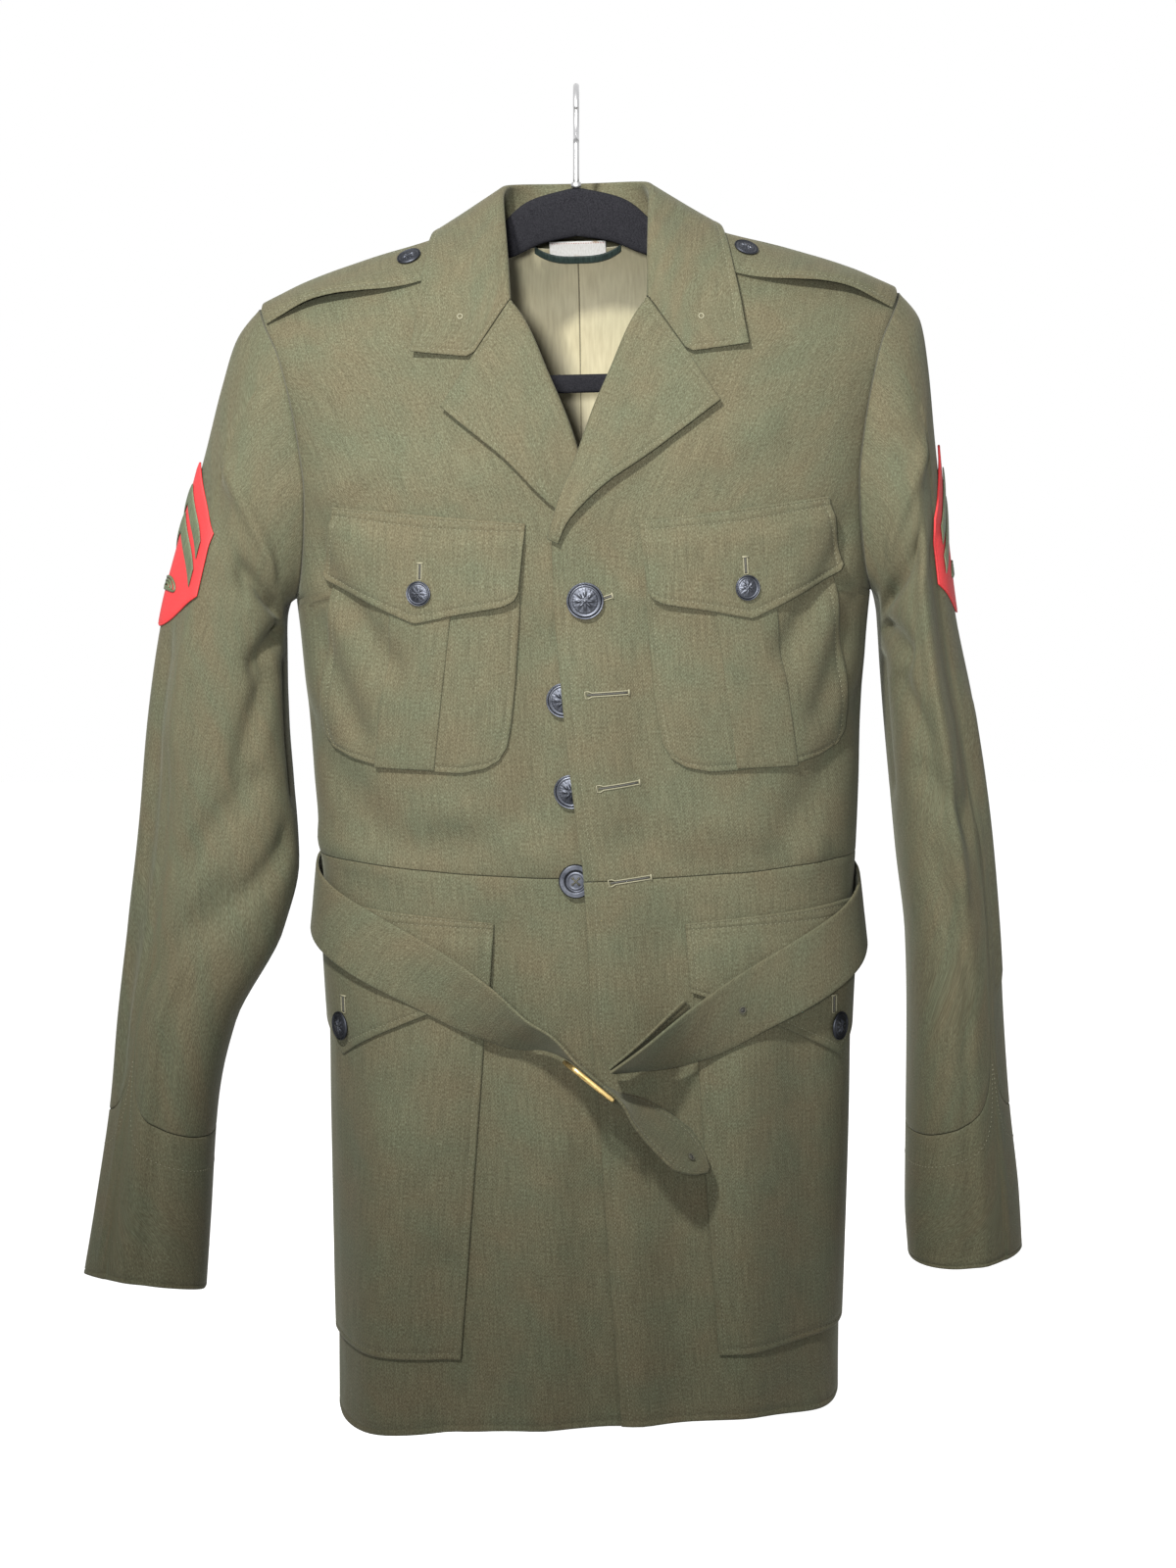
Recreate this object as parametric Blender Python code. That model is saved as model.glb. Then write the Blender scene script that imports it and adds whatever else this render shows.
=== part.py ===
"""Military dress jacket hanging on a slim clothes hanger. Metres, +Z up, the wearer's front faces -Y.

The origin is the inside top of the hanger hook. Sizes below are in millimetres and are turned to metres
when a mesh is made. The jacket is laid out evenly about X = 0, and hang() then gives it the small lean
that it has on the hanger.
"""
import math

import bpy
import numpy as np

MM = 0.001
COLLECTION = "military_dress_jacket"

# Cloth thicknesses and gaps
CLOTH = 1.6
TRIM = 1.5
LINING = 1.2
SEAM = 0.3
LINING_IN = 4.2
SIDE_POWER = 2.5
SHOULDER_ROUND = 62.0

# Body rings: height, half width, front depth, back depth
BODY = np.array([
    (-60, 236, 56, 50), (-100, 236, 64, 58), (-140, 234, 73, 70), (-180, 226, 84, 82),
    (-230, 210, 95, 92), (-280, 200, 103, 96), (-335, 194, 105, 96), (-400, 189, 104, 92),
    (-460, 185.5, 100, 88), (-520, 182, 97, 86), (-580, 178.5, 98, 90), (-660, 175.5, 100, 94),
    (-760, 174, 101, 96), (-920, 175, 102, 97)], float)
# Shoulder ridge: distance from the middle, height
RIDGE = np.array([(0, -74), (30, -76), (62, -84), (100, -97), (130, -107), (163, -119),
                  (187, -128), (214, -139), (260, -162)], float)
# Armhole seam: height, distance from the middle
ARMHOLE = np.array([(-139, 214), (-151, 208.5), (-170, 199), (-200, 191), (-230, 186), (-260, 183),
                    (-285, 184), (-305, 186), (-320, 188.5), (-329, 191.2), (-335, 194)], float)
# Lean on the hanger: height, shift to the right, rise per millimetre to the right
HANG = np.array([(-40, 0, 0.026), (-62, 0, 0.026), (-140, 2, 0.026), (-270, 3.8, 0.022),
                 (-335, 4.8, 0.017), (-420, 6, 0.008), (-520, 8.4, 0), (-620, 9.2, 0), (-700, 9, 0.004),
                 (-845, 8.5, 0.03), (-920, 8.3, 0.045)])
HANG_TOP = -30.0

# Seam heights by distance from the middle
WAIST = np.array([(0, -517), (60, -514), (120, -509), (185, -510)], float)
HEM = np.array([(0, -888), (60, -890), (128, -899), (178, -896)], float)
HEM_BACK = -893.0
WAIST_BACK = -511.0
# Rows of the upper panels, as shares of the way from the waist seam to the shoulder
FRONT_ROWS = np.array([0, 0.13, 0.27, 0.38, 0.44, 0.4717, 0.492, 0.513, 0.537, 0.566, 0.61, 0.66, 0.71, 0.76,
                       0.81, 0.8707, 0.92, 0.9624, 0.986, 0.9965, 1.0])
BACK_ROWS = np.array([0, 0.12, 0.25, 0.37, 0.44, 0.4717, 0.5, 0.55, 0.64, 0.73, 0.81, 0.875, 0.925, 0.963,
                      0.991, 1.0])
NECK_COLUMNS = np.array([0, 0.24, 0.48, 0.68, 0.84, 0.93, 1.0])

# Edge of the upper (right) front: height, place. Above -295 it is the roll line of the lapel.
EDGE_RIGHT = np.array([
    (-140, 46), (-153, 36.5), (-187, 20.7), (-211, 9.9), (-242, -1.8), (-274, -14.9), (-295, -19.7),
    (-337, -19.2), (-375, -16.5), (-434, -11.8), (-474, -8), (-523, -3), (-582, -0.5), (-627, 1.8),
    (-665, 6), (-729, 9.8), (-801, 15), (-888, 22), (-930, 25)], float)
# Edge of the under (left) front, from its roll line down to the part hidden by the right front
EDGE_LEFT = np.array([
    (-140, -46), (-153, -37), (-187, -22.5), (-223, -7.9), (-240, -2.5), (-265, 6), (-300, 14),
    (-337, 18), (-434, 22), (-523, 27), (-665, 36), (-801, 44), (-930, 52)], float)
# How far the right front rides over the buttons: height, lift at the edge
LAP_LIFT = np.array([(-190, 0), (-240, 5.6), (-282, 6.4), (-300, 4.0), (-322, 1.2), (-345, 1.2),
                     (-366, 3.0), (-386, 4.5), (-468, 4.5), (-526, 4.5), (-560, 2.4), (-640, 1.4),
                     (-930, 0.9)], float)
LAP_PLATEAU = 9.0
LAP_SINK = np.array([(-185, 0), (-240, 2.4), (-290, 2.4), (-330, 2.2), (-930, 2.1)], float)
LAP_BLEND_RIGHT = 44.0
LAP_BLEND_LEFT = 30.0
# Neckline above the roll line: height, distance from the middle
NECK = np.array([(-140, 46), (-125, 50), (-108, 55), (-95, 59.5), (-84, 62)], float)
NECK_BACK_DROP = np.array([(0, 40), (20, 38.5), (38, 33), (52, 22), (62, 0)], float)

# Folded edge of a lapel: distance out from the roll line, height of the cloth's middle
FOLD = np.array([(10, -3.2), (2.2, -3.2), (-1.5, -2.3), (-2.6, 0.3), (-1.5, 2.6), (2.4, 3.3)], float)
LAPEL_CLOTH = 1.4
LEAF = 3.3
GORGE = (70.0, -174.8)
NOTCH = (90.0, -205.8)
COLLAR_POINT = (109.0, -170.8)

# Collar stations on one side: share of the way to the centre back; neck seam (x, along);
# fold (x, y, z); free edge (x, along). "Along" is measured over the shoulder, front below zero.
COLLAR = np.array([
    (0.00, 46.5, -95, 46.5, -74, -138, 109, -110),
    (0.15, 51.0, -78, 47.5, -54, -106, 105, -86),
    (0.30, 56.0, -55, 49.0, -31, -84, 100, -56),
    (0.45, 61.0, -24, 50.0, -8, -68, 96.5, -26),
    (0.60, 60.0, 10, 46.0, 15, -61, 92, 8),
    (0.80, 38.0, 33, 27.0, 34, -60, 62, 58),
    (1.00, 0.0, 40, 0.0, 41, -60, 0, 72)], float)

# Chest pocket and flap corners (distance from the middle, height)
CHEST_FLAP_TOP = ((36.3, -281.5), (161.0, -269.4))
CHEST_FLAP_BOTTOM = ((41.5, -326), (44.5, -331.5), (51.6, -335), (68, -337.8), (84, -340.6),
                     (97, -343.6), (109, -346), (128, -337.5), (147, -328.7), (164, -320.8),
                     (168.5, -318.3), (170.3, -314))
CHEST_TOP = ((39.6, -302.0), (163.2, -290.5))
CHEST_SIDE_IN = ((39.6, -302.0), (41.2, -341), (44.6, -385), (47.4, -410), (50.6, -427), (56.5, -436.3))
CHEST_SIDE_OUT = ((163.2, -290.5), (168, -330), (174.2, -380), (177.0, -412), (176.4, -424), (169.8, -432.6))
CHEST_BOTTOM = ((56.5, -436.3), (66, -442), (81, -445.2), (98.5, -444.6), (118, -443), (138.5, -441.6),
                (155, -438.4), (169.8, -432.6))
POCKET_LOW = 0.9
PLEAT_TOP = (79.5, 119.5)
PLEAT_BOTTOM = (98.5, 138.5)
CHEST_BUTTON = (105.0, -325.7)

# Hip pocket: half width either side of the button and heights; "along" runs round the body
HIP_BUTTON = (165.0, -624.0)
HIP_HALF = 118.0
HIP_FLAP_TOP = (-546.5, -538.0)
HIP_FLAP_EDGE = -592.0
HIP_FLAP_POINT = -645.0
HIP_POCKET = (-575.0, -843.0)
HIP_LEAN = 24.0
HIP_CORNER = 16.0

# Shoulder strap: distance from the middle, front edge and back edge along, lift
STRAP = np.array([(88, -60, -18, 0.5), (98, -61, -17.5, 0.5), (110, -60.5, -15, 0.6), (124, -59, -11, 1.9),
                  (142, -55, -6, 4.2), (162, -49, 2, 5.4), (182, -44, 12, 4.4), (198, -43, 22, 2.2),
                  (211, -43, 30, 0.8)], float)
STRAP_BUTTON = (110.0, -36.0)

# Sleeves, worked out from their outlines: outer x, z; inner x, z; half depth; middle y
SLEEVE_LEFT = np.array([
    (-214, -139, -194, -335, 56, -1), (-229, -159, -199.5, -341, 62, 1), (-240, -191, -201.5, -350, 65, 3),
    (-252, -233, -202.5, -366, 66, 5), (-268, -287, -202.5, -392, 66, 7), (-285, -346, -202, -424, 66, 8),
    (-296, -411, -200, -465, 65, 8), (-305.5, -489, -198, -517, 63, 6), (-315.5, -560, -209.5, -566, 60, 3),
    (-324, -624, -243.5, -630, 58, 0), (-330, -681, -257, -687, 55, -2), (-342, -752, -263, -762, 52.5, -3),
    (-351, -799, -267, -811, 51, -3)], float)
SLEEVE_RIGHT = np.array([
    (214, -139, 194, -335, 56, -1), (228, -159, 198.5, -343, 64, 1), (233.5, -189, 200, -354, 69, 3),
    (238, -235, 201.5, -370, 73, 5), (244, -292, 203, -394, 75, 7), (251.5, -350, 205, -424, 76, 8),
    (264, -412, 207.5, -462, 75, 8), (273, -475, 211, -512, 72, 6), (281, -566, 217.5, -573, 67, 3),
    (284.5, -621, 219, -629, 64, 0), (290, -683, 219.5, -688, 60, -2), (298.5, -752, 220, -759, 56, -3),
    (301.5, -794, 223, -800, 54, -3)], float)
SLEEVE_CLOTH = 1.5
SLEEVE_GAP = 0.9
# Section of a sleeve, left and right: how sharp its outer crease is, how far forward it lies, hem tilt
SLEEVE_OUTER_POWER = {-1: 1.4, 1: 1.6}
SLEEVE_INNER_POWER = 2.2
SLEEVE_CREASE_ROUND = 0.02
SLEEVE_FORWARD = {-1: 0.3, 1: 0.12}
SLEEVE_TILT = {-1: 7.0, 1: 0.0}
CUFF_TIP_ANGLE = 51.0
# Cuff seam: distance round the sleeve from its tip, height
CUFF_SEAM = np.array([(0, -624), (1.6, -641), (3.2, -657), (8, -673), (18, -685), (33, -692),
                      (52, -695), (75, -697.5), (170, -699)], float)
CUFF_TILT = 6.0
CUFF_COLUMNS = (0, 1.6, 3.2, 8, 18, 33, 52)

# Shoulder patch outline on the outer side of the sleeve: half width at heights, and its chevrons
PATCH_TOP = -241.0
PATCH_HALF = 42.0
PATCH_TURN = {-1: 6.0, 1: 8.0}
PATCH_SHOULDER = 46.0
PATCH_SIDE = 88.0
PATCH_TIP = 110.0
PATCH_THICK = 1.4
PATCH_LOW = 0.9
CHEVRON_DROPS = (14.0, 33.0)
CHEVRON_WIDTH = 12.5
CHEVRON_HALF = 34.0
CHEVRON_THICK = 0.9

# Belt: along the body from the middle of the front (left below zero), height of its middle,
# height off the body, twist in degrees (top edge outwards)
BELT_HALF = 22.5
BELT_THICK = 2.0
BELT_PATH_LEFT = np.array([
    (5.6, -645.8, 30.0, 80), (-10.6, -632.0, 29.5, 80), (-28, -620.0, 25.5, 66), (-49, -613.5, 20, 48),
    (-76, -599, 14.0, 24), (-106, -583, 9.4, 6), (-142, -567, 8.0, 0), (-178, -553, 7.6, 0),
    (-220, -541, 7.6, 0), (-290, -531, 7.8, 0), (-340, -528, 7.6, 0), (-390, -527, 5.8, 0),
    (-452, -526, 5.4, 0)], float)
BELT_PATH_RIGHT = np.array([
    (14, -639, 30.0, 78), (31, -633, 27, 64), (52, -625, 21.5, 44), (77, -613.5, 15.5, 22),
    (107, -598, 10.0, 6), (142, -582, 8.2, 0), (182, -565, 7.8, 0), (222, -551, 7.6, 0), (290, -537, 7.8, 0),
    (340, -530, 7.6, 0), (390, -528, 5.8, 0), (452, -526, 5.4, 0)], float)
TONGUE_PATH = np.array([
    (6.1, -646.2, 30.0, 80), (19.4, -656, 29.5, 82), (31, -665.5, 27, 93), (45, -678.5, 24, 104),
    (60, -693, 21, 112), (77, -708.5, 18, 114)], float)
TURNBACK_PATH = np.array([(13.5, -637.0, 28, 77), (31, -626, 23, 66), (48, -615, 17.5, 50),
                          (66, -602.6, 14.5, 30)], float)
TURNBACK_HALF = 14.0
BUCKLE_AT = (-1.6, -644.0)
BUCKLE_OUT = 31.0
BUCKLE_SHIFT = 0.8
BUCKLE_HALF_ALONG = 16.5
BUCKLE_HALF_OUT = 26.5
BUCKLE_CORNER = 4.0
BUCKLE_WIRE = 1.5
BELT_REFERENCE = -600.0

# Hanger frame: distance from the middle, height of the bar's middle, half height
FRAME = np.array([(0, -80, 16), (25, -85.5, 15), (47, -98.5, 11), (64, -105, 9), (100, -108.2, 8.2),
                  (150, -125.2, 7), (180, -137, 6.6), (191, -149, 6.4), (190, -170, 6.2), (176, -188, 6.2),
                  (140, -194, 6.2), (60, -194, 6.2), (0, -194, 6.2)], float)
FRAME_HALF_DEPTH = 3.2
HOOK_RADIUS = 18.0
HOOK_WIRE = 2.0
HOOK_MIDDLE = -16.0

# Buttons: rim radius and height by kind; places of the front ones (x, height, how they sit)
BUTTON_FRONT = 12.0
BUTTON_SMALL = 8.2
BUTTON_HIP = 9.8
FRONT_BUTTONS = (("front_button_1", 1.2, -331.9), ("front_button_2", -13.6, -396.8),
                 ("front_button_3", -10.0, -457.3), ("front_button_4", -8.4, -517.0))


def curve(t, ts, vs):
    """Smooth monotone curve through table points."""
    t = np.asarray(t, float)
    ts = np.asarray(ts, float)
    vs = np.asarray(vs, float)
    if ts[0] > ts[-1]:
        ts = ts[::-1]
        vs = vs[::-1]
    step = np.diff(ts)
    wide = step if vs.ndim == 1 else step[:, None]
    slope = np.diff(vs, axis=0) / wide
    tangent = np.zeros_like(vs)
    tangent[0] = slope[0]
    tangent[-1] = slope[-1]
    for k in range(1, len(ts) - 1):
        w1 = 2 * step[k] + step[k - 1]
        w2 = step[k] + 2 * step[k - 1]
        a = slope[k - 1]
        b = slope[k]
        safe_a = np.where(a * b > 0, a, 1.0)
        safe_b = np.where(a * b > 0, b, 1.0)
        tangent[k] = np.where(a * b > 0, (w1 + w2) / (w1 / safe_a + w2 / safe_b), 0.0)
    inside = np.clip(t, ts[0], ts[-1])
    k = np.clip(np.searchsorted(ts, inside, side="right") - 1, 0, len(ts) - 2)
    u = (inside - ts[k]) / step[k]
    h = step[k]
    if vs.ndim > 1:
        u = u[..., None]
        h = h[..., None]
    return ((2 * u ** 3 - 3 * u ** 2 + 1) * vs[k] + (u ** 3 - 2 * u ** 2 + u) * h * tangent[k]
            + (3 * u ** 2 - 2 * u ** 3) * vs[k + 1] + (u ** 3 - u ** 2) * h * tangent[k + 1])


def spline(t, ts, vs):
    """Curve with tangents from both neighbours, for paths that turn round."""
    t = np.asarray(t, float)
    ts = np.asarray(ts, float)
    vs = np.asarray(vs, float)
    tangent = np.gradient(vs, ts, axis=0)
    k = np.clip(np.searchsorted(ts, t, side="right") - 1, 0, len(ts) - 2)
    h = (ts[k + 1] - ts[k])[..., None]
    u = (t - ts[k])[..., None] / h
    return ((2 * u ** 3 - 3 * u ** 2 + 1) * vs[k] + (u ** 3 - 2 * u ** 2 + u) * h * tangent[k]
            + (3 * u ** 2 - 2 * u ** 3) * vs[k + 1] + (u ** 3 - u ** 2) * h * tangent[k + 1])


def column(rows, k):
    return rows[:, k]


def smooth(t):
    t = np.clip(t, 0.0, 1.0)
    return t * t * (3 - 2 * t)


def half_width(z):
    return curve(z, column(BODY, 0), column(BODY, 1))


def depth(z, back):
    levels = column(BODY, 0)
    return np.where(back, curve(z, levels, column(BODY, 3)), curve(z, levels, column(BODY, 2)))


def ridge(x):
    return curve(np.abs(x), column(RIDGE, 0), column(RIDGE, 1))


def roundness(x, z):
    """Share of the full depth that is left close to the shoulder ridge."""
    r = np.clip((ridge(x) - z) / SHOULDER_ROUND, 0.0, 1.0)
    return np.sqrt(np.clip(1 - (1 - r) ** 2, 0, 1))


def side_factor(x, z):
    return np.clip(1 - (np.abs(x) / half_width(z)) ** SIDE_POWER, 0, None) ** (1 / SIDE_POWER)


def body_at(x, z, back=False):
    """Point of the body's outer face at a place in front view."""
    x, z, back = np.broadcast_arrays(np.asarray(x, float), np.asarray(z, float), np.asarray(back))
    y = depth(z, back) * side_factor(x, z) * roundness(x, z)
    return np.stack([x, np.where(back, y, -y), z], axis=-1)


def body_round(angle, z):
    """Point of the body's outer face by angle, 0 at the front and 180 at the back, in degrees."""
    angle, z = np.broadcast_arrays(np.radians(np.asarray(angle, float)), np.asarray(z, float))
    s = np.sin(angle)
    c = np.cos(angle)
    size = (np.abs(s) ** SIDE_POWER + np.abs(c) ** SIDE_POWER) ** (1 / SIDE_POWER)
    x = half_width(z) * s / size
    y = depth(z, c < 0) * c / size * roundness(x, z)
    return np.stack([x, -y, z], axis=-1)


def angle_of(x, z):
    """Angle of a place in front view."""
    return np.degrees(np.arctan2(np.asarray(x, float) / half_width(z), side_factor(x, z)))


def over_shoulder(x, along):
    """Point by distance from the middle and distance over the ridge, front below zero."""
    x, along = np.broadcast_arrays(np.asarray(x, float), np.asarray(along, float))
    turn = np.clip(np.abs(along) / SHOULDER_ROUND, 0, math.pi / 2)
    rest = np.abs(along) - SHOULDER_ROUND * turn
    z = ridge(x) - SHOULDER_ROUND * (1 - np.cos(turn)) - rest
    back = along > 0
    y = depth(z, back) * side_factor(x, z) * np.sin(turn)
    return np.stack([x, np.where(back, y, -y), z], axis=-1)


def body_field(p):
    """Value that is zero on the body's outer face, below zero inside."""
    x = p[..., 0]
    y = p[..., 1]
    z = p[..., 2]
    r = np.minimum((ridge(x) - z) / SHOULDER_ROUND, 1.0)
    q = 1 - (np.abs(x) / half_width(z)) ** SIDE_POWER
    e = np.sign(q) * np.abs(q) ** (2 / SIDE_POWER)
    return (y / depth(z, y > 0)) ** 2 - (1 - (1 - r) ** 2) * e


def field_slope(p):
    step = 0.05
    parts = []
    for axis in range(3):
        shift = np.zeros(3)
        shift[axis] = step
        parts.append((body_field(p + shift) - body_field(p - shift)) / (2 * step))
    return np.stack(parts, axis=-1)


def normal(p):
    g = field_slope(p)
    return g / np.maximum(np.linalg.norm(g, axis=-1, keepdims=True), 1e-12)


def lift_clear(p, height):
    """Moves points out until they are at least this far off the body."""
    for _ in range(3):
        g = field_slope(p)
        size = np.maximum(np.linalg.norm(g, axis=-1), 1e-9)
        gap = body_field(p) / size
        push = np.clip(height - gap, 0, 12)
        p = p + g / size[..., None] * push[..., None]
    return p


def edge_right(z):
    return curve(z, column(EDGE_RIGHT, 0), column(EDGE_RIGHT, 1))


def edge_left(z):
    return curve(z, column(EDGE_LEFT, 0), column(EDGE_LEFT, 1))


def lap(x, z, side):
    """Offset of a front where the two fronts cross: the right rides up, the left sinks."""
    away = x - edge_right(z)
    if side > 0:
        height = curve(z, column(LAP_LIFT, 0), column(LAP_LIFT, 1))
        return height * (1 - smooth((away - LAP_PLATEAU) / LAP_BLEND_RIGHT))
    return -curve(z, column(LAP_SINK, 0), column(LAP_SINK, 1)) * smooth(1 + (away + 6) / LAP_BLEND_LEFT)


def raised(p, side, offset):
    """Points moved off the body face, following the lap of the fronts."""
    front = p[..., 1] < 0
    extra = np.where(front, lap(p[..., 0], p[..., 2], side), 0.0)
    return p + normal(p) * (extra + offset)[..., None]


def waist(x):
    return curve(np.abs(x), column(WAIST, 0), column(WAIST, 1))


def hem(x):
    return curve(np.abs(x), column(HEM, 0), column(HEM, 1))


def hang(p):
    p = np.array(p, float)
    z = p[..., 2].copy()
    fade = smooth((HANG_TOP - z) / 20.0)
    p[..., 2] = z + curve(z, column(HANG, 0), column(HANG, 2)) * p[..., 0] * fade
    p[..., 0] = p[..., 0] + curve(z, column(HANG, 0), column(HANG, 1))
    return p


def material(name, colour, metal, rough):
    found = bpy.data.materials.get(name)
    if found:
        return found
    made = bpy.data.materials.new(name)
    made.use_nodes = True
    shader = made.node_tree.nodes.get("Principled BSDF")
    shader.inputs["Base Color"].default_value = colour + (1.0,)
    shader.inputs["Metallic"].default_value = metal
    shader.inputs["Roughness"].default_value = rough
    return made


MATERIALS = {
    "wool": ((0.118, 0.115, 0.068), 0.0, 0.9),
    "lining": ((0.42, 0.36, 0.22), 0.0, 0.6),
    "label": ((0.85, 0.84, 0.8), 0.0, 0.7),
    "loop": ((0.02, 0.035, 0.03), 0.0, 0.7),
    "scarlet": ((0.62, 0.03, 0.02), 0.0, 0.75),
    "chevron": ((0.1, 0.14, 0.05), 0.0, 0.8),
    "brass": ((0.72, 0.5, 0.2), 1.0, 0.3),
    "dark_metal": ((0.035, 0.042, 0.06), 0.8, 0.4),
    "flock": ((0.012, 0.012, 0.016), 0.0, 0.95),
    "steel": ((0.6, 0.6, 0.62), 1.0, 0.3),
}


def make_mesh(name, points, faces, kind):
    """Makes one named object from points in millimetres, with its faces turned outwards."""
    placed = hang(points) * MM
    volume = 0.0
    for face in faces:
        for k in range(1, len(face) - 1):
            a = placed[face[0]]
            b = placed[face[k]]
            c = placed[face[k + 1]]
            volume += float(np.dot(a, np.cross(b, c)))
    if volume < 0:
        faces = [tuple(reversed(face)) for face in faces]
    mesh = bpy.data.meshes.new(name)
    corners = [tuple(float(v) for v in p) for p in placed]
    mesh.from_pydata(corners, [], [tuple(int(v) for v in f) for f in faces])
    mesh.validate()
    mesh.update()
    mesh.materials.append(material(kind, *MATERIALS[kind]))
    made = bpy.data.objects.new(name, mesh)
    bpy.data.collections[COLLECTION].objects.link(made)
    return made


def grid_faces(nu, nv, base, wrap, flip):
    faces = []
    for i in range(nu if wrap else nu - 1):
        k = (i + 1) % nu
        for j in range(nv - 1):
            quad = (base + i * nv + j, base + k * nv + j, base + k * nv + j + 1, base + i * nv + j + 1)
            faces.append(tuple(reversed(quad)) if flip else quad)
    return faces


def shell(name, outer, inner, kind, wrap=False):
    """Closed solid between two grids of points, with rims along its free edges."""
    nu, nv = outer.shape[:2]
    count = nu * nv
    points = np.concatenate([outer.reshape(-1, 3), inner.reshape(-1, 3)])
    faces = grid_faces(nu, nv, 0, wrap, False) + grid_faces(nu, nv, count, wrap, True)
    for i in range(nu if wrap else nu - 1):
        k = (i + 1) % nu
        a = i * nv
        b = k * nv
        faces.append((b, a, count + a, count + b))
        faces.append((a + nv - 1, b + nv - 1, count + b + nv - 1, count + a + nv - 1))
    if not wrap:
        last = (nu - 1) * nv
        for j in range(nv - 1):
            faces.append((j, j + 1, count + j + 1, count + j))
            faces.append((last + j + 1, last + j, count + last + j, count + last + j + 1))
    return make_mesh(name, points, faces, kind)


def sheet_between(name, middle, thick, kind, wrap=False):
    """Closed solid of even thickness round a grid of middle points."""
    du = np.gradient(middle, axis=0) if not wrap else np.roll(middle, -1, 0) - np.roll(middle, 1, 0)
    dv = np.gradient(middle, axis=1)
    n = np.cross(du, dv)
    n = n / np.maximum(np.linalg.norm(n, axis=-1, keepdims=True), 1e-12)
    return shell(name, middle + n * thick / 2, middle - n * thick / 2, kind, wrap)


def edge_gap(width):
    return 0.5 * SEAM / width


def front_upper(side, columns, rise):
    """Grid of an upper front: front edge and neckline to side seam and armhole, waist to shoulder."""
    c = np.linspace(0, 1, columns)
    c = edge_gap(190) + c * (1 - 2 * edge_gap(190))
    top_x = 62 + (213.6 - 62) * c
    top_depth = depth(ridge(top_x), False) * side_factor(top_x, ridge(top_x))
    top_z = ridge(top_x) - SHOULDER_ROUND * 0.5 * (0.2 / top_depth) ** 2
    low = waist(np.linspace(0, 182, columns)) + SEAM / 2
    z = low[:, None] + (top_z - low)[:, None] * rise[None, :]
    inner_x = np.where(z > -140, curve(z, column(NECK, 0), column(NECK, 1)),
                       edge_right(z) if side > 0 else -edge_left(z))
    arm = np.where(z > -335, curve(z, column(ARMHOLE, 0), column(ARMHOLE, 1)), half_width(z))
    start = angle_of(inner_x, z)
    end = np.where(z > -335, angle_of(np.minimum(arm, half_width(z) - 1e-6), z), 89.9)
    even = start + (end - start) * c[:, None]
    blend = smooth((1 - np.sqrt(1 - rise) - 0.5) / 0.5)[None, :]
    level_x = inner_x + (np.minimum(arm, half_width(z) - 1e-6) - inner_x) * c[:, None]
    level_x = level_x + (top_x - level_x[:, -1])[:, None] * smooth((rise - 0.85) / 0.15)[None, :]
    level = angle_of(level_x, z)
    return body_round(side * (even * (1 - blend) + level * blend), z)


def front_skirt(side, columns, rows):
    c = np.linspace(0, 1, columns)
    t = np.linspace(0, 1, rows)
    x = np.linspace(0, 182, columns)
    z = (waist(x) - SEAM / 2)[:, None] * (1 - t) + hem(x)[:, None] * t
    inner_x = edge_right(z) if side > 0 else -edge_left(z)
    left_angle = angle_of(inner_x, z)
    angle = left_angle + (89.9 - left_angle) * c[:, None]
    return body_round(side * angle, z)


def back_panel(side, columns, rise):
    """Grid of an upper back half: centre back to side seam and armhole, waist to shoulder and neck."""
    neck_share = 0.3
    c = np.concatenate([neck_share * NECK_COLUMNS, np.linspace(neck_share, 1, columns - 6)[1:]])
    neck_c = np.clip(c / neck_share, 0, 1)
    top_x = np.where(c < neck_share, 62 * neck_c, 62 + (213.6 - 62) * (c - neck_share) / (1 - neck_share))
    along = np.where(c < neck_share, curve(top_x, column(NECK_BACK_DROP, 0), column(NECK_BACK_DROP, 1)), 0)
    top = over_shoulder(top_x, np.maximum(along, 0.2))
    low = WAIST_BACK + (waist(182 * c) - WAIST_BACK) * smooth((c - 0.5) / 0.5) + SEAM / 2
    z = low[:, None] + (top[:, 2] - low)[:, None] * rise[None, :]
    arm = np.where(z > -335, curve(z, column(ARMHOLE, 0), column(ARMHOLE, 1)), half_width(z))
    end = np.where(z > -335, 180 - angle_of(np.minimum(arm, half_width(z) - 1e-6), z), 90.1)
    even = 179.95 + (end - 179.95) * c[:, None]
    top_angle = 180 - angle_of(np.maximum(top_x, 0.15), top[:, 2])
    blend = smooth((1 - np.sqrt(1 - rise) - 0.55) / 0.45)[None, :]
    share = (179.95 - top_angle) / np.maximum(179.95 - end[:, -1:][:, 0], 1e-6)
    warped = 179.95 + (end - 179.95) * (c[:, None] * (1 - blend) + share[:, None] * blend)
    angle = np.where(blend > 0, warped, even)
    return body_round(side * angle, z)


def back_skirt(side, columns, rows):
    c = np.linspace(0, 1, columns)
    t = np.linspace(0, 1, rows)
    low = hem(178 * c) * smooth((c - 0.4) / 0.6) + HEM_BACK * (1 - smooth((c - 0.4) / 0.6))
    high = WAIST_BACK + (waist(182 * c) - WAIST_BACK) * smooth((c - 0.5) / 0.5) - SEAM / 2
    z = high[:, None] * (1 - t) + low[:, None] * t
    angle = 179.95 + (90.1 - 179.95) * c[:, None] + 0 * z
    return body_round(side * angle, z)


def body_shell(name, p, side, front):
    if front:
        return shell(name, raised(p, side, 0.0), raised(p, side, -CLOTH), "wool")
    n = normal(p)
    return shell(name, p, p - n * CLOTH, "wool")


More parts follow.
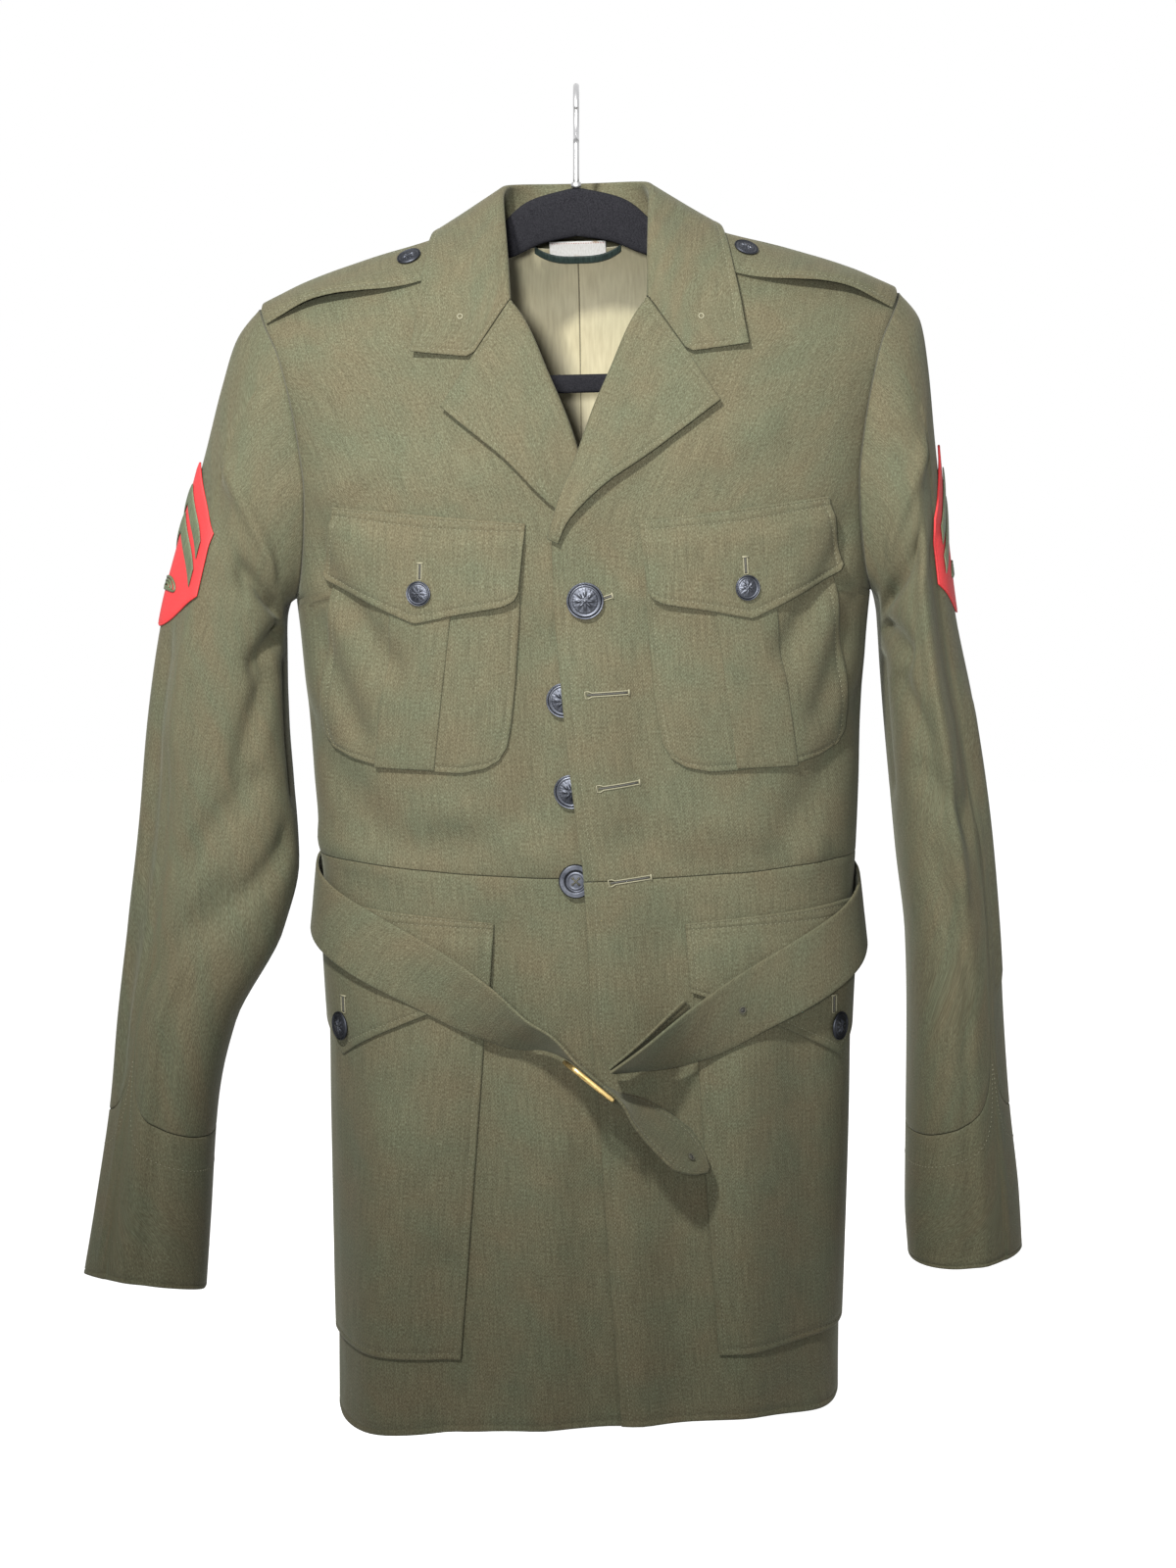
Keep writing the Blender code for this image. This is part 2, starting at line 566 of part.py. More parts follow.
def lapel_middle(side, rows, leaf_columns):
    """Middle points of a lapel: facing, rolled edge and leaf, from its low end to the gorge."""
    if side > 0:
        low = -293.0
        outer_rows = np.array([(-295, -15.5), (-282.5, -10.0), (-270.8, 0.3), (-256, 17.6), (-244.7, 34.8),
                               (-229, 58.4), (-205.8, 90.0)])
    else:
        low = -250.0
        outer_rows = np.array([(-278, 9.0), (-274.2, 14.9), (-240, 50.4), (-205.8, 90.0)])
    t = np.linspace(0, 1, rows)
    z = low + (-140.6 - low) * t
    roll = edge_right(z) if side > 0 else -edge_left(z)
    outer_z = outer_rows[0, 0] + (outer_rows[-1, 0] - outer_rows[0, 0]) * t
    outer_x = curve(outer_z, outer_rows[:, 0], outer_rows[:, 1])
    q = np.linspace(0, 1, leaf_columns)
    bend = 0.44
    gorge_x = np.where(q < bend, 46 + (GORGE[0] - 46) * q / bend,
                       GORGE[0] + (NOTCH[0] - GORGE[0]) * (q - bend) / (1 - bend))
    gorge_z = np.where(q < bend, -140.3 + (GORGE[1] + 140.0) * q / bend,
                       GORGE[1] + (NOTCH[1] - GORGE[1]) * (q - bend) / (1 - bend))
    gorge_z = gorge_z - 0.5
    leaf_x = roll[:, None] + (outer_x - roll)[:, None] * q
    leaf_z = z[:, None] + (outer_z - z)[:, None] * q
    straight_x = roll[-1] + (NOTCH[0] - roll[-1]) * q
    straight_z = z[-1] + (NOTCH[1] - z[-1]) * q
    pull = (t ** 2)[:, None]
    leaf_x = leaf_x + (gorge_x - straight_x) * pull
    leaf_z = leaf_z + (gorge_z - straight_z) * pull
    out_x = leaf_x[:, 1] - leaf_x[:, 0]
    out_z = leaf_z[:, 1] - leaf_z[:, 0]
    size = np.hypot(out_x, out_z)
    width = np.hypot(leaf_x[:, -1] - leaf_x[:, 0], leaf_z[:, -1] - leaf_z[:, 0])
    grids = []
    for d, off in FOLD:
        reach = np.minimum(d, 0.8 * width / (leaf_columns - 1)) if 0 < d < 5 else d
        p = body_at(side * (leaf_x[:, 0] + out_x / size * reach), leaf_z[:, 0] + out_z / size * reach)
        grids.append(raised(p, side, off))
    for k in range(1, leaf_columns):
        p = body_at(side * leaf_x[:, k], leaf_z[:, k])
        grids.append(raised(p, side, LEAF))
    return np.stack(grids, axis=0)


def collar_middle(stations, leaf_columns):
    """Middle points of the collar, from the left gorge round the neck to the right gorge."""
    s = np.linspace(0, 1, stations)
    half = curve(s, column(COLLAR, 0), COLLAR[:, 1:])
    neck = over_shoulder(half[:, 0], half[:, 1])
    rise = np.where(s > 0.3, 11.0 * (s - 0.3) / 0.7, 0)
    low = over_shoulder(half[:, 0] + 6 * (1 - s) ** 0.5, half[:, 1] + rise)
    fold = half[:, 2:5]
    edge = over_shoulder(half[:, 5], half[:, 6])
    edge = edge + normal(edge) * LEAF
    away = edge - fold
    away[:, 2] = 0
    away = away / np.linalg.norm(away, axis=1, keepdims=True)
    neck_in = neck - normal(neck) * 4.4 - away * 2.2
    low_in = low - normal(low) * 4.5
    up = np.array([0, 0, 1.0])
    open_up = smooth(s / 0.25)[:, None]
    stand = neck_in * 0.3 + fold * 0.7 - away * 1.8
    fold_in = lift_clear(fold - away * 1.4 - up * 1.2, 0.8)
    fold_out = lift_clear(fold + away * 1.4 - up * 0.6, 2.4)
    past = lift_clear(fold + away * 4.6 - up * 2.4, LEAF)
    q = np.linspace(0, 1, leaf_columns)
    q_bend = 0.44
    gorge = np.stack([np.where(q < q_bend, 46 + (GORGE[0] - 46) * q / q_bend,
                               GORGE[0] + (COLLAR_POINT[0] - GORGE[0]) * (q - q_bend) / (1 - q_bend)),
                      np.where(q < q_bend, -140 + (GORGE[1] + 140) * q / q_bend,
                               GORGE[1] + (COLLAR_POINT[1] - GORGE[1]) * (q - q_bend) / (1 - q_bend))], axis=1)
    gorge_points = body_at(gorge[:, 0], gorge[:, 1])
    gorge_points = gorge_points + normal(gorge_points) * LEAF
    direction = np.array([GORGE[0] - 46, GORGE[1] + 140])
    direction = direction / np.linalg.norm(direction)
    first = []
    for d, off in FOLD:
        p = body_at(46 + direction[0] * d, -140 + direction[1] * d)
        first.append(p + normal(p) * off)
    rows = [low_in, neck_in, stand, fold_in, fold_out, past]
    head = []
    for k, row in enumerate(rows):
        head.append(row * open_up + first[k] * (1 - open_up))
    leaf = past[:, None, :] + (edge - past)[:, None, :] * q[None, :, None]
    start = leaf[:1]
    leaf = leaf + (gorge_points - start[0])[None] * ((1 - smooth(s / 0.5)) ** 1.5)[:, None, None]
    leaf = lift_clear(leaf, LEAF)
    columns = head + [leaf[:, k] for k in range(1, leaf_columns)]
    right = np.stack(columns, axis=0)
    left = right * np.array([-1.0, 1, 1])
    return np.concatenate([left[:, :-1], right[:, ::-1]], axis=1)


def fill(bottom, top, left, right):
    """Coons patch from four border lines that share their corners."""
    nu = len(bottom)
    nv = len(left)
    u = np.linspace(0, 1, nu)[:, None, None]
    v = np.linspace(0, 1, nv)[None, :, None]
    return ((1 - v) * bottom[:, None] + v * top[:, None] + (1 - u) * left[None] + u * right[None]
            - (1 - u) * (1 - v) * bottom[0] - u * (1 - v) * bottom[-1] - (1 - u) * v * top[0] - u * v * top[-1])


def line(points, count):
    """Evenly spaced points along a polyline."""
    points = np.asarray(points, float)
    length = np.concatenate([[0], np.cumsum(np.linalg.norm(np.diff(points, axis=0), axis=1))])
    t = np.linspace(0, length[-1], count)
    return np.stack([np.interp(t, length, points[:, k]) for k in range(points.shape[1])], axis=1)


def chest_flap(side):
    count = 13
    bottom = line(CHEST_FLAP_BOTTOM, count)
    top = line(CHEST_FLAP_TOP, count)
    rows = np.array([0, 0.14, 0.3, 0.7, 1.0])
    plan = top[:, None] * (1 - rows[None, :, None]) + bottom[:, None] * rows[None, :, None]
    p = body_at(side * plan[..., 0], plan[..., 1])
    low = np.array([0.8, 1.0, 3.6, 3.7, 3.9])[None, :] + 0 * plan[..., 0]
    shell("chest_flap_" + tag(side), raised(p, side, low + TRIM), raised(p, side, low), "wool")


def chest_pocket_plan(columns, rows):
    return fill(line(CHEST_BOTTOM, columns), line(CHEST_TOP, columns), line(CHEST_SIDE_IN[::-1], rows),
                line(CHEST_SIDE_OUT[::-1], rows))


def pleat_height(plan):
    """Extra height of the box pleat at places on a chest pocket."""
    t = np.clip((plan[..., 1] + 293) / -150, 0, 1)
    a = PLEAT_TOP[0] + (PLEAT_BOTTOM[0] - PLEAT_TOP[0]) * t
    b = PLEAT_TOP[1] + (PLEAT_BOTTOM[1] - PLEAT_TOP[1]) * t
    ramp = 1.5
    return 0.9 * smooth((plan[..., 0] - a) / ramp) * smooth((b - plan[..., 0]) / ramp)


def chest_pocket(side):
    plan = chest_pocket_plan(12, 7)
    p = body_at(side * plan[..., 0], plan[..., 1])
    shell("chest_pocket_" + tag(side), raised(p, side, POCKET_LOW + TRIM + pleat_height(plan)),
          raised(p, side, POCKET_LOW), "wool")


def tag(side):
    return "right" if side > 0 else "left"


ARC_ANGLES = np.linspace(0, 360, 721)


def arc_table():
    p = body_round(ARC_ANGLES, np.full(ARC_ANGLES.shape, BELT_REFERENCE))
    return np.concatenate([[0], np.cumsum(np.linalg.norm(np.diff(p, axis=0), axis=1))])


ARC_LENGTHS = arc_table()


def wrap(along, z):
    """Point by distance round the body from the middle of the front."""
    along = np.asarray(along, float)
    angle = np.sign(along) * np.interp(np.abs(along), ARC_LENGTHS, ARC_ANGLES)
    return body_round(angle, z)


def along_of(x, z):
    return np.interp(angle_of(x, z), ARC_ANGLES, ARC_LENGTHS)


def hip_flap_plan(columns):
    middle = along_of(*HIP_BUTTON)
    q = np.linspace(-1, 1, columns)
    point = HIP_FLAP_EDGE + (HIP_FLAP_POINT - HIP_FLAP_EDGE) * (1 - np.abs(q)) ** 1.15
    rows = np.array([0, 0.14, 0.32, 0.7, 1.0])
    top = HIP_FLAP_TOP[0] + (HIP_FLAP_TOP[1] - HIP_FLAP_TOP[0]) * (1 - np.abs(q)) ** 0.7
    z = top[:, None] * (1 - rows) + point[:, None] * rows
    along = middle + q[:, None] * HIP_HALF + rows[None, :] * 4.0
    return np.stack([along, z], axis=-1)


def hip_pocket_plan(columns, rows):
    middle = along_of(*HIP_BUTTON)
    top, low = HIP_POCKET
    half = HIP_HALF - 2.5
    t0 = (top + 546) / (low + 546)
    corner = HIP_CORNER
    a = middle - half + HIP_LEAN * t0
    b = middle + half + HIP_LEAN * t0
    c = middle - half + HIP_LEAN
    d = middle + half + HIP_LEAN
    bottom = line([(c + 0.3, low + 0.3), (c + corner, low), (d - corner, low), (d - 0.3, low + 0.3)], columns)
    return fill(bottom, line([(a, top), (b, top)], columns), line([(c + 0.3, low + 0.3), (a, top)], rows),
                line([(d - 0.3, low + 0.3), (b, top)], rows))


def laid_round(name, plan, side, low, thick):
    p = wrap(side * plan[..., 0], plan[..., 1])
    shell(name, raised(p, side, low + thick), raised(p, side, low), "wool")


def strap(side):
    t = np.array([0, 0.07, 0.15, 0.22, 0.3, 0.38, 0.48, 0.59, 0.7, 0.81, 0.91, 1.0])
    x = STRAP[0, 0] + (STRAP[-1, 0] - STRAP[0, 0]) * t
    row = curve(x, column(STRAP, 0), STRAP[:, 1:])
    q = np.linspace(0, 1, 6)
    along = row[:, :1] * (1 - q) + row[:, 1:2] * q
    pinch = np.clip((96 - x) / 8, 0, 1)[:, None]
    middle = (row[:, :1] + row[:, 1:2]) / 2
    along = middle + (along - middle) * (1 - 0.45 * pinch)
    end_z = over_shoulder(x[-1] + 0 * q, along[-1])[:, 2]
    end_x = np.minimum(curve(end_z, column(ARMHOLE, 0), column(ARMHOLE, 1)) - 1.6, x[-1])
    place = x[0] + (end_x - x[0])[None, :] * t[:, None]
    p = over_shoulder(side * place, along)
    n = normal(p)
    lift = 0.6 + (row[:, 2:3] - 0.6) * (1 - 0.75 * q)
    shell("shoulder_strap_" + tag(side), p + n * (lift + TRIM)[..., None], p + n * lift[..., None], "wool")


def armhole_ring(side, angle):
    """Seam line where the sleeve joins, by angle round the sleeve, 0 at the top, front above zero."""
    top = -139.0
    low = -335.0
    z = (top + low) / 2 + (top - low) / 2 * np.cos(angle)
    x = curve(z, column(ARMHOLE, 0), column(ARMHOLE, 1))
    p = body_at(np.minimum(x, half_width(z) - 1e-6), z)
    p[..., 1] = p[..., 1] * np.sign(np.sin(angle))
    y_back = depth(z, True) / depth(z, False)
    p[..., 1] = np.where(np.sin(angle) < 0, p[..., 1] * y_back, p[..., 1])
    p[..., 0] = p[..., 0] * side
    return p


def sleeve_tube(side, angle, v):
    rows = SLEEVE_RIGHT if side > 0 else SLEEVE_LEFT
    row = curve(v * (len(rows) - 1), np.arange(len(rows)), rows)
    middle_x = (row[..., 0] + row[..., 2]) / 2
    middle_z = (row[..., 1] + row[..., 3]) / 2
    c = np.cos(angle)
    s = np.sin(angle)
    turned = np.where(c > 0, smooth(c / 0.4), 0.0)
    power = SLEEVE_INNER_POWER + (SLEEVE_OUTER_POWER[side] - SLEEVE_INNER_POWER) * turned
    soft = SLEEVE_CREASE_ROUND * turned
    size = ((s * s + soft) ** (power / 2) + np.abs(c) ** power) ** (1 / power)
    size = size / (soft ** (power / 2) + 1) ** (1 / power)
    x = middle_x + (row[..., 0] - middle_x) * c / size
    tilt = SLEEVE_TILT[side] * smooth((v - 0.55) / 0.45)
    z = middle_z + (row[..., 1] - middle_z) * c / size + tilt * s / size
    forward = SLEEVE_FORWARD[side]
    reach = np.where(s > 0, 1 - forward, 1 + forward)
    y = row[..., 5] - row[..., 4] * (forward + reach * s / size)
    return np.stack([x, y, z], axis=-1)


def sleeve_point(side, angle, v):
    """Outer face of a sleeve by angle round it and by share of the way from armhole to hem."""
    angle, v = np.broadcast_arrays(np.asarray(angle, float), np.asarray(v, float))
    start = armhole_ring(side, angle) + np.array([side * SLEEVE_GAP, 0, 0])
    left = 1 - smooth(v * (len(SLEEVE_LEFT) - 1) / 2.4)
    return sleeve_tube(side, angle, v) + (start - sleeve_tube(side, angle, 0 * v)) * left[..., None]


def sleeve_normal(side, angle, v):
    step = 1e-3
    low = np.maximum(v - step, 0)
    high = np.minimum(v + step, 1)
    du = sleeve_point(side, angle + step, v) - sleeve_point(side, angle - step, v)
    dv = sleeve_point(side, angle, high) - sleeve_point(side, angle, low)
    n = np.cross(du, dv)
    n = n / np.maximum(np.linalg.norm(n, axis=-1, keepdims=True), 1e-12)
    return n * side


def cuff_share(side, angle):
    """Share of the way down at which the cuff seam crosses each angle."""
    rows = SLEEVE_RIGHT if side > 0 else SLEEVE_LEFT
    tip = math.radians(CUFF_TIP_ANGLE)
    turn = np.abs((angle - tip + math.pi) % (2 * math.pi) - math.pi)
    around = turn * 50.0
    z = curve(around, column(CUFF_SEAM, 0), column(CUFF_SEAM, 1)) + CUFF_TILT * np.cos(angle)
    v = np.full(angle.shape, 0.8)
    for _ in range(40):
        v = np.clip(v + (sleeve_point(side, angle, v)[..., 2] - z) / 720.0, 0.3, 0.999)
    return v


def sleeve_angles():
    tip = CUFF_TIP_ANGLE
    near = [math.degrees(c / 50.0) for c in CUFF_COLUMNS]
    turns = sorted(set([-a for a in near[1:]] + near))
    rest = np.linspace(near[-1], 360 - near[-1], 12)[1:-1]
    return np.radians(np.array(turns + list(rest)) + tip)


def sleeve(side):
    angle = sleeve_angles()
    seam = cuff_share(side, angle)
    gap = 0.5 * SEAM / 720.0 * 1.2
    rows = np.concatenate([[0, 0.03, 0.07, 0.12, 0.18], np.linspace(0.27, 1, 7)])
    v = rows[None, :] * (seam - gap)[:, None]
    a = angle[:, None] + 0 * v
    p = sleeve_point(side, a, v)
    shell("sleeve_" + tag(side), p, p - sleeve_normal(side, a, v) * SLEEVE_CLOTH, "wool", wrap=True)
    rows = np.linspace(0, 1, 5)
    start = (seam + gap)[:, None]
    v = start + (1 - start) * rows[None, :]
    a = angle[:, None] + 0 * v
    p = sleeve_point(side, a, v)
    shell("cuff_" + tag(side), p, p - sleeve_normal(side, a, v) * SLEEVE_CLOTH, "wool", wrap=True)


def sleeve_at_height(side, around, z):
    """Sleeve face at a distance round from its outermost line and at a height."""
    around, z = np.broadcast_arrays(np.asarray(around, float), np.asarray(z, float))
    turns = np.linspace(-1.5, 1.5, 61)
    angle, level = np.broadcast_arrays(turns, z[..., None])
    v = np.full(angle.shape, 0.3)
    for _ in range(25):
        v = np.clip(v + (sleeve_point(side, angle, v)[..., 2] - level) / 800.0, 0.02, 0.98)
    p = sleeve_point(side, angle, v)
    length = np.cumsum(np.linalg.norm(np.diff(p, axis=-2), axis=-1), axis=-1)
    length = np.concatenate([0 * length[..., :1], length], axis=-1)
    length = length - length[..., 30:31]
    found = np.zeros(z.shape)
    share = np.zeros(z.shape)
    for place in np.ndindex(z.shape):
        found[place] = np.interp(around[place], length[place], turns)
        share[place] = np.interp(found[place], turns, v[place])
    return found, share


def patch_plan(columns, rows):
    """Shield outline as a grid: distance round and drop below the peak."""
    q = np.linspace(-1, 1, columns)
    top = PATCH_SHOULDER * np.abs(q)
    low = PATCH_TIP - (PATCH_TIP - PATCH_SIDE) * np.abs(q) ** 1.4
    t = np.linspace(0, 1, rows)
    drop = top[:, None] * (1 - t) + low[:, None] * t
    return np.stack([q[:, None] * PATCH_HALF + 0 * drop, drop], axis=-1)


def on_sleeve(name, side, plan, low, thick, kind):
    angle, v = sleeve_at_height(side, plan[..., 0] + PATCH_TURN[side], PATCH_TOP - plan[..., 1])
    p = sleeve_point(side, angle, v)
    n = sleeve_normal(side, angle, v)
    shell(name, p + n * (low + thick), p + n * low, kind)


def chevron_plan(drop, columns):
    q = np.linspace(-1, 1, columns)
    top = drop + CHEVRON_HALF / PATCH_HALF * PATCH_SHOULDER * np.abs(q)
    t = np.linspace(0, 1, 3)
    return np.stack([q[:, None] * CHEVRON_HALF + 0 * t, top[:, None] + CHEVRON_WIDTH * t], axis=-1)


def ribbon(name, path, count, half, thick, kind, taper=None, across=5):
    """Belt run: along, height, height off the body and twist, swept across its width."""
    t = np.linspace(0, len(path) - 1, count)
    row = spline(t, np.arange(len(path)), path)
    ahead = spline(np.minimum(t + 0.02, len(path) - 1), np.arange(len(path)), path)
    behind = spline(np.maximum(t - 0.02, 0), np.arange(len(path)), path)
    run = ahead[:, :2] - behind[:, :2]
    run = run / np.linalg.norm(run, axis=1, keepdims=True)
    direction = np.stack([-run[:, 1], run[:, 0]], axis=1)
    direction = np.where(direction[:, 1:] < 0, -direction, direction)
    q = np.linspace(-1, 1, across)
    wide = np.full(count, float(half)) if taper is None else half * taper(t / (len(path) - 1))
    twist = np.radians(row[:, 3])
    flat = wide[:, None] * q * np.cos(twist)[:, None]
    out = wide[:, None] * q * np.sin(twist)[:, None]
    p = wrap(row[:, :1] + direction[:, :1] * flat, row[:, 1:2] + direction[:, 1:] * flat)
    p = p + normal(p) * (row[:, 2:3] + out)[..., None]
    return sheet_between(name, p, thick, kind)


def lathe(name, profile, centre, axis, segments, kind):
    """Closed turned part: profile rows are (radius, height), first and last on the axis."""
    axis = axis / np.linalg.norm(axis)
    side = np.cross(axis, np.array([0.0, 0.0, 1.0]))
    if np.linalg.norm(side) < 0.1:
        side = np.array([1.0, 0.0, 0.0])
    side = side / np.linalg.norm(side)
    up = np.cross(axis, side)
    points = [centre + axis * profile[0][1]]
    for r, h in profile[1:-1]:
        for k in range(segments):
            a = 2 * math.pi * k / segments
            points.append(centre + axis * h + (side * math.cos(a) + up * math.sin(a)) * r)
    points.append(centre + axis * profile[-1][1])
    rings = len(profile) - 2
    last = len(points) - 1
    faces = []
    for k in range(segments):
        n = (k + 1) % segments
        faces.append((0, 1 + n, 1 + k))
        for r in range(rings - 1):
            a = 1 + r * segments
            b = a + segments
            faces.append((a + k, a + n, b + n, b + k))
        faces.append((1 + (rings - 1) * segments + k, 1 + (rings - 1) * segments + n, last))
    return make_mesh(name, np.array(points), faces, kind)


def metal_button(name, centre, axis, radius):
    """Domed metal button with a raised rim; its back is flat."""
    r = radius
    profile = [(0, 0.0), (0.9 * r, 0.0), (r, 0.1 * r), (0.93 * r, 0.18 * r), (0.6 * r, 0.22 * r), (0, 0.25 * r)]
    return lathe(name, profile, centre, axis, 14 if r > 9 else 10, "dark_metal")


def sewn_button(name, centre, axis, radius):
    """Flat button with a rim and a sunk middle."""
    r = radius
    profile = [(0, 0.0), (0.85 * r, 0.0), (r, 0.1 * r), (0.92 * r, 0.24 * r), (0.72 * r, 0.24 * r),
               (0.62 * r, 0.14 * r), (0, 0.14 * r)]
    return lathe(name, profile, centre, axis, 14, "dark_metal")


def seat(p, side, offset):
    q = raised(p[None], side, offset)[0]
    return q, normal(p[None])[0]


def buttons():
    for index, (name, x, z) in enumerate(FRONT_BUTTONS):
        p = body_at(np.array(x), np.array(z))
        if index == 0:
            centre, axis = seat(p, 1, SEAM + 0.6)
            metal_button(name, centre, axis, BUTTON_FRONT)
        else:
            centre, axis = seat(p, -1, SEAM + 0.8)
            make = sewn_button if index == 3 else metal_button
            make(name, centre, axis, BUTTON_FRONT * 0.95)
    for side in (-1, 1):
        p = body_at(np.array(side * CHEST_BUTTON[0]), np.array(CHEST_BUTTON[1]))
        centre, axis = seat(p, side, 3.8 + TRIM + SEAM + 0.4)
        metal_button("chest_button_" + tag(side), centre, axis, BUTTON_SMALL)
        p = body_at(np.array(side * HIP_BUTTON[0]), np.array(HIP_BUTTON[1]))
        centre, axis = seat(p, side, 3.2 + TRIM + SEAM)
        metal_button("hip_button_" + tag(side), centre, axis, BUTTON_HIP)
        p = over_shoulder(np.array(side * STRAP_BUTTON[0]), np.array(STRAP_BUTTON[1]))
        n = normal(p[None])[0]
        metal_button("strap_button_" + tag(side), p + n * (0.6 + TRIM + SEAM + 0.6), n, BUTTON_SMALL)


def tube(name, path, radius, kind, segments=8):
    """Round bar along an open path, closed at both ends."""
    path = np.asarray(path, float)
    tangent = np.gradient(path, axis=0)
    tangent = tangent / np.linalg.norm(tangent, axis=1, keepdims=True)
    ref = np.array([1.0, 0.0, 0.0])
    points = []
    for p, t in zip(path, tangent):
        a = np.cross(t, ref)
        a = a / np.linalg.norm(a)
        b = np.cross(t, a)
        for k in range(segments):
            angle = 2 * math.pi * k / segments
            points.append(p + (a * math.cos(angle) + b * math.sin(angle)) * radius)
    faces = []
    for i in range(len(path) - 1):
        for k in range(segments):
            n = (k + 1) % segments
            faces.append((i * segments + k, i * segments + n, (i + 1) * segments + n, (i + 1) * segments + k))
    faces.append(tuple(reversed(range(segments))))
    faces.append(tuple((len(path) - 1) * segments + k for k in range(segments)))
    return make_mesh(name, np.array(points), faces, kind)


def hanger():
    """Closed flat frame with the trouser bar, then the hook in the plane across it."""
    right = FRAME
    t = np.linspace(0, len(right) - 1, 20)
    row = curve(t, np.arange(len(right)), right)
    full = np.concatenate([row, (row * np.array([-1, 1, 1]))[::-1][1:-1]])
    step = np.roll(full[:, :2], -1, 0) - np.roll(full[:, :2], 1, 0)
    step = step / np.linalg.norm(step, axis=1, keepdims=True)
    out = np.stack([-step[:, 1], step[:, 0]], axis=1)
    section = np.radians(np.arange(0, 360, 45) + 22.5)
    grid = np.zeros((len(full), len(section), 3))
    for k, a in enumerate(section):
        reach = np.sign(math.cos(a)) * abs(math.cos(a)) ** 0.6 * full[:, 2]
        grid[:, k, 0] = full[:, 0] + out[:, 0] * reach
        grid[:, k, 2] = full[:, 1] + out[:, 1] * reach
        grid[:, k, 1] = np.sign(math.sin(a)) * abs(math.sin(a)) ** 0.6 * FRAME_HALF_DEPTH
    nu, nv = grid.shape[:2]
    faces = []
    for i in range(nu):
        for j in range(nv):
            k = (i + 1) % nu
            m = (j + 1) % nv
            faces.append((i * nv + j, k * nv + j, k * nv + m, i * nv + m))
    make_mesh("hanger_frame", grid.reshape(-1, 3), faces, "flock")
    angles = np.radians(np.linspace(-90, 170, 15))
    path = [(0, 0, -64.4), (0, 0, -50), (0, 0, -40)]
    path += [(0, HOOK_RADIUS * math.cos(a), HOOK_MIDDLE + HOOK_RADIUS * math.sin(a)) for a in angles]
    tube("hanger_hook", path, HOOK_WIRE, "steel", 6)


def buckle():
    """Rectangular bar frame that stands on edge, with the belt through it."""
    centre = wrap(np.array(BUCKLE_AT[0]), np.array(BUCKLE_AT[1])) + np.array([0, -BUCKLE_OUT, 0])
    along = np.array([0.77, 0.0, -0.64])
    out = np.array([0.122, -0.982, 0.146])
    out = out / np.linalg.norm(out)
    across = np.cross(along, out)
    centre = centre - across * BUCKLE_SHIFT
    half_a = BUCKLE_HALF_ALONG
    half_b = BUCKLE_HALF_OUT
    corner = BUCKLE_CORNER
    outline = []
    for sx, sy, start in ((1, 1, 0), (-1, 1, 90), (-1, -1, 180), (1, -1, 270)):
        for k in range(4):
            a = math.radians(start + 30 * k)
            outline.append((sx * (half_a - corner) + corner * math.cos(a),
                            sy * (half_b - corner) + corner * math.sin(a)))
    outline = np.array(outline)
    step = np.roll(outline, -1, 0) - np.roll(outline, 1, 0)
    step = step / np.linalg.norm(step, axis=1, keepdims=True)
    side = np.stack([step[:, 1], -step[:, 0]], axis=1)
    section = np.radians(np.arange(0, 360, 60))
    points = []
    for (a, b), (na, nb) in zip(outline, side):
        for turn in section:
            r = BUCKLE_WIRE * math.cos(turn)
            h = BUCKLE_WIRE * math.sin(turn)
            points.append(centre + along * (a + na * r) + out * (b + nb * r) + across * h)
    nu = len(outline)
    nv = len(section)
    faces = []
    for i in range(nu):
        for j in range(nv):
            k = (i + 1) % nu
            m = (j + 1) % nv
            faces.append((i * nv + j, k * nv + j, k * nv + m, i * nv + m))
    make_mesh("belt_buckle", np.array(points), faces, "brass")


def lining():
    for side in (-1, 1):
        c = np.linspace(0, 1, 8)
        t = np.linspace(0, 1, 7)
        top_x = 150 * c
        drop = curve(np.minimum(top_x, 62), column(NECK_BACK_DROP, 0), column(NECK_BACK_DROP, 1))
        along = np.where(top_x < 62, drop, 0) + 18
        top = over_shoulder(top_x, along)
        z = top[:, 2][:, None] * (1 - t) - 330 * t
        x = np.maximum(top_x[:, None] * (1 - 0 * t), 0.2)
        p = body_at(side * x, z, True)
        n = normal(p)
        shell("lining_" + tag(side), p - n * LINING_IN, p - n * (LINING_IN + LINING), "lining")
    x = np.linspace(-19.5, 19.5, 7)
    z = np.linspace(-106, -93, 4)
    grid_x, grid_z = np.meshgrid(x, z, indexing="ij")
    p = body_at(grid_x, grid_z, True)
    n = normal(p)
    under = LINING_IN + LINING + SEAM + 1.5
    shell("neck_label", p - n * under, p - n * (under + 1.0), "label")
    x = np.linspace(-30, 30, 13)
    sag = -105 + 8 * (np.abs(x) / 30) ** 3
    z = sag[:, None] + np.array([-2.6, 2.6])[None, :]
    p = body_at(x[:, None] + 0 * z, z, True)
    n = normal(p)
    off = under + 1.0 + SEAM + 0.1
    shell("hanging_loop", p - n * off, p - n * (off + 1.4), "loop")


def tongue_taper(t):
    return np.interp(t, [0, 0.72, 0.88, 1.0], [1, 1, 0.6, 0.08])


def belt():
    left = BELT_PATH_LEFT
    right = BELT_PATH_RIGHT
    total = 2 * np.interp(180, ARC_ANGLES, ARC_LENGTHS)
    back = right[::-1].copy()
    back[:, 0] = back[:, 0] - total
    back = back[1:] if back[0, 0] > left[-1, 0] - 20 else back
    path = np.concatenate([left, back])
    ribbon("belt", path, 47, BELT_HALF, BELT_THICK, "wool", across=4)
    ribbon("belt_tongue", TONGUE_PATH, 11, BELT_HALF, BELT_THICK, "wool", taper=tongue_taper)
    ribbon("belt_turnback", TURNBACK_PATH, 7, TURNBACK_HALF, BELT_THICK, "wool")


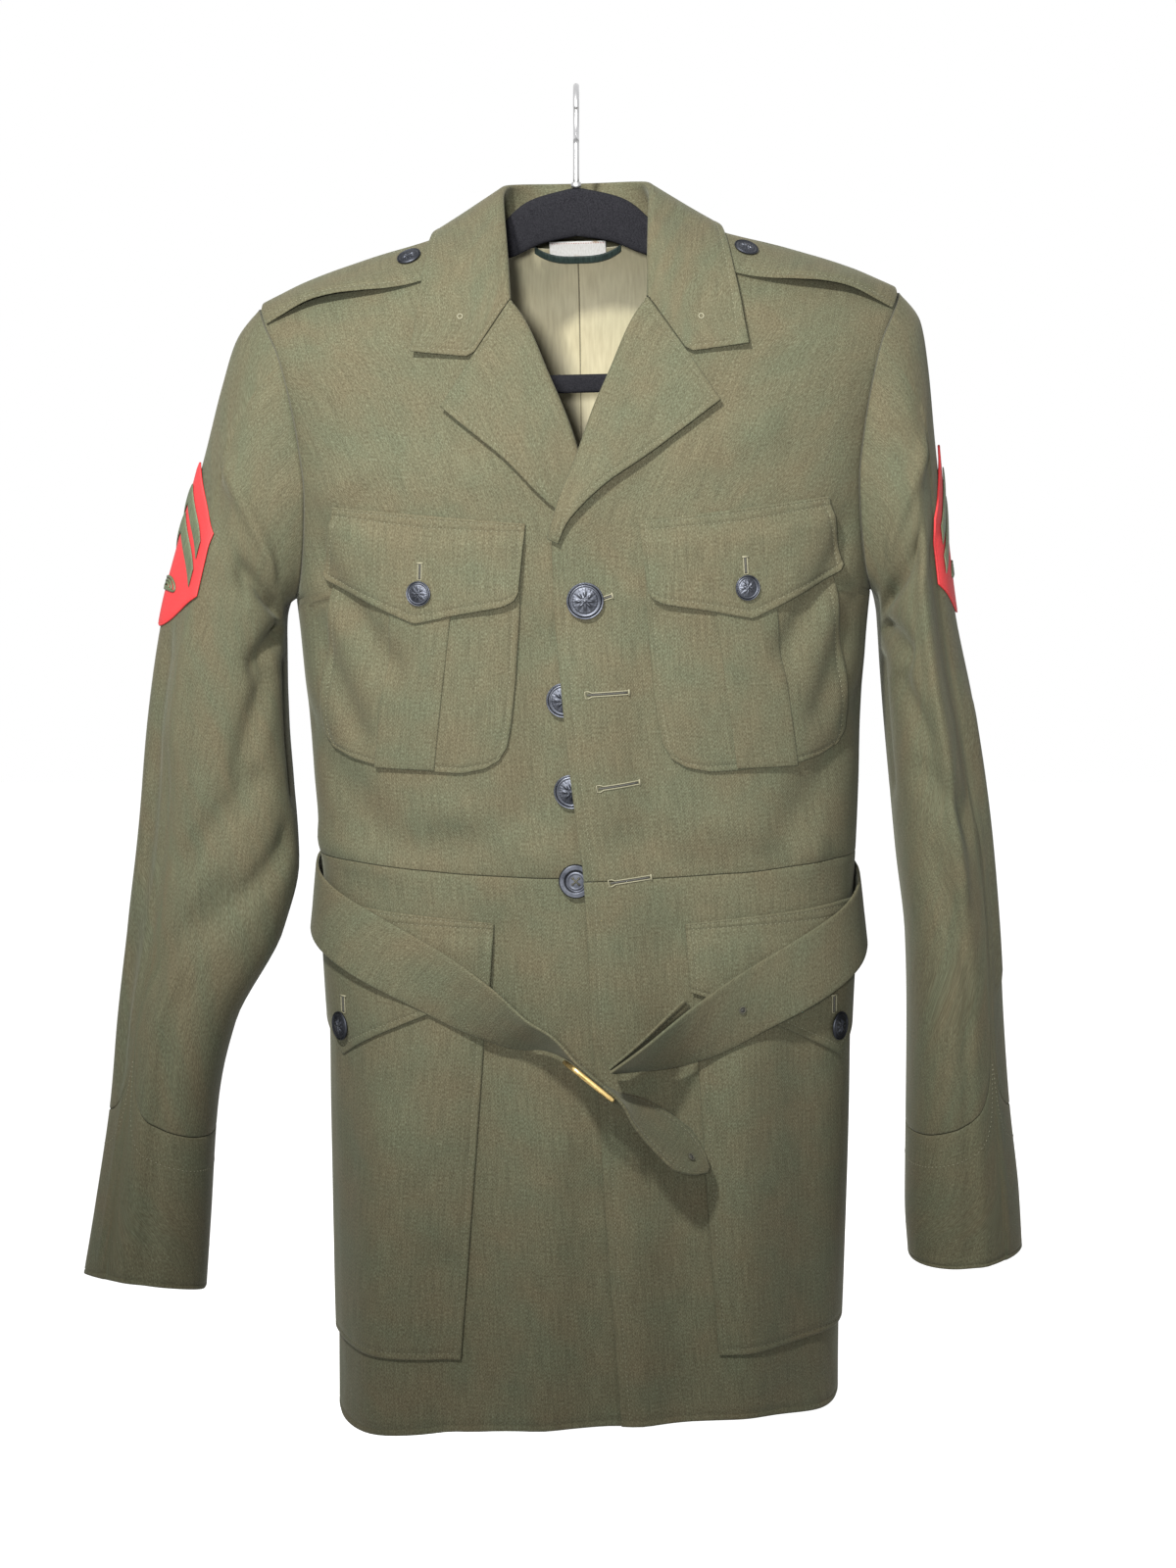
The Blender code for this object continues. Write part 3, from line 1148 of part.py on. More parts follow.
def build():
    for item in list(bpy.data.objects):
        bpy.data.objects.remove(item, do_unlink=True)
    group = bpy.data.collections.new(COLLECTION)
    bpy.context.scene.collection.children.link(group)
    for side in (-1, 1):
        body_shell("front_upper_" + tag(side), front_upper(side, 11, FRONT_ROWS), side, True)
        body_shell("front_skirt_" + tag(side), front_skirt(side, 10, 9), side, True)
        body_shell("back_upper_" + tag(side), back_panel(side, 13, BACK_ROWS), side, False)
        body_shell("back_skirt_" + tag(side), back_skirt(side, 9, 8), side, False)
        sheet_between("lapel_" + tag(side), lapel_middle(side, 12, 7), LAPEL_CLOTH, "wool")
        chest_pocket(side)
        chest_flap(side)
        laid_round("hip_pocket_" + tag(side), hip_pocket_plan(15, 6), side, POCKET_LOW, TRIM)
        lift = np.array([0.9, 1.1, 3.0, 3.1, 3.3])[None, :]
        laid_round("hip_flap_" + tag(side), hip_flap_plan(17), side, lift, TRIM)
        strap(side)
        sleeve(side)
        on_sleeve("patch_" + tag(side), side, patch_plan(11, 5), PATCH_LOW, PATCH_THICK, "scarlet")
        for number, drop in enumerate(CHEVRON_DROPS, 1):
            on_sleeve("chevron_%d_%s" % (number, tag(side)), side, chevron_plan(drop, 9),
                      PATCH_LOW + PATCH_THICK + SEAM + 0.3,
                      CHEVRON_THICK, "chevron")
    sheet_between("collar", collar_middle(14, 5), LAPEL_CLOTH, "wool")
    belt()
    buckle()
    buttons()
    lining()
    hanger()


build()
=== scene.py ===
"""Military dress jacket on its hanger: the visual model on the CAD frame, its stage, light and camera."""
import math

import bpy
import numpy as np
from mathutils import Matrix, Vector


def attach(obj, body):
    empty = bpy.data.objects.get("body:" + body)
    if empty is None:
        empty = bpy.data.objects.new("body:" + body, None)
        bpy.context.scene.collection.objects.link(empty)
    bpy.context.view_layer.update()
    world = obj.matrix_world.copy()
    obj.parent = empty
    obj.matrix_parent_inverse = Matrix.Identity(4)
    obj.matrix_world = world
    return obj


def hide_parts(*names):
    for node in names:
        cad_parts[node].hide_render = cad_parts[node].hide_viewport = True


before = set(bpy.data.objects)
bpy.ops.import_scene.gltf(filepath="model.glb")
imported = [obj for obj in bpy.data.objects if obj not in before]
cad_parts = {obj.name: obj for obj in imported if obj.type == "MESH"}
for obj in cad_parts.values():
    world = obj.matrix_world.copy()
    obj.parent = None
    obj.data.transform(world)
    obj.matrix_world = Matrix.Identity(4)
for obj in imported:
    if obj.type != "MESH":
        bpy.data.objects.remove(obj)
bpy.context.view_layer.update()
MM = 0.001

# Cloth thicknesses and gaps
CLOTH = 1.6
TRIM = 1.5
LINING = 1.2
SEAM = 0.3
LINING_IN = 4.2
SIDE_POWER = 2.5
SHOULDER_ROUND = 62.0
# Landmarks of the body, by height or distance from the middle
ARMPIT = -335
GORGE_LEVEL = -140
NECK_HALF = 62
SHOULDER_TIP = 213.6
WAIST_RUN = 182
# Angles that end a front and a back just short of the side seam and the centre back
SIDE_FRONT = 89.9
SIDE_BACK = 90.1
CENTRE_BACK = 179.95
TINY = 1e-6

# Body rings: height, half width, front depth, back depth
BODY = np.array([
    (-60, 236, 56, 50), (-100, 236, 64, 58), (-140, 234, 73, 70), (-180, 226, 84, 82),
    (-230, 210, 95, 92), (-280, 200, 103, 96), (-335, 194, 105, 96), (-400, 189, 104, 92),
    (-460, 185.5, 100, 88), (-520, 182, 97, 86), (-580, 178.5, 98, 90), (-660, 175.5, 100, 94),
    (-760, 174, 101, 96), (-920, 175, 102, 97)], float)
# Shoulder ridge: distance from the middle, height
RIDGE = np.array([(0, -74), (30, -76), (62, -84), (100, -97), (130, -107), (163, -119),
                  (187, -128), (214, -139), (260, -162)], float)
# Armhole seam: height, distance from the middle
ARMHOLE = np.array([(-139, 214), (-151, 208.5), (-170, 199), (-200, 191), (-230, 186), (-260, 183),
                    (-285, 184), (-305, 186), (-320, 188.5), (-329, 191.2), (-335, 194)], float)
# Lean on the hanger: height, shift to the right, rise per millimetre to the right
HANG = np.array([(-40, 0, 0.026), (-62, 0, 0.026), (-140, 2, 0.026), (-270, 3.8, 0.022),
                 (-335, 4.8, 0.017), (-420, 6, 0.008), (-520, 8.4, 0), (-620, 9.2, 0), (-700, 9, 0.004),
                 (-845, 8.5, 0.03), (-920, 8.3, 0.045)])
HANG_TOP = -30.0

# Seam heights by distance from the middle
WAIST = np.array([(0, -517), (60, -514), (120, -509), (185, -510)], float)
HEM = np.array([(0, -888), (60, -890), (128, -899), (178, -896)], float)
HEM_BACK = -893.0
WAIST_BACK = -511.0
# Share of an upper back's columns that lie under the neck
BACK_NECK_SHARE = 0.3

# Edge of the upper (right) front: height, place. Above -295 it is the roll line of the lapel.
EDGE_RIGHT = np.array([
    (-140, 46), (-153, 36.5), (-187, 20.7), (-211, 9.9), (-242, -1.8), (-274, -14.9), (-295, -19.7),
    (-337, -19.2), (-375, -16.5), (-434, -11.8), (-474, -8), (-523, -3), (-582, -0.5), (-627, 1.8),
    (-665, 6), (-729, 9.8), (-801, 15), (-888, 22), (-930, 25)], float)
# Edge of the under (left) front, from its roll line down to the part hidden by the right front
EDGE_LEFT = np.array([
    (-140, -46), (-153, -37), (-187, -22.5), (-223, -7.9), (-240, -2.5), (-265, 6), (-300, 14),
    (-337, 18), (-434, 22), (-523, 27), (-665, 36), (-801, 44), (-930, 52)], float)
# How far the right front rides over the buttons: height, lift at the edge
LAP_LIFT = np.array([(-190, 0), (-240, 5.6), (-282, 6.4), (-300, 4.0), (-322, 1.2), (-345, 1.2),
                     (-366, 3.0), (-386, 4.5), (-468, 4.5), (-526, 4.5), (-560, 2.4), (-640, 1.4),
                     (-930, 0.9)], float)
LAP_PLATEAU = 9.0
LAP_SINK = np.array([(-185, 0), (-240, 2.4), (-290, 2.4), (-330, 2.2), (-930, 2.1)], float)
LAP_BLEND_RIGHT = 44.0
LAP_BLEND_LEFT = 30.0
# Neckline above the roll line: height, distance from the middle
NECK = np.array([(-140, 46), (-125, 50), (-108, 55), (-95, 59.5), (-84, 62)], float)
NECK_BACK_DROP = np.array([(0, 40), (20, 38.5), (38, 33), (52, 22), (62, 0)], float)

# Folded edge of a lapel: distance out from the roll line, height of the cloth's middle
FOLD = np.array([(10, -3.2), (2.2, -3.2), (-1.5, -2.3), (-2.6, 0.3), (-1.5, 2.6), (2.4, 3.3)], float)
LAPEL_CLOTH = 1.4
LEAF = 3.3
GORGE = (70.0, -174.8)
NOTCH = (90.0, -205.8)
COLLAR_POINT = (109.0, -170.8)
# Share of the gorge line at which it turns from the collar seam to the notch
GORGE_BEND = 0.44
# Low end of each lapel's roll, and its free edge: height, place
LAPEL = {
    1: (-293.0, np.array([(-295, -15.5), (-282.5, -10.0), (-270.8, 0.3), (-256, 17.6), (-244.7, 34.8),
                          (-229, 58.4), (-205.8, 90.0)])),
    -1: (-250.0, np.array([(-278, 9.0), (-274.2, 14.9), (-240, 50.4), (-205.8, 90.0)])),
}

# Collar stations on one side: share of the way to the centre back; neck seam (x, along);
# fold (x, y, z); free edge (x, along). "Along" is measured over the shoulder, front below zero.
COLLAR = np.array([
    (0.00, 46.5, -95, 46.5, -74, -138, 109, -110),
    (0.15, 51.0, -78, 47.5, -54, -106, 105, -86),
    (0.30, 56.0, -55, 49.0, -31, -84, 100, -56),
    (0.45, 61.0, -24, 50.0, -8, -68, 96.5, -26),
    (0.60, 60.0, 10, 46.0, 15, -61, 92, 8),
    (0.80, 38.0, 33, 27.0, 34, -60, 62, 58),
    (1.00, 0.0, 40, 0.0, 41, -60, 0, 72)], float)

# Chest pocket and flap corners (distance from the middle, height)
CHEST_FLAP_TOP = ((36.3, -281.5), (161.0, -269.4))
CHEST_FLAP_BOTTOM = ((41.5, -326), (44.5, -331.5), (51.6, -335), (68, -337.8), (84, -340.6),
                     (97, -343.6), (109, -346), (128, -337.5), (147, -328.7), (164, -320.8),
                     (168.5, -318.3), (170.3, -314))
CHEST_TOP = ((39.6, -302.0), (163.2, -290.5))
CHEST_SIDE_IN = ((39.6, -302.0), (41.2, -341), (44.6, -385), (47.4, -410), (50.6, -427), (56.5, -436.3))
CHEST_SIDE_OUT = ((163.2, -290.5), (168, -330), (174.2, -380), (177.0, -412), (176.4, -424), (169.8, -432.6))
CHEST_BOTTOM = ((56.5, -436.3), (66, -442), (81, -445.2), (98.5, -444.6), (118, -443), (138.5, -441.6),
                (155, -438.4), (169.8, -432.6))
POCKET_LOW = 0.9
PLEAT_TOP = (79.5, 119.5)
PLEAT_BOTTOM = (98.5, 138.5)
# Heights of those two edges, and of the strip of the pleat that is built
PLEAT_LEVELS = (-293, -443)
PLEAT_FROM = -305
PLEAT_TO = -443.2
CHEST_BUTTON = (105.0, -325.7)

# Hip pocket: half width either side of the button and heights; "along" runs round the body
HIP_BUTTON = (165.0, -624.0)
HIP_HALF = 118.0
HIP_FLAP_TOP = (-546.5, -538.0)
HIP_FLAP_EDGE = -592.0
HIP_FLAP_POINT = -645.0
HIP_POCKET = (-575.0, -843.0)
HIP_LEAN = 24.0
HIP_CORNER = 16.0

# Shoulder strap: distance from the middle, front edge and back edge along, lift
STRAP = np.array([(88, -60, -18, 0.5), (98, -61, -17.5, 0.5), (110, -60.5, -15, 0.6), (124, -59, -11, 1.9),
                  (142, -55, -6, 4.2), (162, -49, 2, 5.4), (182, -44, 12, 4.4), (198, -43, 22, 2.2),
                  (211, -43, 30, 0.8)], float)
STRAP_BUTTON = (110.0, -36.0)

# Sleeves, worked out from their outlines: outer x, z; inner x, z; half depth; middle y
SLEEVE_LEFT = np.array([
    (-214, -139, -194, -335, 56, -1), (-229, -159, -199.5, -341, 62, 1), (-240, -191, -201.5, -350, 65, 3),
    (-252, -233, -202.5, -366, 66, 5), (-268, -287, -202.5, -392, 66, 7), (-285, -346, -202, -424, 66, 8),
    (-296, -411, -200, -465, 65, 8), (-305.5, -489, -198, -517, 63, 6), (-315.5, -560, -209.5, -566, 60, 3),
    (-324, -624, -243.5, -630, 58, 0), (-330, -681, -257, -687, 55, -2), (-342, -752, -263, -762, 52.5, -3),
    (-351, -799, -267, -811, 51, -3)], float)
SLEEVE_RIGHT = np.array([
    (214, -139, 194, -335, 56, -1), (228, -159, 198.5, -343, 64, 1), (233.5, -189, 200, -354, 69, 3),
    (238, -235, 201.5, -370, 73, 5), (244, -292, 203, -394, 75, 7), (251.5, -350, 205, -424, 76, 8),
    (264, -412, 207.5, -462, 75, 8), (273, -475, 211, -512, 72, 6), (281, -566, 217.5, -573, 67, 3),
    (284.5, -621, 219, -629, 64, 0), (290, -683, 219.5, -688, 60, -2), (298.5, -752, 220, -759, 56, -3),
    (301.5, -794, 223, -800, 54, -3)], float)
SLEEVE_CLOTH = 1.5
SLEEVE_GAP = 0.9
# How far the sleeve head is pulled in to close the armhole seam
HEAD_PULL = 0.65
# Half of the gap at the cuff seam, as a share of the way down the sleeve
CUFF_GAP = 0.6 * SEAM / 720
# Row of the stitches below the cuff seam, and share of the way down of the tacks above the hem
CUFF_STITCH_ROW = 6
CUFF_TACKS = 1 - 0.048
# Section of a sleeve, left and right: how sharp its outer crease is, how far forward it lies, hem tilt
SLEEVE_OUTER_POWER = {-1: 1.4, 1: 1.6}
SLEEVE_INNER_POWER = 2.2
SLEEVE_CREASE_ROUND = 0.02
SLEEVE_FORWARD = {-1: 0.3, 1: 0.12}
SLEEVE_TILT = {-1: 7.0, 1: 0.0}
CUFF_TIP_ANGLE = 51.0
# Cuff seam: distance round the sleeve from its tip, height
CUFF_SEAM = np.array([(0, -624), (1.6, -641), (3.2, -657), (8, -673), (18, -685), (33, -692),
                      (52, -695), (75, -697.5), (170, -699)], float)
CUFF_TILT = 6.0

# Shoulder patch outline on the outer side of the sleeve: half width at heights, and its chevrons
PATCH_TOP = -241.0
PATCH_HALF = 42.0
PATCH_TURN = {-1: 6.0, 1: 8.0}
PATCH_SHOULDER = 46.0
PATCH_SIDE = 88.0
PATCH_TIP = 110.0
PATCH_THICK = 1.4
PATCH_LOW = 0.9
CHEVRON_DROPS = (14.0, 33.0)
CHEVRON_WIDTH = 12.5
CHEVRON_HALF = 34.0
CHEVRON_THICK = 0.9

# Belt: along the body from the middle of the front (left below zero), height of its middle,
# height off the body, twist in degrees (top edge outwards)
BELT_HALF = 22.5
BELT_THICK = 2.0
BELT_PATH_LEFT = np.array([
    (5.6, -645.8, 30.0, 80), (-10.6, -632.0, 29.5, 80), (-28, -620.0, 25.5, 66), (-49, -613.5, 20, 48),
    (-76, -599, 14.0, 24), (-106, -583, 9.4, 6), (-142, -567, 8.0, 0), (-178, -553, 7.6, 0),
    (-220, -541, 7.6, 0), (-290, -531, 7.8, 0), (-340, -528, 7.6, 0), (-390, -527, 5.8, 0),
    (-452, -526, 5.4, 0)], float)
BELT_PATH_RIGHT = np.array([
    (14, -639, 30.0, 78), (31, -633, 27, 64), (52, -625, 21.5, 44), (77, -613.5, 15.5, 22),
    (107, -598, 10.0, 6), (142, -582, 8.2, 0), (182, -565, 7.8, 0), (222, -551, 7.6, 0), (290, -537, 7.8, 0),
    (340, -530, 7.6, 0), (390, -528, 5.8, 0), (452, -526, 5.4, 0)], float)
TONGUE_PATH = np.array([
    (6.1, -646.2, 30.0, 80), (19.4, -656, 29.5, 82), (31, -665.5, 27, 93), (45, -678.5, 24, 104),
    (60, -693, 21, 112), (77, -708.5, 18, 114)], float)
TURNBACK_PATH = np.array([(13.5, -637.0, 28, 77), (31, -626, 23, 66), (48, -615, 17.5, 50),
                          (66, -602.6, 14.5, 30)], float)
TURNBACK_HALF = 14.0
BUCKLE_AT = (-1.6, -644.0)
BUCKLE_OUT = 31.0
BUCKLE_SHIFT = 0.8
BUCKLE_HALF_ALONG = 16.5
BUCKLE_HALF_OUT = 26.5
BUCKLE_CORNER = 4.0
BUCKLE_WIRE = 1.5
BELT_REFERENCE = -600.0

# Hanger frame: distance from the middle, height of the bar's middle, half height
FRAME = np.array([(0, -80, 16), (25, -85.5, 15), (47, -98.5, 11), (64, -105, 9), (100, -108.2, 8.2),
                  (150, -125.2, 7), (180, -137, 6.6), (191, -149, 6.4), (190, -170, 6.2), (176, -188, 6.2),
                  (140, -194, 6.2), (60, -194, 6.2), (0, -194, 6.2)], float)
FRAME_HALF_DEPTH = 3.2
HOOK_RADIUS = 18.0
HOOK_WIRE = 2.0
HOOK_MIDDLE = -16.0

# Buttons: rim radius by kind, and places of the front ones (x, height)
BUTTON_FRONT = 12.0
BUTTON_SMALL = 8.2
BUTTON_HIP = 9.8
BUTTON_UNDONE = 0.95 * BUTTON_FRONT
FRONT_BUTTONS = (("front_button_1", 1.2, -331.9), ("front_button_2", -13.6, -396.8),
                 ("front_button_3", -10.0, -457.3), ("front_button_4", -8.4, -517.0))
# Heights of the buttons' backs off the body
BUTTON_OFF = {"top": SEAM + 0.6, "front": SEAM + 0.8, "chest": 4.2 + TRIM + SEAM, "hip": 3.9 + TRIM + SEAM,
              "strap": 1.2 + TRIM + SEAM}


def curve(t, ts, vs):
    """Smooth monotone curve through table points."""
    t = np.asarray(t, float)
    ts = np.asarray(ts, float)
    vs = np.asarray(vs, float)
    if ts[0] > ts[-1]:
        ts = ts[::-1]
        vs = vs[::-1]
    step = np.diff(ts)
    wide = step if vs.ndim == 1 else step[:, None]
    slope = np.diff(vs, axis=0) / wide
    tangent = np.zeros_like(vs)
    tangent[0] = slope[0]
    tangent[-1] = slope[-1]
    for k in range(1, len(ts) - 1):
        w1 = 2 * step[k] + step[k - 1]
        w2 = step[k] + 2 * step[k - 1]
        a = slope[k - 1]
        b = slope[k]
        safe_a = np.where(a * b > 0, a, 1.0)
        safe_b = np.where(a * b > 0, b, 1.0)
        tangent[k] = np.where(a * b > 0, (w1 + w2) / (w1 / safe_a + w2 / safe_b), 0.0)
    inside = np.clip(t, ts[0], ts[-1])
    k = np.clip(np.searchsorted(ts, inside, side="right") - 1, 0, len(ts) - 2)
    u = (inside - ts[k]) / step[k]
    h = step[k]
    if vs.ndim > 1:
        u = u[..., None]
        h = h[..., None]
    return ((2 * u ** 3 - 3 * u ** 2 + 1) * vs[k] + (u ** 3 - 2 * u ** 2 + u) * h * tangent[k]
            + (3 * u ** 2 - 2 * u ** 3) * vs[k + 1] + (u ** 3 - u ** 2) * h * tangent[k + 1])


def spline(t, ts, vs):
    """Curve with tangents from both neighbours, for paths that turn round."""
    t = np.asarray(t, float)
    ts = np.asarray(ts, float)
    vs = np.asarray(vs, float)
    tangent = np.gradient(vs, ts, axis=0)
    k = np.clip(np.searchsorted(ts, t, side="right") - 1, 0, len(ts) - 2)
    h = (ts[k + 1] - ts[k])[..., None]
    u = (t - ts[k])[..., None] / h
    return ((2 * u ** 3 - 3 * u ** 2 + 1) * vs[k] + (u ** 3 - 2 * u ** 2 + u) * h * tangent[k]
            + (3 * u ** 2 - 2 * u ** 3) * vs[k + 1] + (u ** 3 - u ** 2) * h * tangent[k + 1])


def column(rows, k):
    return rows[:, k]


def table(t, rows, value=1):
    """Value of a table at places in its first column."""
    return curve(t, column(rows, 0), column(rows, value))


def smooth(t):
    t = np.clip(t, 0.0, 1.0)
    return t * t * (3 - 2 * t)


def half_width(z):
    return table(z, BODY)


def depth(z, back):
    levels = column(BODY, 0)
    return np.where(back, curve(z, levels, column(BODY, 3)), curve(z, levels, column(BODY, 2)))


def ridge(x):
    return table(np.abs(x), RIDGE)


def roundness(x, z):
    """Share of the full depth that is left close to the shoulder ridge."""
    r = np.clip((ridge(x) - z) / SHOULDER_ROUND, 0.0, 1.0)
    return np.sqrt(np.clip(1 - (1 - r) ** 2, 0, 1))


def side_factor(x, z):
    return np.clip(1 - (np.abs(x) / half_width(z)) ** SIDE_POWER, 0, None) ** (1 / SIDE_POWER)


def body_at(x, z, back=False):
    """Point of the body's outer face at a place in front view."""
    x, z, back = np.broadcast_arrays(np.asarray(x, float), np.asarray(z, float), np.asarray(back))
    y = depth(z, back) * side_factor(x, z) * roundness(x, z)
    return np.stack([x, np.where(back, y, -y), z], axis=-1)


def body_round(angle, z):
    """Point of the body's outer face by angle, 0 at the front and 180 at the back, in degrees."""
    angle, z = np.broadcast_arrays(np.radians(np.asarray(angle, float)), np.asarray(z, float))
    s = np.sin(angle)
    c = np.cos(angle)
    size = (np.abs(s) ** SIDE_POWER + np.abs(c) ** SIDE_POWER) ** (1 / SIDE_POWER)
    x = half_width(z) * s / size
    y = depth(z, c < 0) * c / size * roundness(x, z)
    return np.stack([x, -y, z], axis=-1)


def angle_of(x, z):
    """Angle of a place in front view."""
    return np.degrees(np.arctan2(np.asarray(x, float) / half_width(z), side_factor(x, z)))


def over_shoulder(x, along):
    """Point by distance from the middle and distance over the ridge, front below zero."""
    x, along = np.broadcast_arrays(np.asarray(x, float), np.asarray(along, float))
    turn = np.clip(np.abs(along) / SHOULDER_ROUND, 0, math.pi / 2)
    rest = np.abs(along) - SHOULDER_ROUND * turn
    z = ridge(x) - SHOULDER_ROUND * (1 - np.cos(turn)) - rest
    back = along > 0
    y = depth(z, back) * side_factor(x, z) * np.sin(turn)
    return np.stack([x, np.where(back, y, -y), z], axis=-1)


def body_field(p):
    """Value that is zero on the body's outer face, below zero inside."""
    x = p[..., 0]
    y = p[..., 1]
    z = p[..., 2]
    r = np.minimum((ridge(x) - z) / SHOULDER_ROUND, 1.0)
    q = 1 - (np.abs(x) / half_width(z)) ** SIDE_POWER
    e = np.sign(q) * np.abs(q) ** (2 / SIDE_POWER)
    return (y / depth(z, y > 0)) ** 2 - (1 - (1 - r) ** 2) * e


def field_slope(p):
    step = 0.05
    parts = []
    for axis in range(3):
        shift = np.zeros(3)
        shift[axis] = step
        parts.append((body_field(p + shift) - body_field(p - shift)) / (2 * step))
    return np.stack(parts, axis=-1)


def normal(p):
    g = field_slope(p)
    return g / np.maximum(np.linalg.norm(g, axis=-1, keepdims=True), 1e-12)


def lift_clear(p, height):
    """Moves points out until they are at least this far off the body."""
    for _ in range(3):
        g = field_slope(p)
        size = np.maximum(np.linalg.norm(g, axis=-1), 1e-9)
        gap = body_field(p) / size
        push = np.clip(height - gap, 0, 12)
        p = p + g / size[..., None] * push[..., None]
    return p


def edge_right(z):
    return table(z, EDGE_RIGHT)


def edge_left(z):
    return table(z, EDGE_LEFT)


def lap(x, z, side):
    """Offset of a front where the two fronts cross: the right rides up, the left sinks."""
    away = x - edge_right(z)
    if side > 0:
        height = table(z, LAP_LIFT)
        return height * (1 - smooth((away - LAP_PLATEAU) / LAP_BLEND_RIGHT))
    return -table(z, LAP_SINK) * smooth(1 + (away + 6) / LAP_BLEND_LEFT)


def waist(x):
    return table(np.abs(x), WAIST)


def hem(x):
    return table(np.abs(x), HEM)


def hang(p):
    p = np.array(p, float)
    z = p[..., 2].copy()
    fade = smooth((HANG_TOP - z) / 20.0)
    p[..., 2] = z + table(z, HANG, 2) * p[..., 0] * fade
    p[..., 0] = p[..., 0] + table(z, HANG)
    return p


def front_upper(side, columns, rise):
    """Grid of an upper front: front edge and neckline to side seam and armhole, waist to shoulder."""
    gap = 0.5 * SEAM / 190
    c = gap + columns * (1 - 2 * gap)
    top_x = NECK_HALF + (SHOULDER_TIP - NECK_HALF) * c
    top_depth = depth(ridge(top_x), False) * side_factor(top_x, ridge(top_x))
    top_z = ridge(top_x) - SHOULDER_ROUND * 0.5 * (0.2 / top_depth) ** 2
    low = waist(WAIST_RUN * columns) + SEAM / 2
    z = low[:, None] + (top_z - low)[:, None] * rise[None, :]
    inner_x = np.where(z > GORGE_LEVEL, table(z, NECK),
                       edge_right(z) if side > 0 else -edge_left(z))
    arm = np.where(z > ARMPIT, table(z, ARMHOLE), half_width(z))
    arm_in = np.minimum(arm, half_width(z) - TINY)
    start = angle_of(inner_x, z)
    end = np.where(z > ARMPIT, angle_of(arm_in, z), SIDE_FRONT)
    even = start + (end - start) * c[:, None]
    blend = smooth((1 - np.sqrt(1 - rise) - 0.5) / 0.5)[None, :]
    level_x = inner_x + (arm_in - inner_x) * c[:, None]
    level_x = level_x + (top_x - level_x[:, -1])[:, None] * smooth((rise - 0.85) / 0.15)[None, :]
    level = angle_of(level_x, z)
    return body_round(side * (even * (1 - blend) + level * blend), z)


def front_skirt(side, columns, rows):
    x = WAIST_RUN * columns
    z = (waist(x) - SEAM / 2)[:, None] * (1 - rows) + hem(x)[:, None] * rows
    inner_x = edge_right(z) if side > 0 else -edge_left(z)
    left_angle = angle_of(inner_x, z)
    angle = left_angle + (SIDE_FRONT - left_angle) * columns[:, None]
    return body_round(side * angle, z)


def back_waist(c):
    return WAIST_BACK + (waist(WAIST_RUN * c) - WAIST_BACK) * smooth((c - 0.5) / 0.5)


def back_panel(side, columns, rise):
    """Grid of an upper back half: centre back to side seam and armhole, waist to shoulder and neck."""
    neck_share = BACK_NECK_SHARE
    c = columns
    neck_c = np.clip(c / neck_share, 0, 1)
    past_neck = NECK_HALF + (SHOULDER_TIP - NECK_HALF) * (c - neck_share) / (1 - neck_share)
    top_x = np.where(c < neck_share, NECK_HALF * neck_c, past_neck)
    along = np.where(c < neck_share, table(top_x, NECK_BACK_DROP), 0)
    top = over_shoulder(top_x, np.maximum(along, 0.2))
    low = back_waist(c) + SEAM / 2
    z = low[:, None] + (top[:, 2] - low)[:, None] * rise[None, :]
    arm = np.where(z > ARMPIT, table(z, ARMHOLE), half_width(z))
    arm_in = np.minimum(arm, half_width(z) - TINY)
    end = np.where(z > ARMPIT, 180 - angle_of(arm_in, z), SIDE_BACK)
    even = CENTRE_BACK + (end - CENTRE_BACK) * c[:, None]
    top_angle = 180 - angle_of(np.maximum(top_x, 0.15), top[:, 2])
    blend = smooth((1 - np.sqrt(1 - rise) - 0.55) / 0.45)[None, :]
    share = (CENTRE_BACK - top_angle) / np.maximum(CENTRE_BACK - end[:, -1], TINY)
    warped = CENTRE_BACK + (end - CENTRE_BACK) * (c[:, None] * (1 - blend) + share[:, None] * blend)
    angle = np.where(blend > 0, warped, even)
    return body_round(side * angle, z)


def back_skirt(side, columns, rows):
    c = columns
    near_side = smooth((c - 0.4) / 0.6)
    low = hem(178 * c) * near_side + HEM_BACK * (1 - near_side)
    high = back_waist(c) - SEAM / 2
    z = high[:, None] * (1 - rows) + low[:, None] * rows
    angle = CENTRE_BACK + (SIDE_BACK - CENTRE_BACK) * c[:, None] + 0 * z
    return body_round(side * angle, z)


def bent(q, start, first_run, corner, end):
    """Way along the gorge: one straight run to its corner, another to its end."""
    second = corner + (end - corner) * (q - GORGE_BEND) / (1 - GORGE_BEND)
    return np.where(q < GORGE_BEND, start + first_run * q / GORGE_BEND, second)


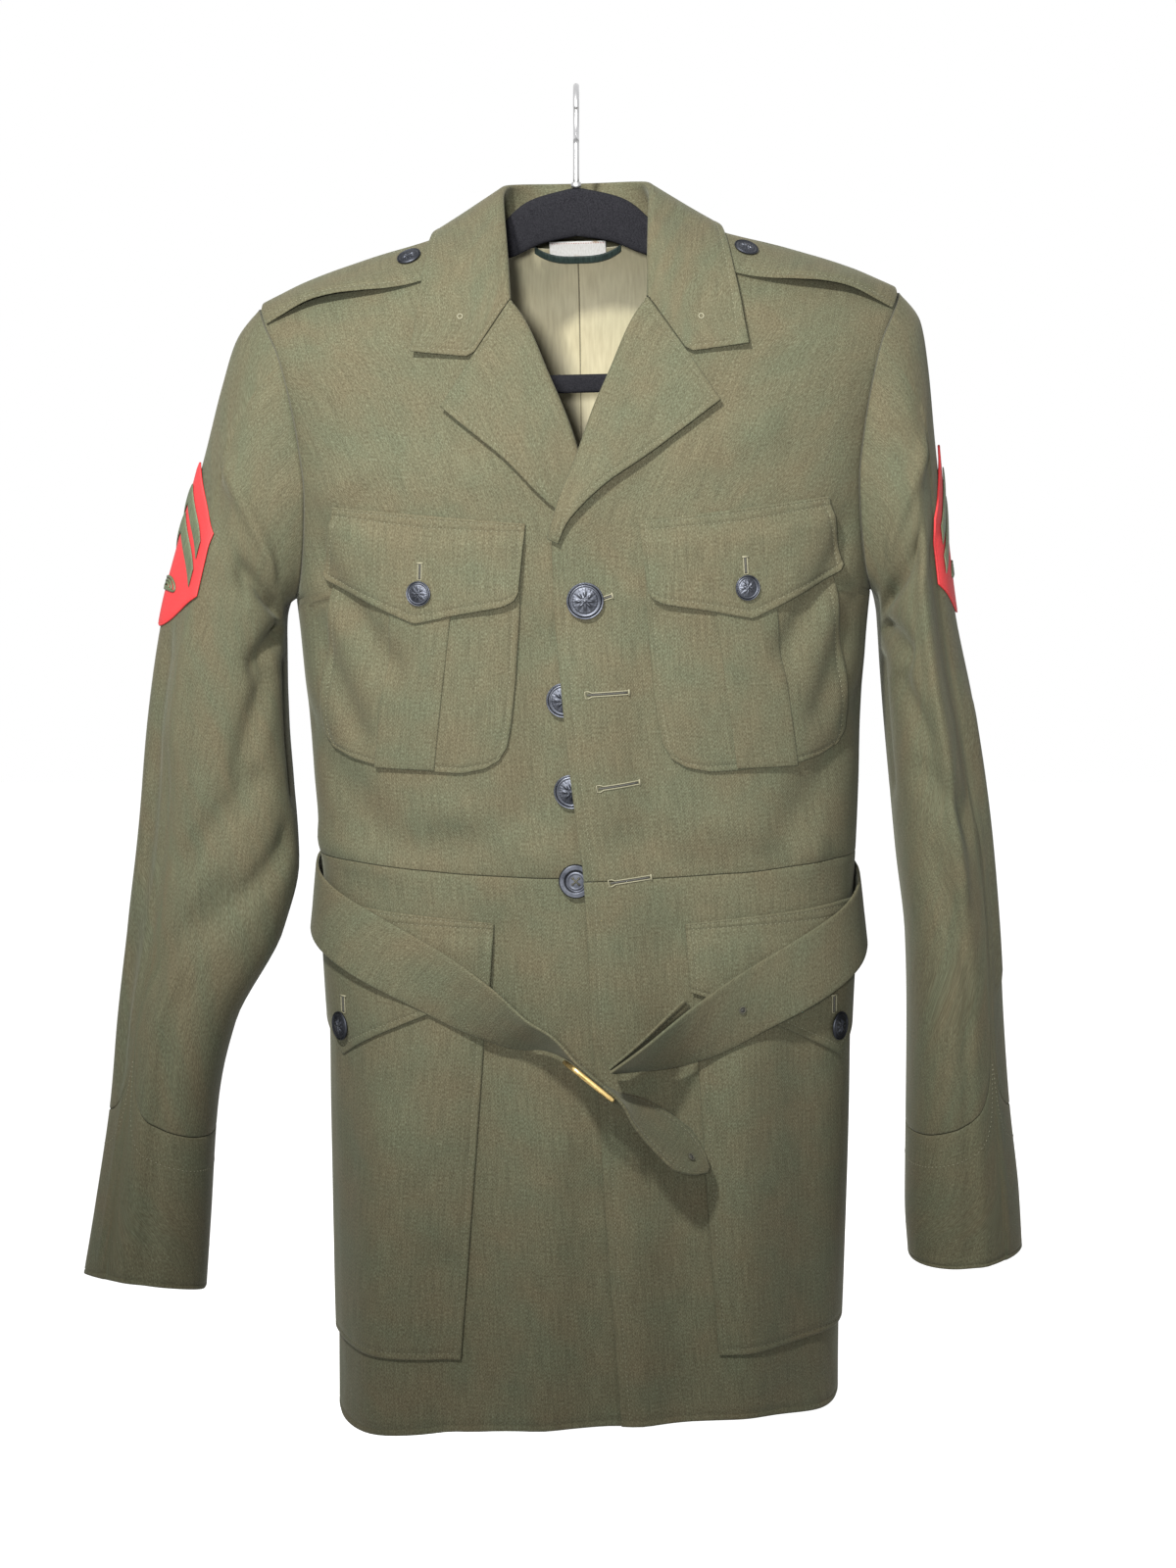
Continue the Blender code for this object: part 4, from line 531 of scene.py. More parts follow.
def lapel_middle(side, rows, leaf_columns):
    """Middle points of a lapel: facing, rolled edge and leaf, from its low end to the gorge."""
    low, outer_rows = LAPEL[side]
    t = rows
    z = low + (-140.6 - low) * t
    roll = edge_right(z) if side > 0 else -edge_left(z)
    outer_z = outer_rows[0, 0] + (outer_rows[-1, 0] - outer_rows[0, 0]) * t
    outer_x = curve(outer_z, outer_rows[:, 0], outer_rows[:, 1])
    wide = np.hypot(outer_x - roll, outer_z - z)
    edge = EDGES["stitched"][0]
    near = np.minimum(1 - edge[::-1][None, :] / np.maximum(wide, 1)[:, None], 1)
    near = np.maximum(near, 0.5 + 0.5 * np.linspace(0, 1, len(edge))[None, :] ** 0.5 * (wide < 12)[:, None])
    start = np.minimum(3.4 / np.maximum(wide, 1), 0.3)[:, None]
    inside = start + (near[:, :1] - start) * np.linspace(0, 1, leaf_columns)[None, :-1]
    q = np.concatenate([0 * start, inside, near], axis=1)
    gorge_x = bent(q, 46, GORGE[0] - 46, GORGE[0], NOTCH[0])
    gorge_z = bent(q, -140.3, GORGE[1] + 140.0, GORGE[1], NOTCH[1])
    gorge_z = gorge_z - 0.5
    leaf_x = roll[:, None] + (outer_x - roll)[:, None] * q
    leaf_z = z[:, None] + (outer_z - z)[:, None] * q
    straight_x = roll[-1] + (NOTCH[0] - roll[-1]) * q
    straight_z = z[-1] + (NOTCH[1] - z[-1]) * q
    pull = (t ** 2)[:, None]
    leaf_x = leaf_x + (gorge_x - straight_x) * pull
    leaf_z = leaf_z + (gorge_z - straight_z) * pull
    out_x = leaf_x[:, 1] - leaf_x[:, 0]
    out_z = leaf_z[:, 1] - leaf_z[:, 0]
    size = np.hypot(out_x, out_z)
    width = np.hypot(leaf_x[:, -1] - leaf_x[:, 0], leaf_z[:, -1] - leaf_z[:, 0])
    grids = []
    fold = spline(np.linspace(0, 5, 16), np.arange(6), FOLD)
    for d, off in fold:
        reach = np.minimum(d, 0.13 * width) if 0 < d < 5 else d
        p = body_at(side * (leaf_x[:, 0] + out_x / size * reach), leaf_z[:, 0] + out_z / size * reach)
        grids.append(dressed(p, side, off))
    for k in range(1, q.shape[1]):
        p = body_at(side * leaf_x[:, k], leaf_z[:, k])
        grids.append(dressed(p, side, LEAF))
    return np.stack(grids, axis=0)


def collar_middle(stations, leaf_columns):
    """Middle points of the collar, from the left gorge round the neck to the right gorge."""
    s = stations
    half = curve(s, column(COLLAR, 0), COLLAR[:, 1:])
    neck = over_shoulder(half[:, 0], half[:, 1])
    rise = np.where(s > 0.3, 11.0 * (s - 0.3) / 0.7, 0)
    low = over_shoulder(half[:, 0] + 6 * (1 - s) ** 0.5, half[:, 1] + rise)
    fold = half[:, 2:5]
    edge = over_shoulder(half[:, 5], half[:, 6])
    edge = edge + normal(edge) * LEAF
    away = edge - fold
    away[:, 2] = 0
    away = away / np.linalg.norm(away, axis=1, keepdims=True)
    neck_in = neck - normal(neck) * 4.4 - away * 2.2
    low_in = low - normal(low) * 4.5
    up = np.array([0, 0, 1.0])
    open_up = smooth(s / 0.25)[:, None]
    stand = neck_in * 0.3 + fold * 0.7 - away * 1.8
    fold_in = lift_clear(fold - away * 1.4 - up * 1.2, 0.8)
    fold_out = lift_clear(fold + away * 1.4 - up * 0.6, 2.4)
    past = lift_clear(fold + away * 4.6 - up * 2.4, LEAF)
    edge_rows = 1 - EDGES["stitched"][0][::-1] / 46.0
    q = np.concatenate([np.linspace(0, edge_rows[0], leaf_columns)[:-1], edge_rows])
    gorge_points = body_at(bent(q, 46, GORGE[0] - 46, GORGE[0], COLLAR_POINT[0]),
                           bent(q, -140, GORGE[1] + 140, GORGE[1], COLLAR_POINT[1]))
    gorge_points = gorge_points + normal(gorge_points) * LEAF
    direction = np.array([GORGE[0] - 46, GORGE[1] + 140])
    direction = direction / np.linalg.norm(direction)
    head = []
    for row, (d, off) in zip((low_in, neck_in, stand, fold_in, fold_out, past), FOLD):
        p = body_at(46 + direction[0] * d, -140 + direction[1] * d)
        head.append(row * open_up + (p + normal(p) * off) * (1 - open_up))
    leaf = past[:, None, :] + (edge - past)[:, None, :] * q[None, :, None]
    leaf = leaf + (gorge_points - leaf[0])[None] * ((1 - smooth(s / 0.5)) ** 1.5)[:, None, None]
    leaf = lift_clear(leaf, LEAF)
    turned = np.stack(head, axis=0)
    flat = turned.reshape(len(head), -1)
    turned = spline(np.linspace(0, len(head) - 1, 26), np.arange(len(head)), flat).reshape(26, -1, 3)
    right = np.concatenate([turned, leaf[:, 1:].transpose(1, 0, 2)], axis=0)
    left = right * np.array([-1.0, 1, 1])
    return np.concatenate([left[:, :-1], right[:, ::-1]], axis=1)


def tag(side):
    return "right" if side > 0 else "left"


def running(p, axis):
    """Distance run along one direction of a grid."""
    size = np.linalg.norm(np.diff(p, axis=axis), axis=-1)
    total = np.cumsum(size, axis=axis)
    zero = np.zeros_like(np.take(total, [0], axis=axis))
    return np.concatenate([zero, total], axis=axis)


ARC_ANGLES = np.linspace(0, 360, 721)


def arc_table():
    p = body_round(ARC_ANGLES, np.full(ARC_ANGLES.shape, BELT_REFERENCE))
    return running(p, 0)


ARC_LENGTHS = arc_table()


def wrap(along, z):
    """Point by distance round the body from the middle of the front."""
    along = np.asarray(along, float)
    angle = np.sign(along) * np.interp(np.abs(along), ARC_LENGTHS, ARC_ANGLES)
    return body_round(angle, z)


def along_of(x, z):
    return np.interp(angle_of(x, z), ARC_ANGLES, ARC_LENGTHS)


def hip_flap_plan(q, rows):
    middle = along_of(*HIP_BUTTON)
    point = HIP_FLAP_EDGE + (HIP_FLAP_POINT - HIP_FLAP_EDGE) * (1 - np.abs(q)) ** 1.15
    top = HIP_FLAP_TOP[0] + (HIP_FLAP_TOP[1] - HIP_FLAP_TOP[0]) * (1 - np.abs(q)) ** 0.7
    z = top[:, None] * (1 - rows) + point[:, None] * rows
    along = middle + q[:, None] * HIP_HALF + rows[None, :] * 4.0
    return np.stack([along, z], axis=-1)


def hip_pocket_plan(columns, rows):
    middle = along_of(*HIP_BUTTON)
    top, low = HIP_POCKET
    half = HIP_HALF - 2.5
    t0 = (top + 546) / (low + 546)
    corner = HIP_CORNER
    a = middle - half + HIP_LEAN * t0
    b = middle + half + HIP_LEAN * t0
    c = middle - half + HIP_LEAN
    d = middle + half + HIP_LEAN
    bottom = line_at([(c + 0.3, low + 0.3), (c + corner, low), (d - corner, low),
                      (d - 0.3, low + 0.3)], columns)
    return fill_at(bottom, line_at([(a, top), (b, top)], columns),
                   line_at([(c + 0.3, low + 0.3), (a, top)], rows),
                   line_at([(d - 0.3, low + 0.3), (b, top)], rows), columns, rows)


def strap(side, t, q):
    x = STRAP[0, 0] + (STRAP[-1, 0] - STRAP[0, 0]) * t
    row = curve(x, column(STRAP, 0), STRAP[:, 1:])
    along = row[:, :1] * (1 - q) + row[:, 1:2] * q
    pinch = np.clip((96 - x) / 8, 0, 1)[:, None]
    middle = (row[:, :1] + row[:, 1:2]) / 2
    along = middle + (along - middle) * (1 - 0.45 * pinch)
    end_z = over_shoulder(x[-1] + 0 * q, along[-1])[:, 2]
    end_x = np.minimum(table(end_z, ARMHOLE) - 1.6, x[-1])
    place = x[0] + (end_x - x[0])[None, :] * t[:, None]
    p = over_shoulder(side * place, along)
    n = normal(p)
    lift = 0.6 + (row[:, 2:3] - 0.6) * (1 - 0.75 * q)
    return p, n, lift


def armhole_ring(side, angle):
    """Seam line where the sleeve joins, by angle round the sleeve, 0 at the top, front above zero."""
    top = -139.0
    low = -335.0
    z = (top + low) / 2 + (top - low) / 2 * np.cos(angle)
    x = table(z, ARMHOLE)
    p = body_at(np.minimum(x, half_width(z) - 1e-6), z)
    p[..., 1] = p[..., 1] * np.sign(np.sin(angle))
    y_back = depth(z, True) / depth(z, False)
    p[..., 1] = np.where(np.sin(angle) < 0, p[..., 1] * y_back, p[..., 1])
    p[..., 0] = p[..., 0] * side
    return p


def sleeve_tube(side, angle, v):
    rows = SLEEVE_RIGHT if side > 0 else SLEEVE_LEFT
    row = curve(v * (len(rows) - 1), np.arange(len(rows)), rows)
    middle_x = (row[..., 0] + row[..., 2]) / 2
    middle_z = (row[..., 1] + row[..., 3]) / 2
    c = np.cos(angle)
    s = np.sin(angle)
    turned = np.where(c > 0, smooth(c / 0.4), 0.0)
    power = SLEEVE_INNER_POWER + (SLEEVE_OUTER_POWER[side] - SLEEVE_INNER_POWER) * turned
    soft = SLEEVE_CREASE_ROUND * turned
    size = ((s * s + soft) ** (power / 2) + np.abs(c) ** power) ** (1 / power)
    size = size / (soft ** (power / 2) + 1) ** (1 / power)
    x = middle_x + (row[..., 0] - middle_x) * c / size
    tilt = SLEEVE_TILT[side] * smooth((v - 0.55) / 0.45)
    z = middle_z + (row[..., 1] - middle_z) * c / size + tilt * s / size
    forward = SLEEVE_FORWARD[side]
    reach = np.where(s > 0, 1 - forward, 1 + forward)
    y = row[..., 5] - row[..., 4] * (forward + reach * s / size)
    return np.stack([x, y, z], axis=-1)


def sleeve_point(side, angle, v):
    """Outer face of a sleeve by angle round it and by share of the way from armhole to hem."""
    angle, v = np.broadcast_arrays(np.asarray(angle, float), np.asarray(v, float))
    start = armhole_ring(side, angle) + np.array([side * SLEEVE_GAP, 0, 0])
    left = 1 - smooth(v * (len(SLEEVE_LEFT) - 1) / 2.4)
    return sleeve_tube(side, angle, v) + (start - sleeve_tube(side, angle, 0 * v)) * left[..., None]


def sleeve_normal(side, angle, v):
    step = 1e-3
    low = np.maximum(v - step, 0)
    high = np.minimum(v + step, 1)
    du = sleeve_point(side, angle + step, v) - sleeve_point(side, angle - step, v)
    dv = sleeve_point(side, angle, high) - sleeve_point(side, angle, low)
    n = np.cross(du, dv)
    n = n / np.maximum(np.linalg.norm(n, axis=-1, keepdims=True), 1e-12)
    return n * side


def cuff_share(side, angle):
    """Share of the way down at which the cuff seam crosses each angle."""
    tip = math.radians(CUFF_TIP_ANGLE)
    turn = np.abs((angle - tip + math.pi) % (2 * math.pi) - math.pi)
    around = turn * 50.0
    z = table(around, CUFF_SEAM) + CUFF_TILT * np.cos(angle)
    v = np.full(angle.shape, 0.8)
    for _ in range(40):
        v = np.clip(v + (sleeve_point(side, angle, v)[..., 2] - z) / 720.0, 0.3, 0.999)
    return v


def sleeve_at_height(side, around, z):
    """Sleeve face at a distance round from its outermost line and at a height."""
    around, z = np.broadcast_arrays(np.asarray(around, float), np.asarray(z, float))
    turns = np.linspace(-1.5, 1.5, 61)
    angle, level = np.broadcast_arrays(turns, z[..., None])
    v = np.full(angle.shape, 0.3)
    for _ in range(25):
        v = np.clip(v + (sleeve_point(side, angle, v)[..., 2] - level) / 800.0, 0.02, 0.98)
    p = sleeve_point(side, angle, v)
    length = np.cumsum(np.linalg.norm(np.diff(p, axis=-2), axis=-1), axis=-1)
    length = np.concatenate([0 * length[..., :1], length], axis=-1)
    length = length - length[..., 30:31]
    found = np.zeros(z.shape)
    share = np.zeros(z.shape)
    for place in np.ndindex(z.shape):
        found[place] = np.interp(around[place], length[place], turns)
        share[place] = np.interp(found[place], turns, v[place])
    return found, share


def patch_plan(q, t):
    """Shield outline as a grid: distance round and drop below the peak."""
    top = PATCH_SHOULDER * np.abs(q)
    low = PATCH_TIP - (PATCH_TIP - PATCH_SIDE) * np.abs(q) ** 1.4
    drop = top[:, None] * (1 - t) + low[:, None] * t
    return np.stack([q[:, None] * PATCH_HALF + 0 * drop, drop], axis=-1)


def chevron_plan(drop, q, t):
    top = drop + CHEVRON_HALF / PATCH_HALF * PATCH_SHOULDER * np.abs(q)
    return np.stack([q[:, None] * CHEVRON_HALF + 0 * t, top[:, None] + CHEVRON_WIDTH * t], axis=-1)


def ribbon(path, share, q, half, taper=None):
    """Middle of a belt run: along, height, height off the body and twist, swept across its width."""
    t = (len(path) - 1) * share
    count = len(t)
    row = spline(t, np.arange(len(path)), path)
    ahead = spline(np.minimum(t + 0.02, len(path) - 1), np.arange(len(path)), path)
    behind = spline(np.maximum(t - 0.02, 0), np.arange(len(path)), path)
    run = ahead[:, :2] - behind[:, :2]
    run = run / np.linalg.norm(run, axis=1, keepdims=True)
    direction = np.stack([-run[:, 1], run[:, 0]], axis=1)
    direction = np.where(direction[:, 1:] < 0, -direction, direction)
    wide = np.full(count, float(half)) if taper is None else half * taper(t / (len(path) - 1))
    twist = np.radians(row[:, 3])
    flat = wide[:, None] * q * np.cos(twist)[:, None]
    out = wide[:, None] * q * np.sin(twist)[:, None]
    p = wrap(row[:, :1] + direction[:, :1] * flat, row[:, 1:2] + direction[:, 1:] * flat)
    p = p + normal(p) * (row[:, 2:3] + out)[..., None]
    return p

# Fine rows close to an edge: millimetres from it and how far the face sinks there
EDGES = {
    "seam": (np.array([0.0, 0.3, 1.0]), np.array([0.7, 0.25, 0.0])),
    "stitched": (np.array([0.0, 0.3, 1.0, 3.4, 4.3, 5.2]), np.array([0.75, 0.25, 0.0, 0.0, 0.5, 0.0])),
    "double": (np.array([0.0, 0.3, 1.0, 1.7, 2.3, 2.9, 6.2, 7.0, 7.8]),
               np.array([0.75, 0.25, 0.0, 0.0, 0.35, 0.0, 0.0, 0.4, 0.0])),
}
STITCH_ROW = 4
# Row of the hem tacks, counted from the hem
TACK_ROW = -22
# Height that the stitches down the front edge start below
EDGE_STITCH_TOP = -330


def spread(length, step, low="seam", high="seam", bend=None):
    """Shares of the way across a piece, how far the face sinks at each, and the rounding of its rims."""
    near, near_drop = EDGES[low]
    far, far_drop = EDGES[high]
    count = max(int(round((length - near[-1] - far[-1]) / step)), 2)
    middle = np.linspace(near[-1], length - far[-1], count + 1)[1:-1]
    place = np.concatenate([near, middle, length - far[::-1]]) / length
    drop = np.concatenate([near_drop, 0 * middle, far_drop[::-1]])
    rim = np.concatenate([near_drop * (near < 1.01), 0 * middle, (far_drop * (far < 1.01))[::-1]])
    if bend is not None:
        place = bend(place)
    return place, drop, rim


def pin(shares, value):
    """Moves the nearest share onto a value, so that a corner or peak has its own column."""
    shares[np.argmin(np.abs(shares - value))] = value


def hump(shares):
    """Rise from nothing at both ends to one in the middle."""
    return np.sin(np.clip(shares, 0, 1) * math.pi)


def across(a, b):
    """Larger of a value along each way of a grid."""
    return np.maximum(a[:, None], b[None, :])


def unit(v):
    """Vectors at a length of one."""
    return v / np.maximum(np.linalg.norm(v, axis=-1, keepdims=True), 1e-9)


def grid_normals(p, wrap=False):
    du = np.roll(p, -1, 0) - np.roll(p, 1, 0) if wrap else np.gradient(p, axis=0)
    dv = np.gradient(p, axis=1)
    n = np.cross(du, dv)
    return n / np.maximum(np.linalg.norm(n, axis=-1, keepdims=True), 1e-12)


def grid_line(i, j):
    return np.stack(np.broadcast_arrays(i, j), axis=-1)


def face_corners(nu, nv, wrap):
    """Grid places of each quad's corners, where the column after the last isn't the first again."""
    i, j = np.meshgrid(np.arange(nu if wrap else nu - 1), np.arange(nv - 1), indexing="ij")
    corner = [grid_line(i, j), grid_line(i + 1, j), grid_line(i + 1, j + 1), grid_line(i, j + 1)]
    return np.stack(corner, axis=2).reshape(-1, 4, 2)


def add_mesh(name, points, faces, kind, places=None):
    """Smooth object of millimetre points, its faces turned outwards, with places as UVs in metres."""
    placed = (hang(points) * MM).astype(np.float32)
    faces = [tuple(int(v) for v in f) for f in faces]
    volume = 0.0
    for f in faces:
        a = placed[f[0]].astype(float)
        for k in range(1, len(f) - 1):
            volume += float(np.dot(a, np.cross(placed[f[k]].astype(float), placed[f[k + 1]].astype(float))))
    if volume < 0:
        faces = [f[::-1] for f in faces]
        places = places[:, ::-1] if places is not None else None
    mesh = bpy.data.meshes.new(name)
    mesh.from_pydata(placed.tolist(), [], faces)
    if places is not None:
        layer = mesh.uv_layers.new(name="cloth")
        layer.data.foreach_set("uv", np.asarray(places, np.float32).reshape(-1) * MM)
    mesh.shade_smooth()
    mesh.materials.append(MATERIALS[kind])
    made = bpy.data.objects.new(name, mesh)
    bpy.context.scene.collection.objects.link(made)
    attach(made, "root")
    return made


# Each piece takes the next part of the weave, so that no two show the same stretch: steps in millimetres
WEAVE_STEP = np.array([137.0, 59.0])
SHIFT = [0]
# Least share of its bounding cut that a sheet's area is stated as
LEAST_AREA_SHARE = 0.31


def declare(middle):
    """Works out the flat cut of a sheet, its width, length and area, from the distances run across its
    middle; the values are not used.
    """
    wide = float(running(middle, 0)[-1].max()) * MM
    long = float(running(middle, 1)[:, -1].max()) * MM
    a = middle[1:, 1:] - middle[:-1, :-1]
    b = middle[1:, :-1] - middle[:-1, 1:]
    area = float(np.linalg.norm(np.cross(a, b), axis=-1).sum() / 2) * MM * MM
    area = min(max(area, LEAST_AREA_SHARE * wide * long), wide * long)


def sheet(name, outer, inner, kind, nodes=(), wrap=False, held=None):
    """Closed cloth piece between two grids, its UVs the distances run across it."""
    nu, nv = outer.shape[:2]
    around = np.concatenate([outer, outer[:1]]) if wrap else outer
    SHIFT[0] += 1
    places = np.stack([running(around, 0), running(around, 1)], axis=-1) + WEAVE_STEP * SHIFT[0]
    i = np.arange(nu if wrap else nu - 1)
    rims = [(grid_line(i + 1, 0), grid_line(i, 0)), (grid_line(i, nv - 1), grid_line(i + 1, nv - 1))]
    if not wrap:
        j = np.arange(nv - 1)
        rims += [(grid_line(0, j), grid_line(0, j + 1)), (grid_line(nu - 1, j + 1), grid_line(nu - 1, j))]
    face = face_corners(nu, nv, wrap)
    corner = [face, face[:, ::-1]] + [np.stack([a, b, b, a], axis=1) for a, b in rims]
    under = [(0, 0, 0, 0), (1, 1, 1, 1)] + [(0, 0, 1, 1)] * len(rims)
    faces = [c[..., 0] % nu * nv + c[..., 1] + np.array(k) * nu * nv for c, k in zip(corner, under)]
    corner = np.concatenate(corner)
    points = np.concatenate([outer.reshape(-1, 3), inner.reshape(-1, 3)])
    made = add_mesh(name, points, np.concatenate(faces), kind, places[corner[..., 0], corner[..., 1]])
    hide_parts(*nodes)
    if held:
        middle = (outer + inner) / 2
        declare(np.concatenate([middle, middle[:1]]) if wrap else middle)


def laid(name, p, n, low, thick, u, v, kind, nodes, held="hung"):
    """Piece that lies on a base grid: low is the height of its under face off the base."""
    drop = across(u[1], v[1])
    low = low + 0 * drop
    outer = p + n * (low + thick - np.minimum(drop, 0.55 * thick))[..., None]
    inner = p + n * (low + np.minimum(across(u[2], v[2]), 0.42 * thick))[..., None]
    sheet(name, outer, inner, kind, nodes, held=held)
    return outer


# Under faces of the flaps: share of the way down from the seam, height off the body
CHEST_FLAP_OVER = np.array([(0, 0.8), (0.14, 1.0), (0.3, 3.6), (0.7, 3.7), (1.0, 3.9)])
HIP_FLAP_OVER = np.array([(0, 0.9), (0.14, 1.1), (0.32, 3.0), (0.7, 3.1), (1.0, 3.3)])

# How much deeper and narrower every soft fold is than its row says
FOLD_SIZE = 2.8
FOLD_NARROW = 0.74
# Soft troughs and ridges on the body: start and end (x, z), width, height, front (-1) or back (1)
FOLDS = np.array([
    (-176, -300, -128, -372, 15, -2.4, -1), (-182, -338, -150, -420, 13, -1.9, -1),
    (-170, -262, -140, -246, 14, 1.6, -1), (-184, -420, -140, -486, 17, -1.6, -1),
    (-120, -500, -60, -486, 15, -1.2, -1), (-178, -500, -120, -512, 12, 1.1, -1),
    (-60, -250, -110, -252, 20, 1.2, -1), (-28, -360, -36, -470, 18, -1.4, -1),
    (-90, -470, -30, -505, 14, 1.0, -1), (-60, -560, -72, -860, 26, -2.0, -1),
    (-24, -700, -30, -880, 20, 1.7, -1), (-130, -700, -142, -880, 28, 1.9, -1),
    (-100, -780, -96, -888, 18, -1.6, -1), (-165, -640, -168, -880, 20, -1.3, -1),
    (178, -290, 134, -366, 15, -2.3, -1), (184, -332, 156, -408, 14, -1.8, -1),
    (186, -410, 130, -492, 18, -1.7, -1), (120, -224, 70, -240, 18, 1.1, -1),
    (45, -350, 38, -480, 17, -1.2, -1), (90, -478, 150, -500, 13, 1.2, -1),
    (20, -490, 90, -512, 13, -1.0, -1), (52, -560, 66, -870, 24, -1.8, -1),
    (96, -650, 108, -880, 22, 1.8, -1), (140, -600, 150, -870, 26, -1.7, -1),
    (26, -760, 34, -884, 18, 1.3, -1), (-176, -306, -120, -356, 17, -2.6, 1),
    (-180, -360, -130, -440, 18, -2.0, 1), (-60, -220, -36, -330, 26, 1.5, 1),
    (0, -300, 4, -480, 30, -1.6, 1), (-120, -470, -50, -500, 15, -1.8, 1),
    (-70, -440, 10, -490, 16, 1.3, 1), (178, -300, 122, -350, 17, -2.5, 1),
    (182, -370, 136, -450, 17, -1.9, 1), (58, -226, 40, -330, 24, 1.6, 1),
    (110, -474, 44, -500, 14, -1.9, 1), (70, -452, 20, -496, 15, 1.0, 1),
    (-110, -560, -124, -880, 27, -2.3, 1), (-60, -600, -66, -885, 24, 2.0, 1),
    (-16, -580, -22, -885, 18, -1.5, 1), (34, -590, 44, -885, 22, 1.8, 1),
    (84, -570, 98, -885, 25, -2.2, 1), (132, -600, 140, -880, 24, 1.6, 1)], float)


def fold(x, z, run_x, run_z, tall, width):
    """Soft rise beside a straight run that starts at the origin, at its full size on the run."""
    t = np.clip((x * run_x + z * run_z) / (run_x ** 2 + run_z ** 2), 0, 1)
    away = np.hypot(x - run_x * t, (z - run_z * t) * tall)
    return FOLD_SIZE * np.exp(-(away / (width * FOLD_NARROW)) ** 2)


def creased(p):
    """Height of the soft folds at points of the body."""
    x = p[..., 0]
    z = p[..., 2]
    total = np.zeros(x.shape)
    for x0, z0, x1, z1, width, height, face in FOLDS:
        near = smooth(np.where(face < 0, -p[..., 1], p[..., 1]) / 25.0)
        total = total + fold(x - x0, z - z0, x1 - x0, z1 - z0, 0.8, width) * height * near
    wave = 0.5 * np.sin(x / 31.0 + z / 47.0) + 0.4 * np.sin(x / 19.0 - z / 88.0 + 1.3)
    arm = table(z, ARMHOLE)
    fade = smooth((ridge(x) - z) / 90.0) * (1 - (1 - smooth((arm - np.abs(x)) / 22)) * smooth((z + 372) / 36))
    return (total + wave * 0.7) * fade


def dressed(p, side, offset):
    """Points moved off the body face along with its lap and its soft folds."""
    front = p[..., 1] < 0
    extra = np.where(front, lap(p[..., 0], p[..., 2], side), 0.0) + creased(p)
    return p + normal(p) * (extra + offset)[..., None]


# Millimetres round a sleeve for each degree, and from its armhole to its hem
SLEEVE_DEGREE = 1.05
SLEEVE_RUN = 700
# Troughs on a sleeve: angle in degrees and share of the way down at each end, width, height
SLEEVE_FOLDS = {
    -1: np.array([
        (150, 0.16, 96, 0.27, 13, -3.0), (165, 0.2, 120, 0.36, 12, -2.4), (120, 0.14, 60, 0.2, 14, 1.6),
        (140, 0.34, 110, 0.5, 13, -2.0), (128, 0.5, 70, 0.6, 13, -2.2), (150, 0.56, 95, 0.66, 12, -2.0),
        (100, 0.62, 60, 0.7, 14, -1.5), (60, 0.3, 50, 0.5, 20, 1.6), (30, 0.44, 24, 0.62, 16, -1.3),
        (-60, 0.2, -100, 0.34, 15, -2.4), (-110, 0.4, -60, 0.5, 14, -2.0), (-130, 0.5, -70, 0.62, 13, -2.4),
        (-70, 0.62, -110, 0.72, 13, -1.8), (-40, 0.3, -46, 0.5, 18, 1.5), (-90, 0.74, -96, 0.98, 16, 1.2),
        (180, 0.3, 175, 0.5, 14, -1.6), (90, 0.72, 96, 0.98, 15, -1.2),
        (20, 0.68, 30, 0.8, 16, -1.0)], float),
    1: np.array([
        (148, 0.15, 92, 0.26, 13, -3.0), (160, 0.21, 118, 0.35, 12, -2.2), (116, 0.13, 64, 0.19, 14, 1.5),
        (136, 0.36, 104, 0.48, 14, -1.8), (120, 0.5, 66, 0.58, 13, -1.7), (90, 0.3, 84, 0.62, 11, 1.8),
        (112, 0.6, 80, 0.7, 14, -1.3), (58, 0.32, 52, 0.56, 18, -1.4), (30, 0.5, 26, 0.7, 16, 1.2),
        (-60, 0.22, -98, 0.36, 15, -2.2), (-106, 0.42, -62, 0.5, 14, -1.9),
        (-126, 0.52, -74, 0.62, 13, -2.2), (-72, 0.64, -108, 0.74, 13, -1.6), (-40, 0.3, -44, 0.5, 18, 1.4),
        (-88, 0.74, -94, 0.98, 16, 1.1), (176, 0.3, 172, 0.5, 14, -1.5),
        (86, 0.74, 92, 0.98, 15, -1.1)], float),
}
# Pressed crease down the front of each sleeve: angle, start and end shares, height
PRESSED = {-1: (38.0, 0.3, 0.99, 1.3), 1: (44.0, 0.3, 0.99, 1.0)}


def sleeve_height(side, angle, v):
    turn = np.degrees(angle)
    total = np.zeros(np.broadcast(angle, v).shape)
    for a0, v0, a1, v1, width, height in SLEEVE_FOLDS[side]:
        x = ((turn - a0 + 180) % 360 - 180) * SLEEVE_DEGREE
        z = (v - v0) * SLEEVE_RUN
        total = total + fold(x, z, (a1 - a0) * SLEEVE_DEGREE, (v1 - v0) * SLEEVE_RUN, 0.85, width) * height
    a, start, end, high = PRESSED[side]
    off = ((turn - a + 180) % 360 - 180) * SLEEVE_DEGREE
    share = smooth((v - start) / 0.2) * smooth((end - v) / 0.02)
    total = total + high * share * np.exp(-np.abs(off) / 5.0)
    total = total + 0.5 * np.sin(turn / 17.0 + v * 9.0) * smooth(v / 0.1)
    return total


def sleeve_face(side, angle, v, offset):
    p = sleeve_point(side, angle, v)
    n = sleeve_normal(side, angle, v)
    lift = sleeve_height(side, angle, v) * smooth(v / 0.06)
    return p + n * (lift + offset)[..., None], n


def line_at(points, share):
    """Points of a polyline at shares of its length."""
    points = np.asarray(points, float)
    length = running(points, 0)
    at = share * length[-1]
    return np.stack([np.interp(at, length, points[:, k]) for k in range(points.shape[1])], axis=1)


